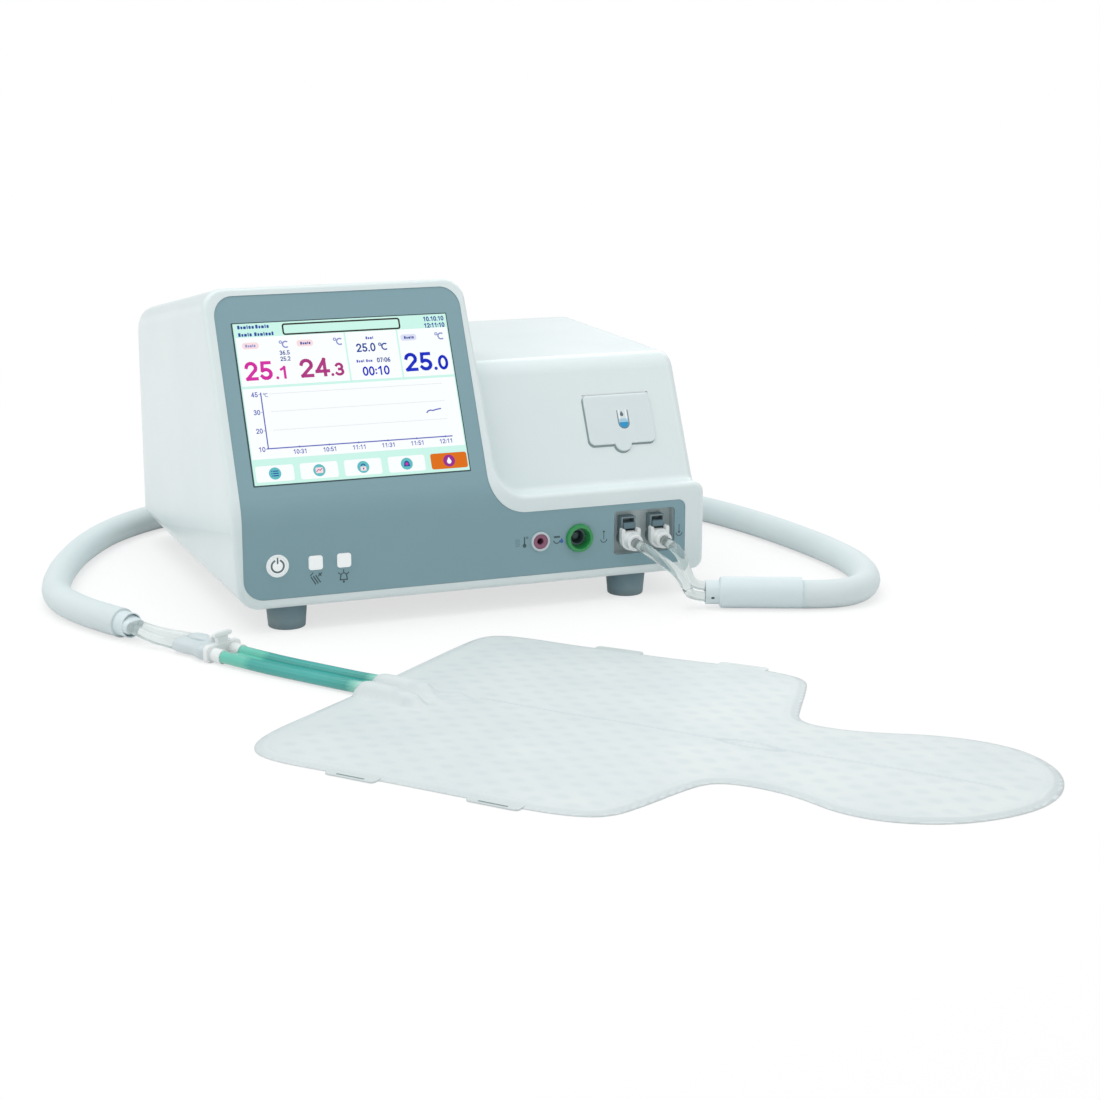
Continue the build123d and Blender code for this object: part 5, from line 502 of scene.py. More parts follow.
METAL_FINISHES: tuple[Finish, ...] = (
    Finish("plate_steel", "#B9C0C2", "#AAB2B5", 0.42, Grain.MOULDED, 700.0, metallic=0.2),
    Finish("screw_steel", "#B5BABD", "#9DA3A6", 0.3, Grain.BRUSHED, 900.0, metallic=1.0),
    Finish("pin_steel", "#C3C8CA", "#AEB4B6", 0.25, Grain.BRUSHED, 900.0, metallic=1.0),
    Finish("bracket_metal", "#A9B0B3", "#989FA2", 0.4, Grain.BRUSHED, 500.0, metallic=0.9),
    Finish("motor_metal", "#9BA3A6", "#868E92", 0.38, Grain.BRUSHED, 600.0, metallic=0.9),
    Finish("block_metal", "#BFC5C7", "#A9B0B3", 0.35, Grain.BRUSHED, 500.0, metallic=0.95),
    Finish("sink_metal", "#AEB5B8", "#9BA2A5", 0.36, Grain.BRUSHED, 400.0, metallic=0.95),
    Finish("stud_brass", "#C9A557", "#B38F45", 0.3, Grain.BRUSHED, 900.0, metallic=1.0),
)
SOFT_FINISHES: tuple[Finish, ...] = (
    # the feet's colour ramp up their height is painted shade: darkest at the top under the casing, darker at
    # the base on the table and lighter between
    RampFinish("foot_rubber", "#608592", "#4C707E", 0.6, mottle=0.35, grain_scale=1200.0,
               grain_depth=0.00008, dust=0.5, reach=0.024,
               stops=((0.0, "#567B89"), (0.35, "#668C99"), (1.0, "#4F7380"))),
    Finish("hose_sleeve", "#DDE9EB", "#D2E0E3", 0.72, Grain.FOAM, 520.0, 0.00010, dust=0.12, sheen=0.15),
    Finish("tube_clear", "#EEF5F4", "#DDEAEA", 0.07, Grain.CREASED, 60.0, 0.00004, coat=0.6, clear=0.85,
           index=1.22),
    Finish("pipe_clear", "#DDE8EA", "#CADADD", 0.15, Grain.CREASED, 60.0, 0.00004, coat=0.3, clear=0.5),
    Finish("screen_glass", "#20282B", "#1A2123", 0.08, coat=0.6, grain_depth=0.00001),
    FilmFinish("blanket_film", "#DCE4E4", "#D3DDDF", 0.5, Grain.CREASED, 26.0, 0.0006, mottle_scale=14.0,
               mottle=0.8, coat=0.05),
)
SIGN_FINISHES: tuple[Finish, ...] = (
    Finish("sign_ink", "#4A5F68", "#42565F", 0.5),
    Finish("sign_faint", "#6B8690", "#647F89", 0.5),
    Finish("sign_blue", "#3F6FB4", "#3763A6", 0.45),
    Finish("sign_ring", "#66777D", "#5B6C73", 0.45),
    Finish("sign_water", "#2E9AD0", "#268CC2", 0.4),
    Finish("sign_pale", "#A9D3E6", "#9BC8DD", 0.4),
    Finish("tab_film", "#D3DCDC", "#C9D3D5", 0.4, Grain.CREASED, 40.0, 0.0003, coat=0.2),
    # painted shade: the near tabs' slots and the gap between the connector's body and grip
    Finish("slot_shade", "#7E8E90", "#728385", 0.6),
    # painted shadow round the filling door
    Finish("door_shade", "#93A3A3", "#8A9A9B", 0.6),
    Finish("door_bridge", "#DDE5E6", "#D5DEDF", 0.45),
    # painted shade inside the cuff's vent hole
    Finish("hole_dark", "#37474C", "#2E3D42", 0.7),
)
SCREEN_COLOURS: tuple[LitFinish, ...] = (
    LitFinish("screen_mint", "#CDF6EA"), LitFinish("screen_white", "#FBFEFE"),
    LitFinish("screen_black", "#30302E"), LitFinish("screen_blue", "#1B2FC4"),
    LitFinish("screen_navy", "#2A4C9E"), LitFinish("screen_magenta", "#D632A6"),
    LitFinish("screen_plum", "#B13C86"), LitFinish("screen_rose", "#F8DDE2"),
    LitFinish("screen_lilac", "#DDE0F4"), LitFinish("screen_slate", "#8B93CE"),
    LitFinish("screen_indigo", "#5A64BE"), LitFinish("screen_edge", "#3E5156"),
    LitFinish("screen_dots", "#C9CDDA"), LitFinish("screen_teal", "#62BDC4"),
    LitFinish("screen_orange", "#DE7016"), LitFinish("screen_purple", "#9A2F8E"),
)


class Paints:
    """Every finish of the device as a material, made the first time that it is asked for."""

    def __init__(self) -> None:
        """Lists the finishes by name and starts with none of them made."""
        self.effects = Effects()
        self.known = {finish.name: finish for finish in (
            *PLASTIC_FINISHES, *METAL_FINISHES, *SOFT_FINISHES, *SIGN_FINISHES, *SCREEN_COLOURS,
            band_finish())}
        self.made: dict[str, bpy.types.Material] = {}

    def get(self, name: str) -> bpy.types.Material:
        """The material of a finish by its name."""
        if name not in self.made:
            self.made[name] = self.known[name].material(self.effects)
        return self.made[name]

    def dress(self, piece: Piece, name: str, slot: str) -> None:
        """Gives a piece one finish.

        Args:
            piece: The object to dress.
            name: The finish.
            slot: Not used.
        """
        piece.data.materials.clear()
        piece.data.materials.append(self.get(name))


class Console:
    """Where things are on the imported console, in the device's frame."""

    def __init__(self) -> None:
        """Reads the console's left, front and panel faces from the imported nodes."""
        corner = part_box("front_frame")[0]
        self.left, self.front = corner.x, corner.y
        self.panel_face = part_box("control_panel")[0].y

    def at(self, x: float, y: float, z: float) -> Vector:
        """A point by its millimetres from the console's left, front and table."""
        return Vector((self.left + x * MM, self.front + y * MM, z * MM))

    def leaning(self, y: float, z: float, lean: float) -> Matrix:
        """A plane that leans back about a level line on the front.

        Args:
            y: How far behind the front the line is, in millimetres.
            z: The line's height.
            lean: Angle from upright in degrees.

        Returns:
            A matrix whose x runs right, y up the slope and z out of the surface.
        """
        tilt = math.radians(lean)
        columns = ((1, 0, 0), (0, math.sin(tilt), math.cos(tilt)), (0, -math.cos(tilt), math.sin(tilt)))
        return framed(columns, self.at(0, y, z))

    @staticmethod
    def lifted(plane: Matrix, node: str) -> Matrix:
        """The same plane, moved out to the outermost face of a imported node.

        Args:
            plane: A plane near the node's outer face; only points near it count.
            node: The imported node.

        Returns:
            The moved plane.
        """
        back = plane.inverted()
        heights = [(back @ v.co).z for v in frame["nodes"][node].data.vertices]
        outer = max(h for h in heights if abs(h) < NEAR)
        return plane @ Matrix.Translation((0, 0, outer))


def bow(x: float, y: float, across: float, up: float, start: float, end: float,
        count: int = 11) -> list[Point2]:
    """Points along an oval round a middle, from a start to an end angle in degrees."""
    turns = [math.radians(start + (end - start) * k / (count - 1)) for k in range(count)]
    return [(x + across * math.cos(turn), y + up * math.sin(turn)) for turn in turns]


# Each figure's strokes and each sign's dots, on a box as high as 1.
STROKES: dict[str, tuple[Sequence[Point2], ...]] = {
    "0": (bow(0.3, 0.5, 0.23, 0.43, 90, 450, 25),),
    "1": (((0.12, 0.75), (0.36, 0.9)), ((0.36, 0.07), (0.36, 0.93))),
    "2": ((*bow(0.3, 0.68, 0.22, 0.25, 168, -30), (0.09, 0.08)), ((0.09, 0.07), (0.53, 0.07))),
    "3": (bow(0.28, 0.71, 0.2, 0.22, 150, -90), bow(0.28, 0.29, 0.23, 0.22, 90, -150)),
    "4": (((0.42, 0.93), (0.07, 0.3)), ((0.05, 0.28), (0.57, 0.28)), ((0.42, 0.07), (0.42, 0.93))),
    "5": (((0.5, 0.93), (0.16, 0.93), (0.13, 0.52)), bow(0.29, 0.31, 0.23, 0.24, 128, -150)),
    "6": (bow(0.3, 0.3, 0.22, 0.23, 90, 450, 19), bow(0.54, 0.34, 0.46, 0.6, 180, 104)),
    "7": (((0.07, 0.93), (0.53, 0.93), (0.22, 0.07)),),
}
DOTS: dict[str, tuple[float, ...]] = {".": (0.08,), ":": (0.22, 0.62)}
SLANT = (22.5, 113.1, 26.7)     # depth, height and lean of the slanted face at its foot


class Inlay:
    """Flat raised marks on a plane: each is a thin closed slab with its own colour."""

    STEP = 0.05             # millimetres from one layer of marks to the next
    FIGURE_STEP = 0.7       # shares of a figure's height, from one to the next
    POINT_STEP = 0.3
    FIGURE_GAP = 0.1
    BLOCK_WIDTHS = (0.62, 0.5, 0.7, 0.3, 0.58)          # shares of a word's height, taken in turn
    BLOCK_HEIGHTS = (1.0, 0.74, 0.74, 1.0, 0.8, 0.74)

    def __init__(self, name: str, plane: Matrix, paints: Paints) -> None:
        """Starts with no marks.

        Args:
            name: Name of the piece.
            plane: Where the marks lie; they are drawn in millimetres on it.
            paints: The device's finishes.
        """
        self.name, self.plane, self.paints = name, plane, paints
        self.mesh = bmesh.new()
        self.finishes: list[str] = []

    def _colour(self, finish: str) -> int:
        """Index of a finish on this piece."""
        if finish not in self.finishes:
            self.finishes.append(finish)
        return self.finishes.index(finish)

    def slab(self, outline: Sequence[Point2], finish: str, layer: int = 0,
             hole: Sequence[Point2] | None = None) -> None:
        """Adds one slab.

        Args:
            outline: Its corners, in order round it.
            finish: Its colour.
            layer: How many steps it stands out.
            hole: An inner outline with as many corners, which leaves a ring.
        """
        colour, top = self._colour(finish), (layer + 1) * self.STEP
        rings = []
        for loop in (outline, hole) if hole else (outline,):
            rings.append([[self.mesh.verts.new((x, y, z)) for x, y in loop] for z in (0.0, top)])
        faces = []
        count = len(outline)
        for number, (low, high) in enumerate(rings):
            for k in range(count):
                corner = (low[k], low[(k + 1) % count], high[(k + 1) % count], high[k])
                faces.append(self.mesh.faces.new(corner if number == 0 else corner[::-1]))
        if hole:
            (low, high), (low_in, high_in) = rings
            for k in range(count):
                n = (k + 1) % count
                faces.append(self.mesh.faces.new((high[k], high[n], high_in[n], high_in[k])))
                faces.append(self.mesh.faces.new((low[n], low[k], low_in[k], low_in[n])))
        else:
            faces.append(self.mesh.faces.new(rings[0][1]))
            faces.append(self.mesh.faces.new(rings[0][0][::-1]))
        for face in faces:
            face.material_index = colour

    @staticmethod
    def rounded(x: float, y: float, width: float, height: float, radius: float) -> list[Point2]:
        """Outline of a rectangle with round corners, by its middle."""
        points = []
        for quarter, (sx, sy) in enumerate(((1, 1), (-1, 1), (-1, -1), (1, -1))):
            for step in range(5):
                turn = (quarter + step / 4) * math.pi / 2
                points.append((x + sx * (width / 2 - radius) + radius * math.cos(turn),
                               y + sy * (height / 2 - radius) + radius * math.sin(turn)))
        return points

    @staticmethod
    def circle(x: float, y: float, radius: float, start: float = 0.0, end: float = 360.0,
               count: int = 28) -> list[Point2]:
        """Points round a circle, or along an arc of it from a start to an end angle in degrees."""
        whole = abs(end - start) >= 360
        return bow(x, y, radius, radius, start, end, count + whole)[:count]

    def box(self, x: float, y: float, width: float, height: float, finish: str, layer: int = 0,
            radius: float = 0.4) -> None:
        """Adds a slab with round corners, by its middle."""
        self.slab(self.rounded(x, y, width, height, min(radius, width / 2.01, height / 2.01)), finish, layer)

    def disc(self, x: float, y: float, radius: float, finish: str, layer: int = 0) -> None:
        """Adds a round slab."""
        self.slab(self.circle(x, y, radius), finish, layer)

    def arc(self, x: float, y: float, radius: float, width: float, finish: str, layer: int = 0,
            start: float = 0.0, end: float = 360.0) -> None:
        """Adds a ring, or a part of one from a start to an end angle."""
        outer = self.circle(x, y, radius + width / 2, start, end)
        inner = self.circle(x, y, radius - width / 2, start, end)
        if abs(end - start) >= 360:
            self.slab(outer, finish, layer, inner)
        else:
            self.slab(outer + inner[::-1], finish, layer)

    def line(self, points: Sequence[Point2], width: float, finish: str, layer: int = 0) -> None:
        """Adds straight strokes from point to point."""
        for (x0, y0), (x1, y1) in zip(points, points[1:]):
            run = max(math.hypot(x1 - x0, y1 - y0), 1e-6)
            dx, dy = (x1 - x0) / run * width / 2, (y1 - y0) / run * width / 2
            self.slab([(x0 - dx + dy, y0 - dy - dx), (x1 + dx + dy, y1 + dy - dx),
                       (x1 + dx - dy, y1 + dy + dx), (x0 - dx - dy, y0 - dy + dx)], finish, layer)

    def drop(self, x: float, y: float, height: float, finish: str, layer: int = 0) -> None:
        """Adds a water drop, by the middle of its round part."""
        radius = height / 3
        self.slab([*self.circle(x, y, radius, 155, 385, 16), (x, y + height * 2 / 3)], finish, layer)

    def words(self, x: float, y: float, length: float, height: float, finish: str, layer: int = 0) -> None:
        """Adds a row of small blocks that stands for a word nobody can read, by its left end."""
        reach, number = 0.0, 0
        while reach < length:
            wide = height * self.BLOCK_WIDTHS[number % len(self.BLOCK_WIDTHS)]
            tall = height * self.BLOCK_HEIGHTS[number % len(self.BLOCK_HEIGHTS)]
            self.box(x + reach + wide / 2, y - (height - tall) / 2, wide, tall, finish, layer, height * 0.16)
            reach += wide + height * 0.2
            number += 1

    def figures(self, words: str, x: float, y: float, height: float, finish: str, layer: int = 0,
                weight: float = 0.13, width: float = 0.0) -> None:
        """Adds figures of a given height as plain strokes, by the middle of their box.

        Args:
            words: Figures, full stops and colons.
            x: Middle across.
            y: Middle up.
            height: Height of a figure.
            finish: Colour.
            layer: How many steps they stand out.
            weight: Width of a stroke as a share of the height.
            width: Width of the whole group, where it isn't the figures' own.
        """
        steps = [self.POINT_STEP if sign in DOTS else self.FIGURE_STEP for sign in words]
        total = sum(steps) - self.FIGURE_GAP
        across = width / total if width else height
        left, foot = x - total * across / 2, y - height / 2
        for sign, step in zip(words, steps):
            for dot in DOTS.get(sign, ()):
                self.disc(left + 0.1 * across, foot + dot * height, height * weight * 0.62, finish, layer)
            for stroke in STROKES.get(sign, ()):
                self.line([(left + px * across, foot + py * height) for px, py in stroke], height * weight,
                          finish, layer)
            left += step * across

    def piece(self, body: str, slot: str) -> None:
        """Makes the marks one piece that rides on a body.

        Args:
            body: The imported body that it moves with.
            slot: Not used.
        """
        bmesh.ops.remove_doubles(self.mesh, verts=self.mesh.verts, dist=1e-6)
        bmesh.ops.recalc_face_normals(self.mesh, faces=self.mesh.faces)
        made = as_piece(self.name, self.mesh, smooth=False)
        made.data.transform(self.plane @ Matrix.Scale(MM, 4))
        for finish in self.finishes:
            made.data.materials.append(self.paints.get(finish))
        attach(made, body)


@dataclass
class ScreenPicture:
    """The lit picture on the display: header, four readings, a chart and a row of buttons."""

    paints: Paints
    console: Console
    left: float = 26.3      # millimetres from the console's left
    foot: float = 27.4      # millimetres up the slope from the panel's bend
    width: float = 211.4
    height: float = 158.0
    lean: float = 26.43     # degrees from upright
    bend: float = 116.3     # height of the panel's bend

    def spot(self, across: float, down: float) -> Point2:
        """A point by its shares of the picture's width and height, from the upper left."""
        return self.left + across * self.width, self.foot + (1 - down) * self.height

    def build(self) -> None:
        """Draws the whole picture as one piece."""
        plane = self.console.lifted(self.console.leaning(0, self.bend, self.lean), "control_panel")
        marks = Inlay("screen_picture", plane, self.paints)
        x, y = self.spot(0.5, 0.5)
        marks.box(x - 0.3, y - 0.2, self.width + 2.6, self.height + 2.4, "screen_edge", 0, 0.8)
        marks.box(x, y, self.width, self.height, "screen_mint", 1, 0.3)
        self._header(marks)
        self._readings(marks)
        self._chart(marks)
        self._buttons(marks)
        marks.piece(ROOT, "screen_glass")

    def _header(self, marks: Inlay) -> None:
        """Draws the header: two lines of a generic caption, an empty frame and the clock."""
        x, y = self.spot(0.4995, 0.047)
        outer = marks.rounded(x, y, 117.0, 11.6, 2.6)
        inner = marks.rounded(x, y, 113.8, 8.4, 1.3)
        marks.slab(outer, "screen_black", 2, inner)
        for down, lengths in ((0.022, (15, 11)), (0.069, (13, 18))):
            left = 0.02
            for length in lengths:
                x, y = self.spot(left, down)
                marks.words(x, y, length, 3.7, "screen_navy", 2)
                left += (length + 2.4) / self.width
        for down, words in ((0.028, "10.10.10"), (0.07, "12:11:10")):
            marks.figures(words, *self.spot(0.938, down), 4.4, "screen_navy", 3, 0.2)

    def _readings(self, marks: Inlay) -> None:
        """Draws the four readings and their small labels."""
        for left, right in ((0.006, 0.503), (0.511, 0.75), (0.758, 0.996)):
            (x0, y), (x1, _) = self.spot(left, 0.239), self.spot(right, 0.239)
            marks.box((x0 + x1) / 2, y, x1 - x0, 48.0, "screen_white", 2, 0.8)
        for across, pill, ink, wide in ((0.068, "screen_rose", "screen_slate", 10),
                                        (0.318, "screen_rose", "screen_navy", 9),
                                        (0.806, "screen_lilac", "screen_navy", 9)):
            x, y = self.spot(across, 0.14)
            marks.box(x, y, 16, 6.4, pill, 3, 2.6)
            marks.words(x - wide / 2, y, wide, 2.8, ink, 4)
        for across in (0.222, 0.473, 0.955):
            self._degree(marks, *self.spot(across, 0.142), 7.4, "screen_slate")
        for words, across, down, height, finish in (
                ("36.5", 0.219, 0.193, 4.2, "screen_navy"), ("25.2", 0.219, 0.231, 4.2, "screen_navy"),
                ("25.0", 0.598, 0.189, 8.2, "screen_navy"), ("00:10", 0.63, 0.339, 8.8, "screen_blue")):
            marks.figures(words, *self.spot(across, down), height, finish, 3, 0.17)
        for across, whole, wide, tail, part, tail_wide, finish, tall in (
                (0.089, "25", 26.0, 0.194, ".1", 12.0, "screen_magenta", 12.0),
                (0.345, "24", 28.0, 0.45, ".3", 13.0, "screen_plum", 12.0),
                (0.835, "25", 27.2, 0.9415, ".0", 14.4, "screen_blue", 13.6)):
            x, y = self.spot(across, 0.298)
            marks.figures(whole, x, y, 17.6, finish, 3, 0.185, wide)
            x, _ = self.spot(tail, 0.298)
            marks.figures(part, x, y - 8.8 + tall / 2, tall, finish, 3, 0.2, tail_wide)
        x, y = self.spot(0.598, 0.189)
        self._degree(marks, x + 17.5, y, 7.4, "screen_navy")
        x, y = self.spot(0.585, 0.273)
        marks.words(x - 8.5, y, 7, 2.8, "screen_indigo", 3)
        marks.words(x + 1.0, y, 6, 2.8, "screen_indigo", 3)
        marks.figures("07:06", x + 18.5, y, 4.4, "screen_navy", 3, 0.19)
        x, y = self.spot(0.622, 0.129)
        marks.words(x - 4.0, y, 8, 2.8, "screen_indigo", 3)

    @staticmethod
    def _degree(marks: Inlay, x: float, y: float, height: float, finish: str) -> None:
        """Draws a degrees Celsius sign, by its middle."""
        marks.arc(x - height * 0.44, y + height * 0.33, height * 0.16, height * 0.13, finish, 3)
        marks.arc(x + height * 0.2, y, height * 0.4, height * 0.19, finish, 3, 50, 310)

    def _chart(self, marks: Inlay) -> None:
        """Draws the chart: axes with figures, a dotted grid and a short trace."""
        marks.box(*self.spot(0.5, 0.624), self.width * 0.99, 68.8, "screen_white", 2, 0.8)
        marks.line([self.spot(0.084, 0.436), self.spot(0.084, 0.78)], 1.15, "screen_indigo", 3)
        marks.line([self.spot(0.08, 0.78), self.spot(0.94, 0.78)], 1.15, "screen_indigo", 3)
        for down, words in ((0.444, "45"), (0.554, "30"), (0.669, "20"), (0.782, "10")):
            marks.figures(words, *self.spot(0.055, down), 4.8, "screen_indigo", 3, 0.16)
            marks.line([self.spot(0.075, down), self.spot(0.084, down)], 0.6, "screen_slate", 3)
        self._degree(marks, *self.spot(0.106, 0.45), 4.0, "screen_slate")
        for down in (0.444, 0.554, 0.669):
            for number in range(62):
                marks.box(*self.spot(0.125 + number * 0.0131, down), 1.3, 0.6, "screen_dots", 3, 0.2)
        for number, words in enumerate(("10:31", "10:51", "11:11", "11:31", "11:51", "12:11")):
            x, y = self.spot(0.226 + number * 0.1365, 0.806)
            marks.figures(words, x, y - 0.4, 4.4, "screen_indigo", 3, 0.16)
            marks.line([(x, y + 4.9), (x, y + 3.4)], 0.6, "screen_indigo", 3)
        trace = [self.spot(a, d) for a, d in (
            (0.839, 0.622), (0.846, 0.613), (0.856, 0.609), (0.869, 0.612), (0.884, 0.607), (0.906, 0.603))]
        marks.line(trace, 1.2, "screen_indigo", 3)

    def _buttons(self, marks: Inlay) -> None:
        """Draws the five buttons and a generic sign on each."""
        for number, across in enumerate((0.098, 0.3, 0.503, 0.707, 0.908)):
            x, y = self.spot(across, 0.933)
            last = number == 4
            marks.box(x, y, 36.5, 15.6, "screen_orange" if last else "screen_white", 2, 2.2)
            marks.disc(x, y, 5.9, "screen_purple" if last else "screen_teal", 3)
            if number == 0:
                for rise in (-2.2, 0.0, 2.2):
                    marks.box(x + 0.8, y + rise, 5.4, 1.0, "screen_navy", 4, 0.3)
                    marks.box(x - 3.0, y + rise, 1.0, 1.0, "screen_navy", 4, 0.3)
            elif number == 1:
                marks.box(x, y, 7.2, 5.6, "screen_rose", 4, 0.9)
                marks.line([(x - 2.8, y - 1.2), (x - 0.8, y + 0.8), (x + 0.8, y - 0.2), (x + 2.8, y + 1.6)],
                           0.7, "screen_plum", 5)
            elif number == 2:
                marks.box(x, y - 1.6, 5.6, 4.2, "screen_rose", 4, 0.7)
                marks.arc(x, y + 0.8, 1.9, 1.0, "screen_navy", 4, 0, 180)
                marks.box(x, y - 1.6, 1.2, 1.8, "screen_navy", 5, 0.4)
            elif number == 3:
                marks.slab([*marks.circle(x, y + 0.4, 2.5, 0, 180, 12), (x - 3.2, y - 2.6),
                            (x + 3.2, y - 2.6)], "screen_navy", 4)
                marks.disc(x, y - 0.2, 1.4, "screen_magenta", 5)
            else:
                marks.drop(x, y - 0.9, 6.6, "screen_white", 4)


@dataclass
class PanelMarks:
    """Small generic signs by the keys, sockets and filling door, the painted shadow round the door and the
    cuff's vent in painted shade.
    """

    paints: Paints
    console: Console
    door: tuple[float, float, float, float] = (374.0, 445.0, 40.0, 92.4)   # left, right, foot and top
    door_radius: float = 6.0
    sign: Point2 = (413.3, 65.4)
    finger_radius: float = 9.0
    finger_rise: float = 1.3        # from the door's foot up to the finger tab's middle
    finger_arc: Point2 = (188.3, 351.7)
    # gap, greatest width and falling side of the painted shadow round the filling door
    shadow_gap: float = 0.25
    shadow_width: float = 2.2
    shadow_side: Point2 = (-0.7, -0.72)       # where the painted shadow is widest: left and below
    vent: Point3 = (0.2359, 0.0418, 0.0127)
    vent_out: Point3 = (-0.3728, -0.9009, -0.2225)
    vent_across: Point3 = (0.925, -0.38, 0.0)
    vent_sunk: float = 0.00005

    def build(self) -> None:
        """Draws every sign, the painted shadow round the door and the cuff's vent."""
        face = self.console.leaning(0, 0, 0)
        face.translation = Vector((self.console.left, self.console.panel_face, 0))
        marks = Inlay("panel_signs", face, self.paints)
        self._key_signs(marks)
        self._socket_signs(marks)
        marks.piece(ROOT, "panel_grey")
        self._power_sign()
        self._door_sign()
        self._door_painted_shadow()
        self._cuff_vent()

    @staticmethod
    def _key_signs(marks: Inlay) -> None:
        """Draws the two signs under the keys: a warm-up pad and a muted bell."""
        ink = "sign_ink"
        for number in range(3):
            shift = number * 2.3
            marks.line([(75.0 + shift, 51.5 + shift * 0.25), (79.0 + shift, 44.8 + shift * 0.35)], 1.25, ink)
        marks.arc(106.6, 50.2, 2.9, 1.15, ink, 0, 0, 180)
        marks.line([(103.7, 50.4), (103.2, 46.6), (110.0, 46.6), (109.5, 50.4)], 1.15, ink)
        marks.disc(106.6, 44.6, 1.2, ink)
        for start, end in (((74.4, 53.4), (76.6, 55.6)), ((82.6, 54.8), (84.4, 52.6)),
                           ((82.0, 52.4), (85.0, 55.0)), ((101.6, 53.4), (103.0, 52.2)),
                           ((106.6, 56.0), (106.6, 54.4)), ((111.6, 53.4), (110.2, 52.2))):
            marks.line([start, end], 1.1, ink)

    @staticmethod
    def _socket_signs(marks: Inlay) -> None:
        """Draws the signs beside the two sockets and the two water couplings."""
        ink = "sign_ink"
        for row in range(5):
            for number in range(3):
                marks.disc(280.0 + number * 1.7 + (row % 2) * 0.6, 63.6 + row * 1.6, 0.55, "sign_faint")
        marks.disc(289.2, 63.6, 2.0, ink)
        marks.line([(289.2, 65.0), (289.2, 71.8)], 1.3, ink)
        marks.arc(292.0, 71.4, 0.9, 0.6, ink)
        marks.arc(323.0, 66.6, 3.4, 1.1, ink, 0, 190, 350)
        marks.box(323.0, 69.6, 6.6, 2.0, ink, 0, 0.7)
        marks.drop(328.0, 64.8, 5.4, "sign_blue")
        for x, up in ((372.6, True), (453.9, False)):
            marks.arc(x, 63.2, 3.2, 0.9, ink, 0, 180, 360)
            marks.line([(x, 63.4), (x, 71.4)], 0.8, ink)
            tip, side = (72.4, -2.2) if up else (62.2, 2.2)
            marks.slab([(x, tip), (x - 1.5, tip + side), (x + 1.5, tip + side)], ink)

    def _power_sign(self) -> None:
        """The stand-by sign on the round button's cap."""
        face = self.console.leaning(0, 0, 0)
        low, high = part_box("power_button")
        face.translation = Vector(((low.x + high.x) / 2, low.y, (low.z + high.z) / 2))
        marks = Inlay("standby_sign", face, self.paints)
        marks.arc(0, 0, 5.9, 1.8, "sign_ring", 0, 112, 428)
        marks.line([(0, 7.4), (0, 2.8)], 1.5, "sign_ring")
        marks.piece("power_button", "button_white")

    def _door_sign(self) -> None:
        """A tube filled with water on the filling door."""
        plane = self.console.lifted(self.console.leaning(*SLANT), "filler_door")
        marks = Inlay("door_sign", plane, self.paints)
        x, y = self.sign
        marks.slab([(x - 4.9, y - 3.4), *marks.circle(x, y - 4.4, 4.9, 180, 360, 16), (x + 4.9, y - 3.4)],
                   "sign_water", 0)
        marks.box(x, y - 1.6, 9.4, 3.8, "sign_pale", 0, 0.3)
        for side in (-1, 1):
            marks.line([(x + side * 5.6, y + 8.6), (x + side * 5.6, y - 4.0)], 0.9, "sign_ring", 0)
            # these inner lines take the display's lit white and shine: painted light on the printed sign
            marks.line([(x + side * 3.6, y + 9.0), (x + side * 3.6, y - 0.6)], 0.7, "screen_white", 0)
        marks.arc(x, y - 4.2, 5.6, 0.9, "sign_ring", 0, 180, 360)
        marks.drop(x - 1.0, y + 4.6, 5.6, "sign_ring", 0)
        marks.piece("filler_door", "door_grey")

    def _door_painted_shadow(self) -> None:
        """The painted drop shadow round the filling door, a dark ring widest below and to the left, and its
        cover strip at the hinge.
        """
        marks = Inlay("door_seal", self.console.leaning(*SLANT), self.paints)
        (left, right, foot, top), radius = self.door, self.door_radius
        middle = (left + right) / 2
        outline = [
            *marks.circle(right - radius, top - radius, radius, 0, 90, 6),
            *marks.circle(left + radius, top - radius, radius, 90, 180, 6),
            *marks.circle(left + radius, foot + radius, radius, 180, 270, 8),
            *marks.circle(middle, foot + self.finger_rise, self.finger_radius, *self.finger_arc, 14),
            *marks.circle(right - radius, foot + radius, radius, 270, 360, 6)]
        inner, outer = [], []
        for before, here, after in zip(outline[-1:] + outline[:-1], outline, outline[1:] + outline[:1]):
            run = (after[0] - before[0], after[1] - before[1])
            size = math.hypot(*run)
            out = (run[1] / size, -run[0] / size)
            # the ring widens where its edge faces down and to the left: a painted drop shadow
            facing = self.shadow_side[0] * out[0] + self.shadow_side[1] * out[1]
            width = max(0.02, facing) * self.shadow_width
            for ring, reach in ((inner, self.shadow_gap), (outer, self.shadow_gap + width)):
                ring.append((here[0] + out[0] * reach, here[1] + out[1] * reach))
        marks.slab(outer, "door_shade", 1, inner)
        marks.box(middle, top + 0.45, right - left - 3.0, 1.3, "door_bridge", 1, 0.6)
        marks.piece(ROOT, "shell_white")

    def _cuff_vent(self) -> None:
        """The small vent in the narrow end of the hose's cuff, drawn as a dark slab of painted shade where
        its hole is.
        """
        out, across = Vector(self.vent_out).normalized(), Vector(self.vent_across).normalized()
        sunk = Vector(self.vent) - out * self.vent_sunk
        marks = Inlay("cuff_vent", framed((across, out.cross(across), out), sunk), self.paints)
        # a dark slab of painted shade stands for the inside of the vent hole
        marks.box(0, 0, 3.4, 2.2, "hole_dark", 2, 1.05)
        marks.piece(ROOT, "cuff_white")


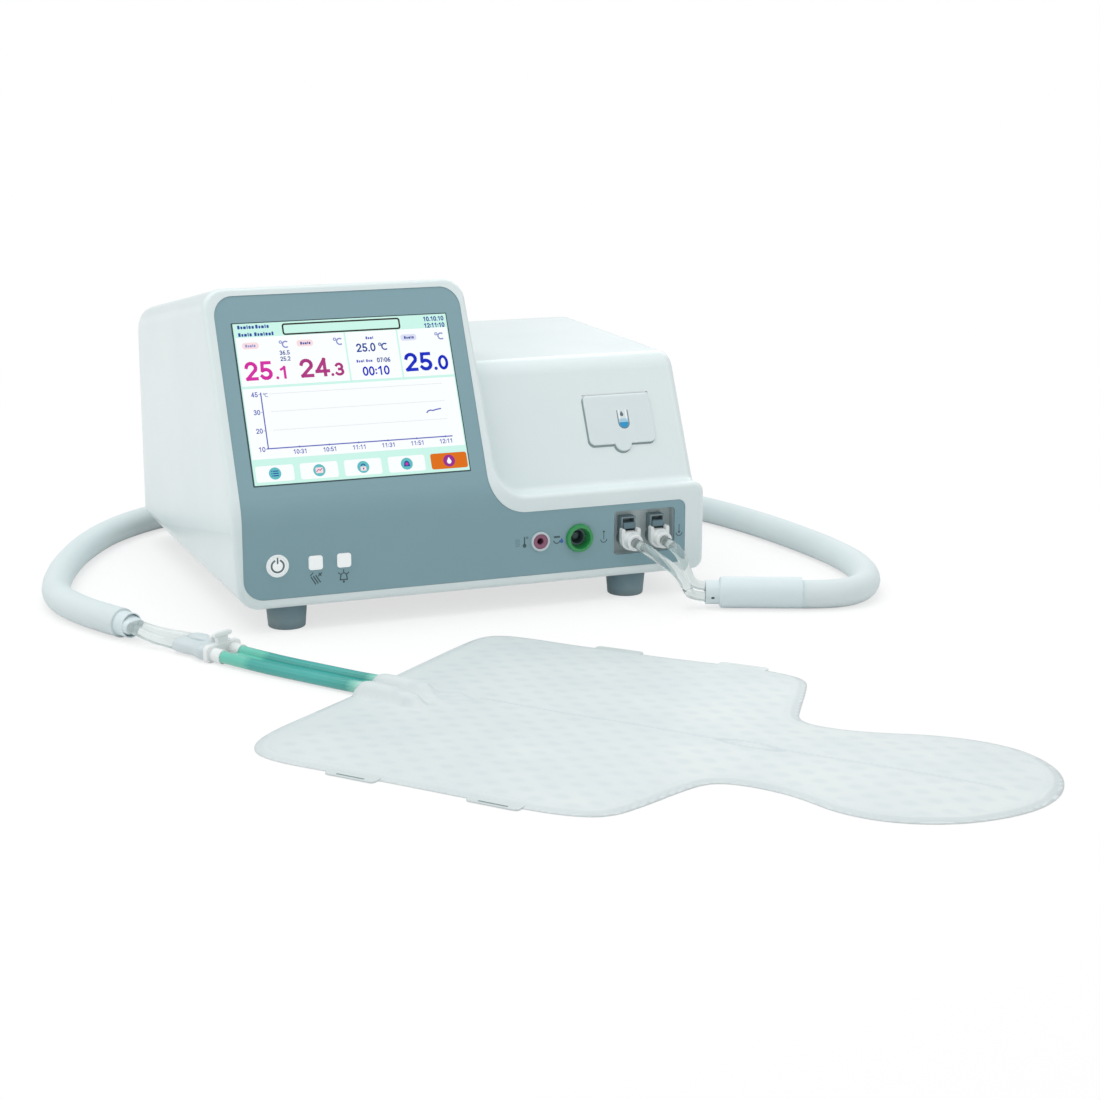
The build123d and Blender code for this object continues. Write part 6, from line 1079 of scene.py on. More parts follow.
@dataclass
class WaterLine:
    """One hose or tube: its route, its size, what it joins and how it looks."""

    node: str
    route: tuple[Point3, ...]
    diameter: float
    length: float
    slot: str = "tube_clear"
    finish: str = "tube_clear"
    far_end: str = "object"
    stiffness: str = "limp"
    on_it: tuple[str, ...] = ()

    def build(self, paints: Paints) -> None:
        """Lays the line as one smooth curve and logs its length.

        Args:
            paints: The device's finishes.
        """
        line = smooth_curve(self.node + "_line", self.route, 14)
        line.data.bevel_depth = self.diameter / 2
        line.data.bevel_resolution = 8
        line.data.use_fill_caps = True
        paints.dress(line, self.finish, self.slot)
        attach(line, ROOT)
        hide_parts(self.node)
        log.info("%s: %.0f mm", line.name, self.length / MM)


# Control points of each line's middle, in metres of the device's frame.
HOSE_LIE = 0.0142       # height of the hose's middle over the table
HOSE_ROUTE: tuple[Point3, ...] = tuple((x, y, HOSE_LIE) for x, y in (
    (0.3208, 0.0190), (0.3468, 0.0083), (0.3818, 0.0140), (0.4088, 0.0440), (0.4268, 0.0920),
    (0.4328, 0.1520), (0.4278, 0.2220), (0.4168, 0.3020), (0.3948, 0.3870), (0.3608, 0.4680),
    (0.3168, 0.5360), (0.2388, 0.5880), (0.1218, 0.6120), (-0.0082, 0.6200), (-0.1252, 0.6120),
    (-0.2012, 0.5800), (-0.2592, 0.5280), (-0.3012, 0.4620), (-0.3332, 0.3890), (-0.3552, 0.3170),
    (-0.3622, 0.2620), (-0.3492, 0.2120), (-0.3352, 0.1800), (-0.3202, 0.1510),
))
SUPPLY_ROUTE: tuple[Point3, ...] = (
    (0.1768, 0.1020, 0.0605), (0.1768, 0.0870, 0.0605), (0.1838, 0.0690, 0.0550), (0.1928, 0.0560, 0.0470),
    (0.2008, 0.0500, 0.0400), (0.2068, 0.0475, 0.0310), (0.2123, 0.0500, 0.0215), (0.2198, 0.0580, 0.0135),
    (0.2329, 0.0554, 0.0105), (0.2449, 0.0504, 0.0105),
)
RETURN_ROUTE: tuple[Point3, ...] = (
    (0.2078, 0.1020, 0.0605), (0.2078, 0.0880, 0.0605), (0.2133, 0.0745, 0.0540), (0.2168, 0.0690, 0.0435),
    (0.2193, 0.0665, 0.0335), (0.2218, 0.0620, 0.0245), (0.2329, 0.0554, 0.0209), (0.2449, 0.0504, 0.0209),
)
FRONT_PAIR_ROUTE: tuple[Point3, ...] = (
    (-0.3240, 0.1473, 0.0142), (-0.3181, 0.1358, 0.0142), (-0.3102, 0.1213, 0.0125),
    (-0.3002, 0.1070, 0.0090), (-0.2894, 0.0966, 0.0070), (-0.2835, 0.0862, 0.0070),
)
BACK_PAIR_ROUTE: tuple[Point3, ...] = (
    (-0.3149, 0.1520, 0.0142), (-0.3089, 0.1405, 0.0142), (-0.2967, 0.1235, 0.0115),
    (-0.2827, 0.1140, 0.0085), (-0.2693, 0.1079, 0.0070), (-0.2634, 0.0974, 0.0070),
)
BAND_MIDDLE: tuple[Point3, ...] = (
    (-0.2426, 0.0369, 0.0070), (-0.2333, 0.0203, 0.0070), (-0.2132, -0.0085, 0.0060),
    (-0.1892, -0.0420, 0.0060), (-0.1702, -0.0690, 0.0060), (-0.1567, -0.0875, 0.0062),
)
FRONT_BAND_ROUTE: tuple[Point3, ...] = (
    (-0.2526, 0.0313, 0.0070), (-0.2430, 0.0142, 0.0070), (-0.2225, -0.0151, 0.0060),
    (-0.1985, -0.0486, 0.0060), (-0.1795, -0.0757, 0.0060), (-0.1660, -0.0943, 0.0062),
    (-0.1512, -0.1130, 0.0065), (-0.1412, -0.1320, 0.0068), (-0.1352, -0.1520, 0.0068),
)
BACK_BAND_ROUTE: tuple[Point3, ...] = (
    (-0.2326, 0.0425, 0.0070), (-0.2235, 0.0264, 0.0070), (-0.2038, -0.0018, 0.0060),
    (-0.1798, -0.0353, 0.0060), (-0.1608, -0.0623, 0.0060), (-0.1474, -0.0807, 0.0062),
    (-0.1352, -0.0940, 0.0065), (-0.1242, -0.1090, 0.0068), (-0.1165, -0.1252, 0.0068),
)
WATER_LINES: tuple[WaterLine, ...] = (
    WaterLine("insulated_hose", HOSE_ROUTE, 0.028, 1.640, "hose_sleeve", "hose_sleeve", "fitting", "medium",
              ("blanket_end_collar",)),
    WaterLine("supply_tube", SUPPLY_ROUTE, 0.010, 0.125),
    WaterLine("return_tube", RETURN_ROUTE, 0.010, 0.088),
    WaterLine("connector_supply_tube", FRONT_PAIR_ROUTE, 0.010, 0.074),
    WaterLine("connector_return_tube", BACK_PAIR_ROUTE, 0.010, 0.077),
    WaterLine("blanket_supply_tube", FRONT_BAND_ROUTE, 0.011, 0.219, "tube_teal", "band_tube"),
    WaterLine("blanket_return_tube", BACK_BAND_ROUTE, 0.011, 0.205, "tube_teal", "band_tube"),
)
# Colours of the band's tubes by the share of the way from the connector to the blanket.
BAND_STOPS = ((0.0, "#7FDCC6"), (0.13, "#6FD2BC"), (0.17, "#3FAFA6"), (0.5, "#43B4AE"), (0.66, "#3DA9A0"),
              (0.70, "#86D5C4"), (0.75, "#DDEBE7"), (1.0, "#E9EFED"))


def fine_line(route: Sequence[Point3]) -> np.ndarray:
    """Points of the smooth line that a route's control points make.

    Args:
        route: Control points in metres.

    Returns:
        One row of x, y and z for each point of the evaluated curve.
    """
    holder = smooth_curve("line", route, 10)
    curve = holder.data
    bpy.context.view_layer.update()
    made = bpy.data.meshes.new_from_object(holder.evaluated_get(bpy.context.evaluated_depsgraph_get()))
    points = np.array([v.co for v in made.vertices])
    bpy.data.objects.remove(holder)
    bpy.data.meshes.remove(made)
    bpy.data.curves.remove(curve)
    return points


@dataclass
class BandWeb:
    """The flat web that joins the blanket's two tubes into one band."""

    paints: Paints
    half_width: float = 0.0115
    edge: float = 0.0034        # thickness at both edges
    waist: float = 0.0019       # thickness in the middle

    def build(self) -> None:
        """Sweeps the web's waisted section along the middle of the band."""
        line = fine_line(BAND_MIDDLE)
        heading = np.gradient(line, axis=0)
        heading[:, 2] = 0
        heading /= np.linalg.norm(heading, axis=1)[:, None]
        side = np.stack([-heading[:, 1], heading[:, 0], np.zeros(len(line))], 1)
        shares = np.linspace(-1, 1, 13)
        thick = self.waist + (self.edge - self.waist) * shares ** 4
        section = [(s, t / 2) for s, t in zip(shares, thick)]
        section += [(s, -t / 2) for s, t in zip(shares[::-1], thick[::-1])]
        mesh = bmesh.new()
        rings = [[mesh.verts.new(p + n * s * self.half_width + np.array((0, 0, h))) for s, h in section]
                 for p, n in zip(line, side)]
        skin(mesh, rings)
        web = as_piece("band_web", mesh)
        self.paints.dress(web, "band_tube", "tube_teal")
        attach(web, ROOT)
        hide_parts("blanket_tube_web")


def heading_plane(start: Point3, heading: Point2) -> Matrix:
    """A level plane at a point, whose x runs along a heading.

    Args:
        start: Its origin in metres.
        heading: Direction of x, of any length.

    Returns:
        The plane's matrix, with z up.
    """
    size = math.hypot(*heading)
    hx, hy = heading[0] / size, heading[1] / size
    return framed(((hx, hy, 0), (-hy, hx, 0), (0, 0, 1)), start)


def lofted(name: str, plane: Matrix, sections: Sequence[Sequence[float]], count: int = 40) -> Piece:
    """Skins rounded sections into one closed piece.

    Args:
        name: Name of the piece.
        plane: Its x runs through the sections and its z is up.
        sections: Of each, its place along x, half its width, its foot, its top and how square it is.
        count: Points round a section.

    Returns:
        The piece, in the scene.
    """
    mesh = bmesh.new()
    rings = []
    for along, half, foot, top, square in sections:
        ring = []
        for k in range(count):
            turn = 2 * math.pi * k / count
            side = math.copysign(abs(math.cos(turn)) ** (2 / square), math.cos(turn))
            rise = math.copysign(abs(math.sin(turn)) ** (2 / square), math.sin(turn))
            spot = Vector((along, half * side, (foot + top) / 2 + (top - foot) / 2 * rise)) * MM
            ring.append(mesh.verts.new(plane @ spot))
        rings.append(ring)
    skin(mesh, rings)
    made = as_piece(name, mesh)
    made.data.set_sharp_from_angle(angle=math.radians(50))
    return made


# Of each section: its place along, half width, foot and top in millimetres, and how square it is.
Section = tuple[float, float, float, float, float]
CONNECTOR_BODY: tuple[Section, ...] = (
    (-0.5, 16.0, 1.6, 12.6, 3.0), (0.6, 17.4, 0.7, 13.7, 3.0), (3.0, 18.2, 0.3, 14.6, 3.0),
    (12.0, 18.2, 0.3, 15.0, 3.0), (22.0, 17.2, 0.3, 14.6, 3.0), (29.0, 17.6, 0.3, 14.6, 3.0),
    (34.0, 20.4, 0.3, 15.4, 3.4), (38.0, 21.0, 0.3, 15.8, 3.6), (43.6, 20.6, 0.4, 15.4, 3.6),
    (45.4, 19.0, 1.4, 14.0, 3.4),
)
CONNECTOR_PARTS: tuple[tuple[str, str, str, tuple[Section, ...]], ...] = (
    ("connector_ridge", "connector_grey", "connector_grey", (
        (5.0, 2.0, 12.0, 15.0, 2.2), (8.0, 6.0, 12.0, 16.8, 2.2), (16.0, 7.6, 12.0, 18.0, 2.2),
        (27.0, 6.6, 12.0, 17.8, 2.2), (33.0, 3.0, 12.0, 15.6, 2.2))),
    # a thin dark slab of painted shade in the gap between the body and the grip's flange
    ("connector_seam", "slot_shade", "connector_grey", (
        (45.2, 18.6, 0.6, 13.2, 3.4), (46.2, 18.6, 0.6, 13.2, 3.4))),
    ("connector_latch", "connector_white", "connector_white", (
        (36.5, 5.0, 14.0, 19.5, 4.0), (37.4, 6.0, 14.0, 21.6, 4.0),
        (40.6, 6.0, 14.0, 21.6, 4.0), (41.6, 5.0, 14.0, 19.5, 4.0))),
    ("connector_grip", "connector_white", "connector_white", (
        (46.6, 9.4, 22.2, 25.4, 4.0), (47.4, 10.6, 21.6, 26.4, 4.0),
        (50.4, 10.6, 21.6, 26.4, 4.0), (51.2, 9.4, 22.2, 25.4, 4.0))),
)
TUBE_SLEEVE: tuple[Section, ...] = (
    (2.0, 10.6, -10.6, 10.6, 2.0), (9.0, 10.6, -10.6, 10.6, 2.0), (11.0, 10.9, -9.6, 9.6, 2.1),
    (14.0, 11.2, -7.6, 7.6, 2.4), (18.0, 11.0, -6.2, 6.2, 2.6), (19.0, 10.4, -5.6, 5.6, 2.6),
)


@dataclass
class Joins:
    """The connector's rounded body, its grips, and the sleeve that gathers the tubes at the hose's end."""

    paints: Paints
    start: Point3 = (-0.27345, 0.0918, 0.0)
    heading: Point2 = (0.4905, -0.8714)
    mouth: Point3 = (-0.3202, 0.1510, 0.0142)
    mouth_heading: Point2 = (0.4594, -0.8882)

    def build(self) -> None:
        """Builds every piece of the two joins."""
        plane = heading_plane(self.start, self.heading)
        body = lofted("connector_body", plane, CONNECTOR_BODY)
        self.paints.dress(body, "connector_grey", "connector_grey")
        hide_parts("hose_connector")
        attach(body, ROOT)
        for name, finish, slot, sections in CONNECTOR_PARTS:
            made = lofted(name, plane, sections)
            self.paints.dress(made, finish, slot)
            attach(made, ROOT)
        sleeve = lofted("tube_sleeve", heading_plane(self.mouth, self.mouth_heading), TUBE_SLEEVE)
        self.paints.dress(sleeve, "cuff_white", "cuff_white")
        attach(sleeve, ROOT)


# Corners of the blanket along and across its own axis, in millimetres from the middle of its foot.
BLANKET_OUTLINE: tuple[Point2, ...] = (
    (-9, -110), (-6, -30), (-6, 60), (-6, 140), (-3, 176), (14, 189), (45, 192), (80, 192), (130, 195),
    (185, 198), (240, 206), (286, 206), (316, 197), (328, 165), (342, 120), (354, 85), (390, 82), (425, 91),
    (460, 106), (505, 113), (545, 104), (581, 72), (597, 30), (595, -12), (576, -50), (545, -82),
    (503, -100), (462, -99), (425, -82), (385, -77), (355, -84), (344, -112), (334, -155), (322, -190),
    (292, -203), (250, -206), (200, -206), (140, -206), (80, -208), (36, -209), (10, -201), (-5, -180),
    (-10, -150),
)


@dataclass(frozen=True)
class Weld:
    """How one kind of weld draws the film down, and how strongly it shows."""

    pull: float     # how strongly it draws the film down
    flat: float     # distance from its middle over which it pulls fully
    fade: float     # distance over which the pull fades
    shade: float
    width: float    # distance from its middle at which the shade ends

    def press(self, away: np.ndarray, share: float) -> tuple[np.ndarray, np.ndarray]:
        """Pull and shade at points some way from the weld's middle."""
        pull = self.pull * share * np.exp(-np.clip(away - self.flat, 0, None) / self.fade)
        return pull, self.shade * share * np.clip(self.width - away, 0, 1)


SPOT_WELD = Weld(0.09, 0.8, 1 / 1.1, 0.33, 1.9)
SEAM_WELD = Weld(0.22, 0.8, 2.6, 0.75, 1.6)
RING_WELD = Weld(0.28, 0.7, 2.2, 0.9, 1.7)
# Name of each strap tab, its place along and across, and the side that it is on.
TABS: tuple[tuple[str, float, float, int], ...] = (
    ("strap_tab_far_1", 130.0, 197.5, 1), ("strap_tab_far_2", 250.0, 207.5, 1),
    ("strap_tab_near_1", 108.0, -210.0, -1), ("strap_tab_near_2", 234.0, -208.0, -1),
)


@dataclass
class Blanket:
    """The water blanket: two welded films with a thin layer of water between; sizes in millimetres."""

    paints: Paints
    console: Console
    foot_x: float = 84.0
    foot_y: float = -194.0
    axis: Point2 = (0.639, -0.769)
    thickness: float = 5.6
    rim: float = 5.0
    film: float = 0.8
    pitch: float = 25.0
    row_share: float = 0.62     # of the pitch, from one row of spot welds to the next
    rows: Point2 = (26.0, 590.0)        # from where to where the spot welds lie, along
    columns: Point2 = (-200.0, 205.0)   # and across
    spot_margin: float = 9.0    # from the rim's weld to the nearest spot weld
    bare: Point2 = (100.0, 9.0)         # length and half width of the strip by the foot with no spot welds
    cell: float = 3.2
    corner_cut: float = 30.0
    shoulder: float = 4.0       # distance behind the rim over which the film first rises
    swell: float = 60.0         # distance behind the rim at which it reaches its full height
    spot: Point2 = (4.6, 3.0)   # size of a spot weld, along and across
    spot_reach: float = 4.5     # in sizes of a spot weld
    seams: tuple[tuple[Point2, Point2], ...] = (((100, 0), (320, 0)), ((378, 2), (560, 2)))
    eye: tuple[Point2, Point2] = ((349, 0), (26.0, 6.0))            # middle and half sizes
    diamond: tuple[Point2, Point2] = ((76, -8), (24.0, 12.0))       # middle and half sizes
    second_line: float = 6.5    # from the rim's weld to the fainter line behind it
    lap: float = 6.5            # height of the film over a tube's middle
    lap_width: float = 14.0     # from a tube's middle to where the film lies flat again
    lap_flat: float = 2.5       # from a tube's middle to where the film starts to fall
    tab: Point3 = (46.0, 16.0, 4.0)     # length, width and corner radius
    slot: Point3 = (26.0, 1.9, 0.9)     # the same of the slot in it
    far_tilt: float = 0.06      # slope of the far tabs, which follow the edge there
    lift: float = 0.2           # clearance to the table

    def heading(self) -> Point2:
        """The blanket's axis as a unit direction."""
        ax, ay = self.axis
        size = math.hypot(ax, ay)
        return ax / size, ay / size

    def placed(self, along: np.ndarray, across: np.ndarray) -> tuple[np.ndarray, np.ndarray]:
        """Turns the blanket's own measures into metres of the device's frame."""
        ax, ay = self.heading()
        x = self.console.left + (self.foot_x + along * ax - across * ay) * MM
        y = self.console.front + (self.foot_y + along * ay + across * ax) * MM
        return x, y

    def own(self, points: Iterable[Point3]) -> np.ndarray:
        """Turns points of the frame into the blanket's own measures, with height, in millimetres."""
        ax, ay = self.heading()
        rows = []
        for px, py, pz in points:
            dx = (px - self.console.left) / MM - self.foot_x
            dy = (py - self.console.front) / MM - self.foot_y
            rows.append((dx * ax + dy * ay, -dx * ay + dy * ax, pz / MM))
        return np.array(rows)

    def outline(self) -> np.ndarray:
        """The blanket's edge with soft corners, as points about 3 mm apart."""
        corners = np.array(BLANKET_OUTLINE, float)
        count = len(corners)
        points = []
        for k in range(count):
            here, before, after = corners[k], corners[k - 1], corners[(k + 1) % count]
            reach_in = min(self.corner_cut, np.linalg.norm(here - before) / 2)
            reach_out = min(self.corner_cut, np.linalg.norm(after - here) / 2)
            start = here + (before - here) / np.linalg.norm(before - here) * reach_in
            end = here + (after - here) / np.linalg.norm(after - here) * reach_out
            for t in np.linspace(0, 1, 9):
                points.append((1 - t) ** 2 * start + 2 * t * (1 - t) * here + t ** 2 * end)
        even = []
        for first, second in zip(points, points[1:] + points[:1]):
            run = np.linalg.norm(second - first)
            if run < 0.4:
                continue
            for t in np.arange(0, 1, 1 / max(1, round(run / self.cell))):
                even.append(first + (second - first) * t)
        return np.array(even)

    @staticmethod
    def from_lines(points: np.ndarray, starts: np.ndarray, ends: np.ndarray) -> np.ndarray:
        """Distance from each point to the nearest of some straight runs, in the plane."""
        nearest = np.full(len(points), 1e9)
        for a, b in zip(starts, ends):
            run = b - a
            t = np.clip(((points - a) @ run) / max(run @ run, 1e-9), 0, 1)
            nearest = np.minimum(nearest, np.linalg.norm(points - (a + t[:, None] * run), axis=1))
        return nearest

    @staticmethod
    def within(points: np.ndarray, edge: np.ndarray) -> np.ndarray:
        """Which points lie inside a closed outline, by counting its crossings to one side."""
        inside = np.zeros(len(points), bool)
        for a, b in zip(edge, np.roll(edge, -1, axis=0)):
            if a[1] == b[1]:
                continue
            spans = (a[1] > points[:, 1]) != (b[1] > points[:, 1])
            reach = a[0] + (points[:, 1] - a[1]) * (b[0] - a[0]) / (b[1] - a[1])
            inside ^= spans & (points[:, 0] < reach)
        return inside

    def dimples(self) -> np.ndarray:
        """Middles of the spot welds, in staggered rows inside the rim."""
        spots = []
        for row, along in enumerate(np.arange(*self.rows, self.pitch * self.row_share)):
            shift = self.pitch / 2 if row % 2 else 0.0
            for across in np.arange(self.columns[0] + shift, self.columns[1], self.pitch):
                spots.append((along, across))
        return np.array(spots)

    def inward(self, points: np.ndarray, edge: np.ndarray) -> np.ndarray:
        """How far each point lies from the outline."""
        return self.from_lines(points, edge, np.roll(edge, -1, axis=0))

    def welds(self, points: np.ndarray, edge: np.ndarray) -> Iterator[tuple[Weld, np.ndarray, float]]:
        """Every weld but the rim's: its kind, how far each point is from it, and its strength."""
        spots = self.dimples()
        clear = self.inward(spots, edge) > self.rim + self.spot_margin
        bare = (np.abs(spots[:, 1]) < self.bare[1]) & (spots[:, 0] < self.bare[0])
        for along, across in spots[clear & ~bare]:
            far = np.hypot((points[:, 0] - along) / self.spot[0], (points[:, 1] - across) / self.spot[1])
            yield SPOT_WELD, np.where(far < self.spot_reach, far, np.inf), 1.0
        for start, end in self.seams:
            yield SEAM_WELD, self.from_lines(points, np.array([start], float), np.array([end], float)), 1.0
        middle, half = self.eye
        yield RING_WELD, np.abs(np.hypot(*((points - middle) / half).T) - 1) * 6.0, 1.0
        middle, half = self.diamond
        yield RING_WELD, np.abs(np.abs((points - middle) / half).sum(1) - 1) * 9.0, 0.45

    def surface(self, points: np.ndarray, edge: np.ndarray) -> tuple[np.ndarray, np.ndarray]:
        """Height of the upper film, and how much each point belongs to a weld.

        Args:
            points: Rows of along and across.
            edge: The outline's points.

        Returns:
            Heights in millimetres, and weld shares from 0 to 1.
        """
        inward = self.inward(points, edge)
        shoulder = np.clip((inward - self.rim) / self.shoulder, 0, 1)
        full = np.clip((inward - self.rim) / self.swell, 0, 1)
        puff = 0.4 * np.sqrt(shoulder * (2 - shoulder)) + 0.6 * full * full * (3 - 2 * full)
        second = np.exp(-((inward - self.rim - self.second_line) / 1.2) ** 2)
        pinch, core = 0.3 * second, 0.22 * second
        for weld, away, share in self.welds(points, edge):
            pull, shade = weld.press(away, share)
            pinch, core = np.maximum(pinch, pull), np.maximum(core, shade)
        rim_weld = 0.42 * np.exp(-((inward - self.rim + 0.6) / 2.0) ** 2)
        roll = (np.sin(points[:, 0] / 37.0 + 0.6) * np.cos(points[:, 1] / 43.0)
                + 0.5 * np.sin(points[:, 0] / 17.0 - points[:, 1] / 23.0))
        height = self.film + (self.thickness - self.film) * puff * (1 - 0.6 * pinch)
        height += 0.28 * puff * roll
        return np.maximum(height, self.film), np.clip(np.maximum(rim_weld, core), 0, 1)

    def wrapped(self, points: np.ndarray, height: np.ndarray) -> np.ndarray:
        """Raises the upper film where it wraps the last run of each tube."""
        for route in (FRONT_BAND_ROUTE, BACK_BAND_ROUTE):
            line = self.own(fine_line(route))
            line = line[line[:, 0] > -8]
            ahead = line[-1] - line[-2]
            ahead = ahead / np.linalg.norm(ahead)
            line = np.vstack([line, [line[-1] + ahead * step - (0, 0, step * 0.5) for step in (4, 9)]])
            for first, second in zip(line, line[1:]):
                run = second[:2] - first[:2]
                t = np.clip(((points - first[:2]) @ run) / (run @ run), 0, 1)
                away = np.linalg.norm(points - (first[:2] + t[:, None] * run), axis=1)
                level = first[2] + (second[2] - first[2]) * t
                lap = np.clip((first[0] + 6) / 10, 0, 1)
                fall = np.clip(away - self.lap_flat, 0, 40) ** 2 / 8.0
                ridge = level + self.lap - (1 - lap) * 9 - fall
                height = np.where(away < self.lap_width, np.maximum(height, ridge), height)
        return height

    def build(self) -> None:
        """Builds both films as one closed bag."""
        edge = self.outline()
        low, high = edge.min(0), edge.max(0)
        rows = []
        for row, along in enumerate(np.arange(low[0], high[0], self.cell * 0.866)):
            across = np.arange(low[1] + (self.cell / 2 if row % 2 else 0), high[1], self.cell)
            rows.append(np.stack([np.full(len(across), along), across], 1))
        grid = np.concatenate(rows)
        clear = self.inward(grid, edge) > self.cell * 0.45
        grid = grid[clear & self.within(grid, edge)]
        loop = [Vector(p) for p in edge]
        given = loop + [Vector(p) for p in grid]
        verts, _, faces, *_ = delaunay_2d_cdt(given, [], [list(range(len(loop)))], 1, 1e-6)
        flat = np.array([(v.x, v.y) for v in verts])
        height, weld = self.surface(flat, edge)
        height = self.wrapped(flat, height)
        x, y = self.placed(flat[:, 0], flat[:, 1])
        on_edge = self.inward(flat, edge) < 1e-3
        mesh = bmesh.new()
        layer = mesh.verts.layers.float.new("weld")
        top = [mesh.verts.new((px, py, h * MM)) for px, py, h in zip(x, y, height)]
        base = [mesh.verts.new((px, py, self.lift * MM)) for px, py in zip(x, y)]
        for upper, lower, share in zip(top, base, weld):
            upper[layer] = share
            lower[layer] = share
        for face in faces:
            mesh.faces.new([top[k] for k in face])
            mesh.faces.new([base[k] for k in reversed(face)])
        rim = [e for e in mesh.edges if e.is_boundary and e.verts[0].co.z > self.film * MM / 2]
        pairs = {upper: lower for upper, lower, near in zip(top, base, on_edge) if near}
        for side in rim:
            a, b = side.verts
            if a in pairs and b in pairs:
                mesh.faces.new((a, b, pairs[b], pairs[a]))
        bmesh.ops.recalc_face_normals(mesh, faces=mesh.faces)
        bag = as_piece("water_blanket", mesh)
        self.paints.dress(bag, "blanket_film", "blanket_film")
        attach(bag, ROOT)
        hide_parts("blanket")

    def tabs(self) -> None:
        """Builds the four strap tabs, each a stiff welded strip with its slot drawn as a slab: painted shade
        on the near side, film colour on the far side.
        """
        origin = self.placed(np.array([0.0]), np.array([0.0]))
        plane = heading_plane((origin[0][0], origin[1][0], 0.0003), self.axis)
        for name, middle, across, side in TABS:
            marks = Inlay(name, plane, self.paints)
            tilt = self.far_tilt if side > 0 else 0.0
            # the near tabs' slots are painted shade; the far tabs' slots take the film's colour
            for sizes, shift, finish, layer in (
                    (self.tab, -4.0, "tab_film", 20),
                    (self.slot, 0.6, "slot_shade" if side < 0 else "tab_film", 22)):
                marks.slab([(middle + x, across + side * shift + y + tilt * x)
                            for x, y in Inlay.rounded(0, 0, *sizes)], finish, layer)
            marks.piece(ROOT, "blanket_film")


OTHER_FINISHES = {"probe_socket": "jack_pink", "probe_socket_ring": "ring_pale"}


@dataclass
class Dressing:
    """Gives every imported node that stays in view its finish."""

    paints: Paints

    def build(self) -> None:
        """Dresses each node by its slot in the record, or by the other finish that is set for it."""
        for part in frame["record"]["subparts"]:
            node = frame["nodes"][part["node"]]
            name = OTHER_FINISHES.get(part["node"], part["material_slot"])
            if node.hide_render or name not in self.paints.known:
                continue
            for slot in node.material_slots:
                slot.material = self.paints.get(name)
            if not node.material_slots:
                node.data.materials.append(self.paints.get(name))


# Name, place, aim, size and power of each lamp, in metres and watts.
LAMPS: tuple[tuple[str, Point3, Point3, float, float], ...] = (
    ("top_light", (-0.5, 0.2, 2.6), (0.0, 0.1, 0.1), 2.4, 34.0),
    ("side_light", (-2.4, -0.2, 1.3), (0.0, 0.2, 0.15), 1.6, 7.0),
    ("rear_light", (1.6, 2.2, 1.6), (0.0, 0.2, 0.1), 1.6, 10.0),
    ("fill_light", (2.0, -0.9, 1.2), (0.1, 0.2, 0.15), 1.4, 5.5),
)


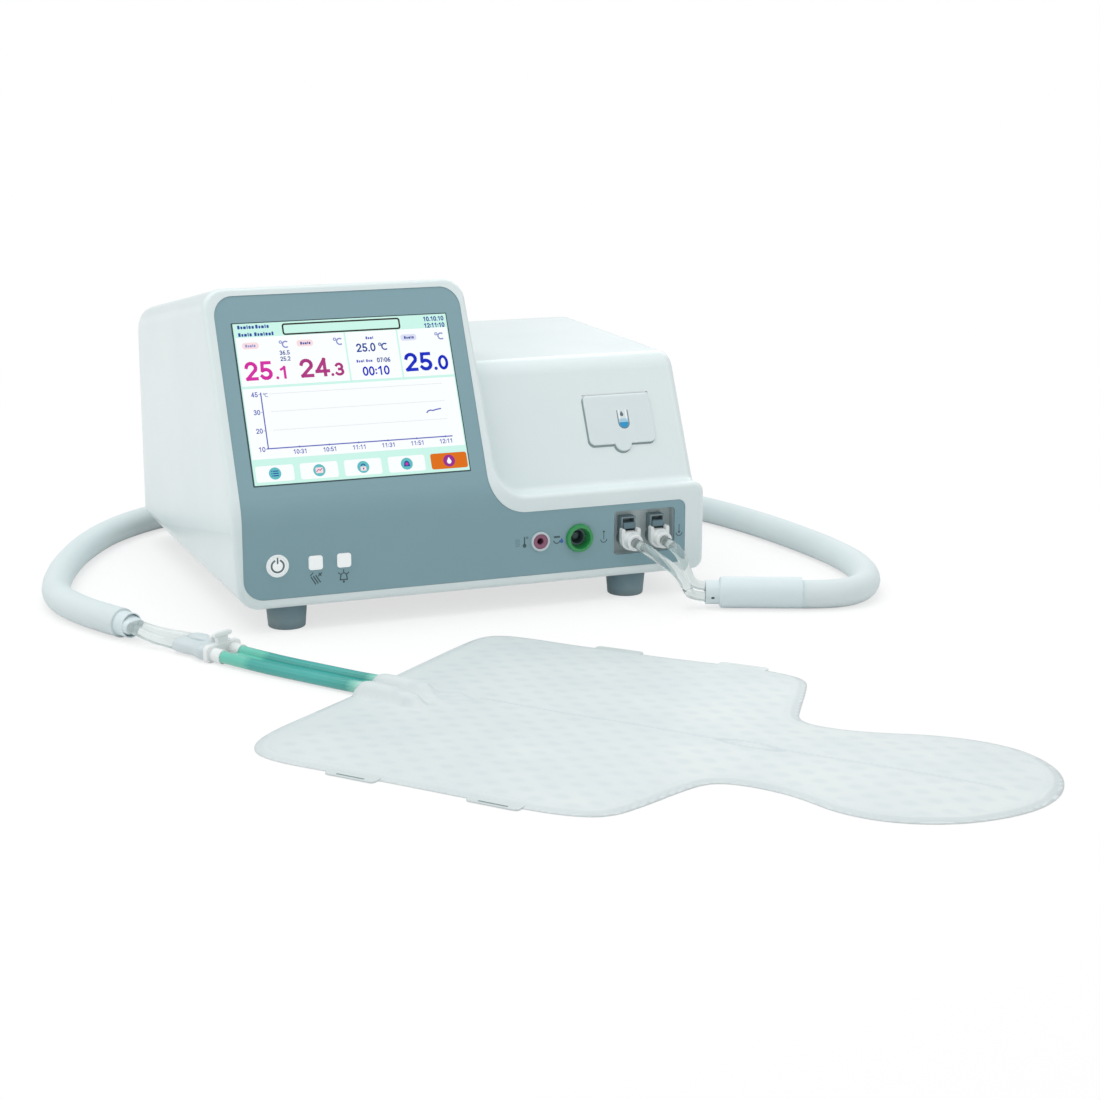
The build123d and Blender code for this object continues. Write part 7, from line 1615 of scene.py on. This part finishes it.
@dataclass
class Studio:
    """Camera, floor and light."""

    lens: float = 74.28
    place: Point3 = (-0.68846, -1.89429, 0.58845)
    turn: float = 0.371166      # radians to the right of straight back
    dip: float = 0.241906       # radians below level
    roll: float = 0.0024623     # radians about the line of sight
    whiteness: float = 0.66     # share of plain white in the floor under the device
    fade: Point2 = (0.7, 1.7)   # metres from the middle, from where to where the floor turns white
    paper: tuple[float, ...] = (0.97, 0.97, 0.97, 1.0)
    unseen: tuple[float, ...] = (0.80, 0.81, 0.81, 1.0)     # the floor as the lights find it
    sensor: float = 36.0
    floor_size: float = 40.0

    def camera(self) -> None:
        """Sets the camera at the photograph's place and angle."""
        data = bpy.data.cameras.new("camera")
        data.lens, data.sensor_width = self.lens, self.sensor
        data.clip_end = 100.0
        ahead = Vector((math.sin(self.turn) * math.cos(self.dip), math.cos(self.turn) * math.cos(self.dip),
                        -math.sin(self.dip)))
        right = Vector((math.cos(self.turn), -math.sin(self.turn), 0))
        up = right.cross(ahead)
        level = right * math.cos(self.roll) + up * math.sin(self.roll)
        upright = up * math.cos(self.roll) - right * math.sin(self.roll)
        camera = bpy.data.objects.new("camera", data)
        camera.matrix_world = framed((level, upright, -ahead), self.place)
        bpy.context.scene.collection.objects.link(camera)
        bpy.context.scene.camera = camera

    def floor(self) -> None:
        """Lays a wide pale floor that keeps the device's shadow."""
        mesh = bmesh.new()
        bmesh.ops.create_grid(mesh, x_segments=2, y_segments=2, size=self.floor_size)
        floor = as_piece("floor", mesh, smooth=False)
        made, sheet = fresh_material("floor_paper")
        path = sheet.add("ShaderNodeLightPath").outputs
        glossy = sheet.joined("ADD", path["Is Camera Ray"], path["Is Glossy Ray"])
        seen = sheet.joined("ADD", glossy, path["Is Transmission Ray"], use_clamp=True)
        colour = sheet.mixed(seen, self.unseen, self.paper)
        shader = sheet.add("ShaderNodeBsdfPrincipled", {
            "Base Color": colour, "Roughness": 0.9, "Specular IOR Level": 0.0})
        white = sheet.add("ShaderNodeEmission", {"Color": (1.0, 1.0, 1.0, 1.0), "Strength": 1.0})
        away = sheet.add("ShaderNodeVectorMath", {
            0: sheet.add("ShaderNodeTexCoord").outputs["Object"]}, operation="LENGTH")
        reach = sheet.ranged(away.outputs["Value"], *self.fade, self.whiteness,
                             interpolation_type="SMOOTHSTEP")
        share = sheet.joined("MULTIPLY", seen, reach)
        paper = sheet.add("ShaderNodeMixShader", {
            0: share, 1: shader.outputs["BSDF"], 2: white.outputs["Emission"]})
        sheet.add("ShaderNodeOutputMaterial", {"Surface": paper.outputs["Shader"]})
        floor.data.materials.append(made)

    def world(self) -> None:
        """Surrounds the scene with even white light, brighter where the camera sees it."""
        world = bpy.data.worlds.new("studio")
        bpy.context.scene.world = world
        world.use_nodes = True
        sheet = Sheet(world.node_tree)
        sheet.tree.nodes.clear()
        path = sheet.add("ShaderNodeLightPath")
        strength = sheet.ranged(path.outputs["Is Camera Ray"], start=0.6)
        back = sheet.add("ShaderNodeBackground", {"Color": (1.0, 1.0, 1.0, 1.0), "Strength": strength})
        sheet.add("ShaderNodeOutputWorld", {"Surface": back.outputs["Background"]})

    def lamp(self, name: str, place: Point3, aim: Point3, size: float, power: float) -> None:
        """Hangs one soft square lamp.

        Args:
            name: The lamp's name.
            place: Where it hangs.
            aim: What it faces.
            size: Its side in metres.
            power: Its power in watts.
        """
        data = bpy.data.lights.new(name, "AREA")
        data.size, data.energy = size, power
        lamp = bpy.data.objects.new(name, data)
        lamp.location = place
        lamp.rotation_mode = "QUATERNION"
        lamp.rotation_quaternion = (Vector(aim) - Vector(place)).to_track_quat("-Z", "Y")
        bpy.context.scene.collection.objects.link(lamp)

    def build(self) -> None:
        """Sets up everything that isn't the device."""
        bpy.context.scene.view_settings.view_transform = "Standard"
        self.camera()
        self.floor()
        self.world()
        for name, place, aim, size, power in LAMPS:
            self.lamp(name, place, aim, size, power)


def band_finish() -> RampFinish:
    """The teal band's finish, whose colours follow the band from the nipples to the blanket."""
    start, end = Vector(BAND_MIDDLE[0]), Vector(FRONT_BAND_ROUTE[-1])
    run = Vector((end.x - start.x, end.y - start.y, 0))
    return RampFinish("band_tube", "#3FAFA6", "#48B7AE", 0.22, Grain.CREASED, 60.0, 0.0001, mottle=0.25,
                      coat=0.4, clear=0.1, start=tuple(start), heading=tuple(run.normalized()),
                      reach=run.length, stops=BAND_STOPS)


def main() -> None:
    """Builds the looks of the device, piece by piece."""
    logging.basicConfig(level=logging.INFO, format="%(name)s %(message)s")
    Studio().build()
    paints = Paints()
    console = Console()
    for line in WATER_LINES:
        line.build(paints)
    BandWeb(paints).build()
    Joins(paints).build()
    blanket = Blanket(paints, console)
    blanket.build()
    blanket.tabs()
    ScreenPicture(paints, console).build()
    PanelMarks(paints, console).build()
    Dressing(paints).build()


if __name__ == "__main__":
    main()
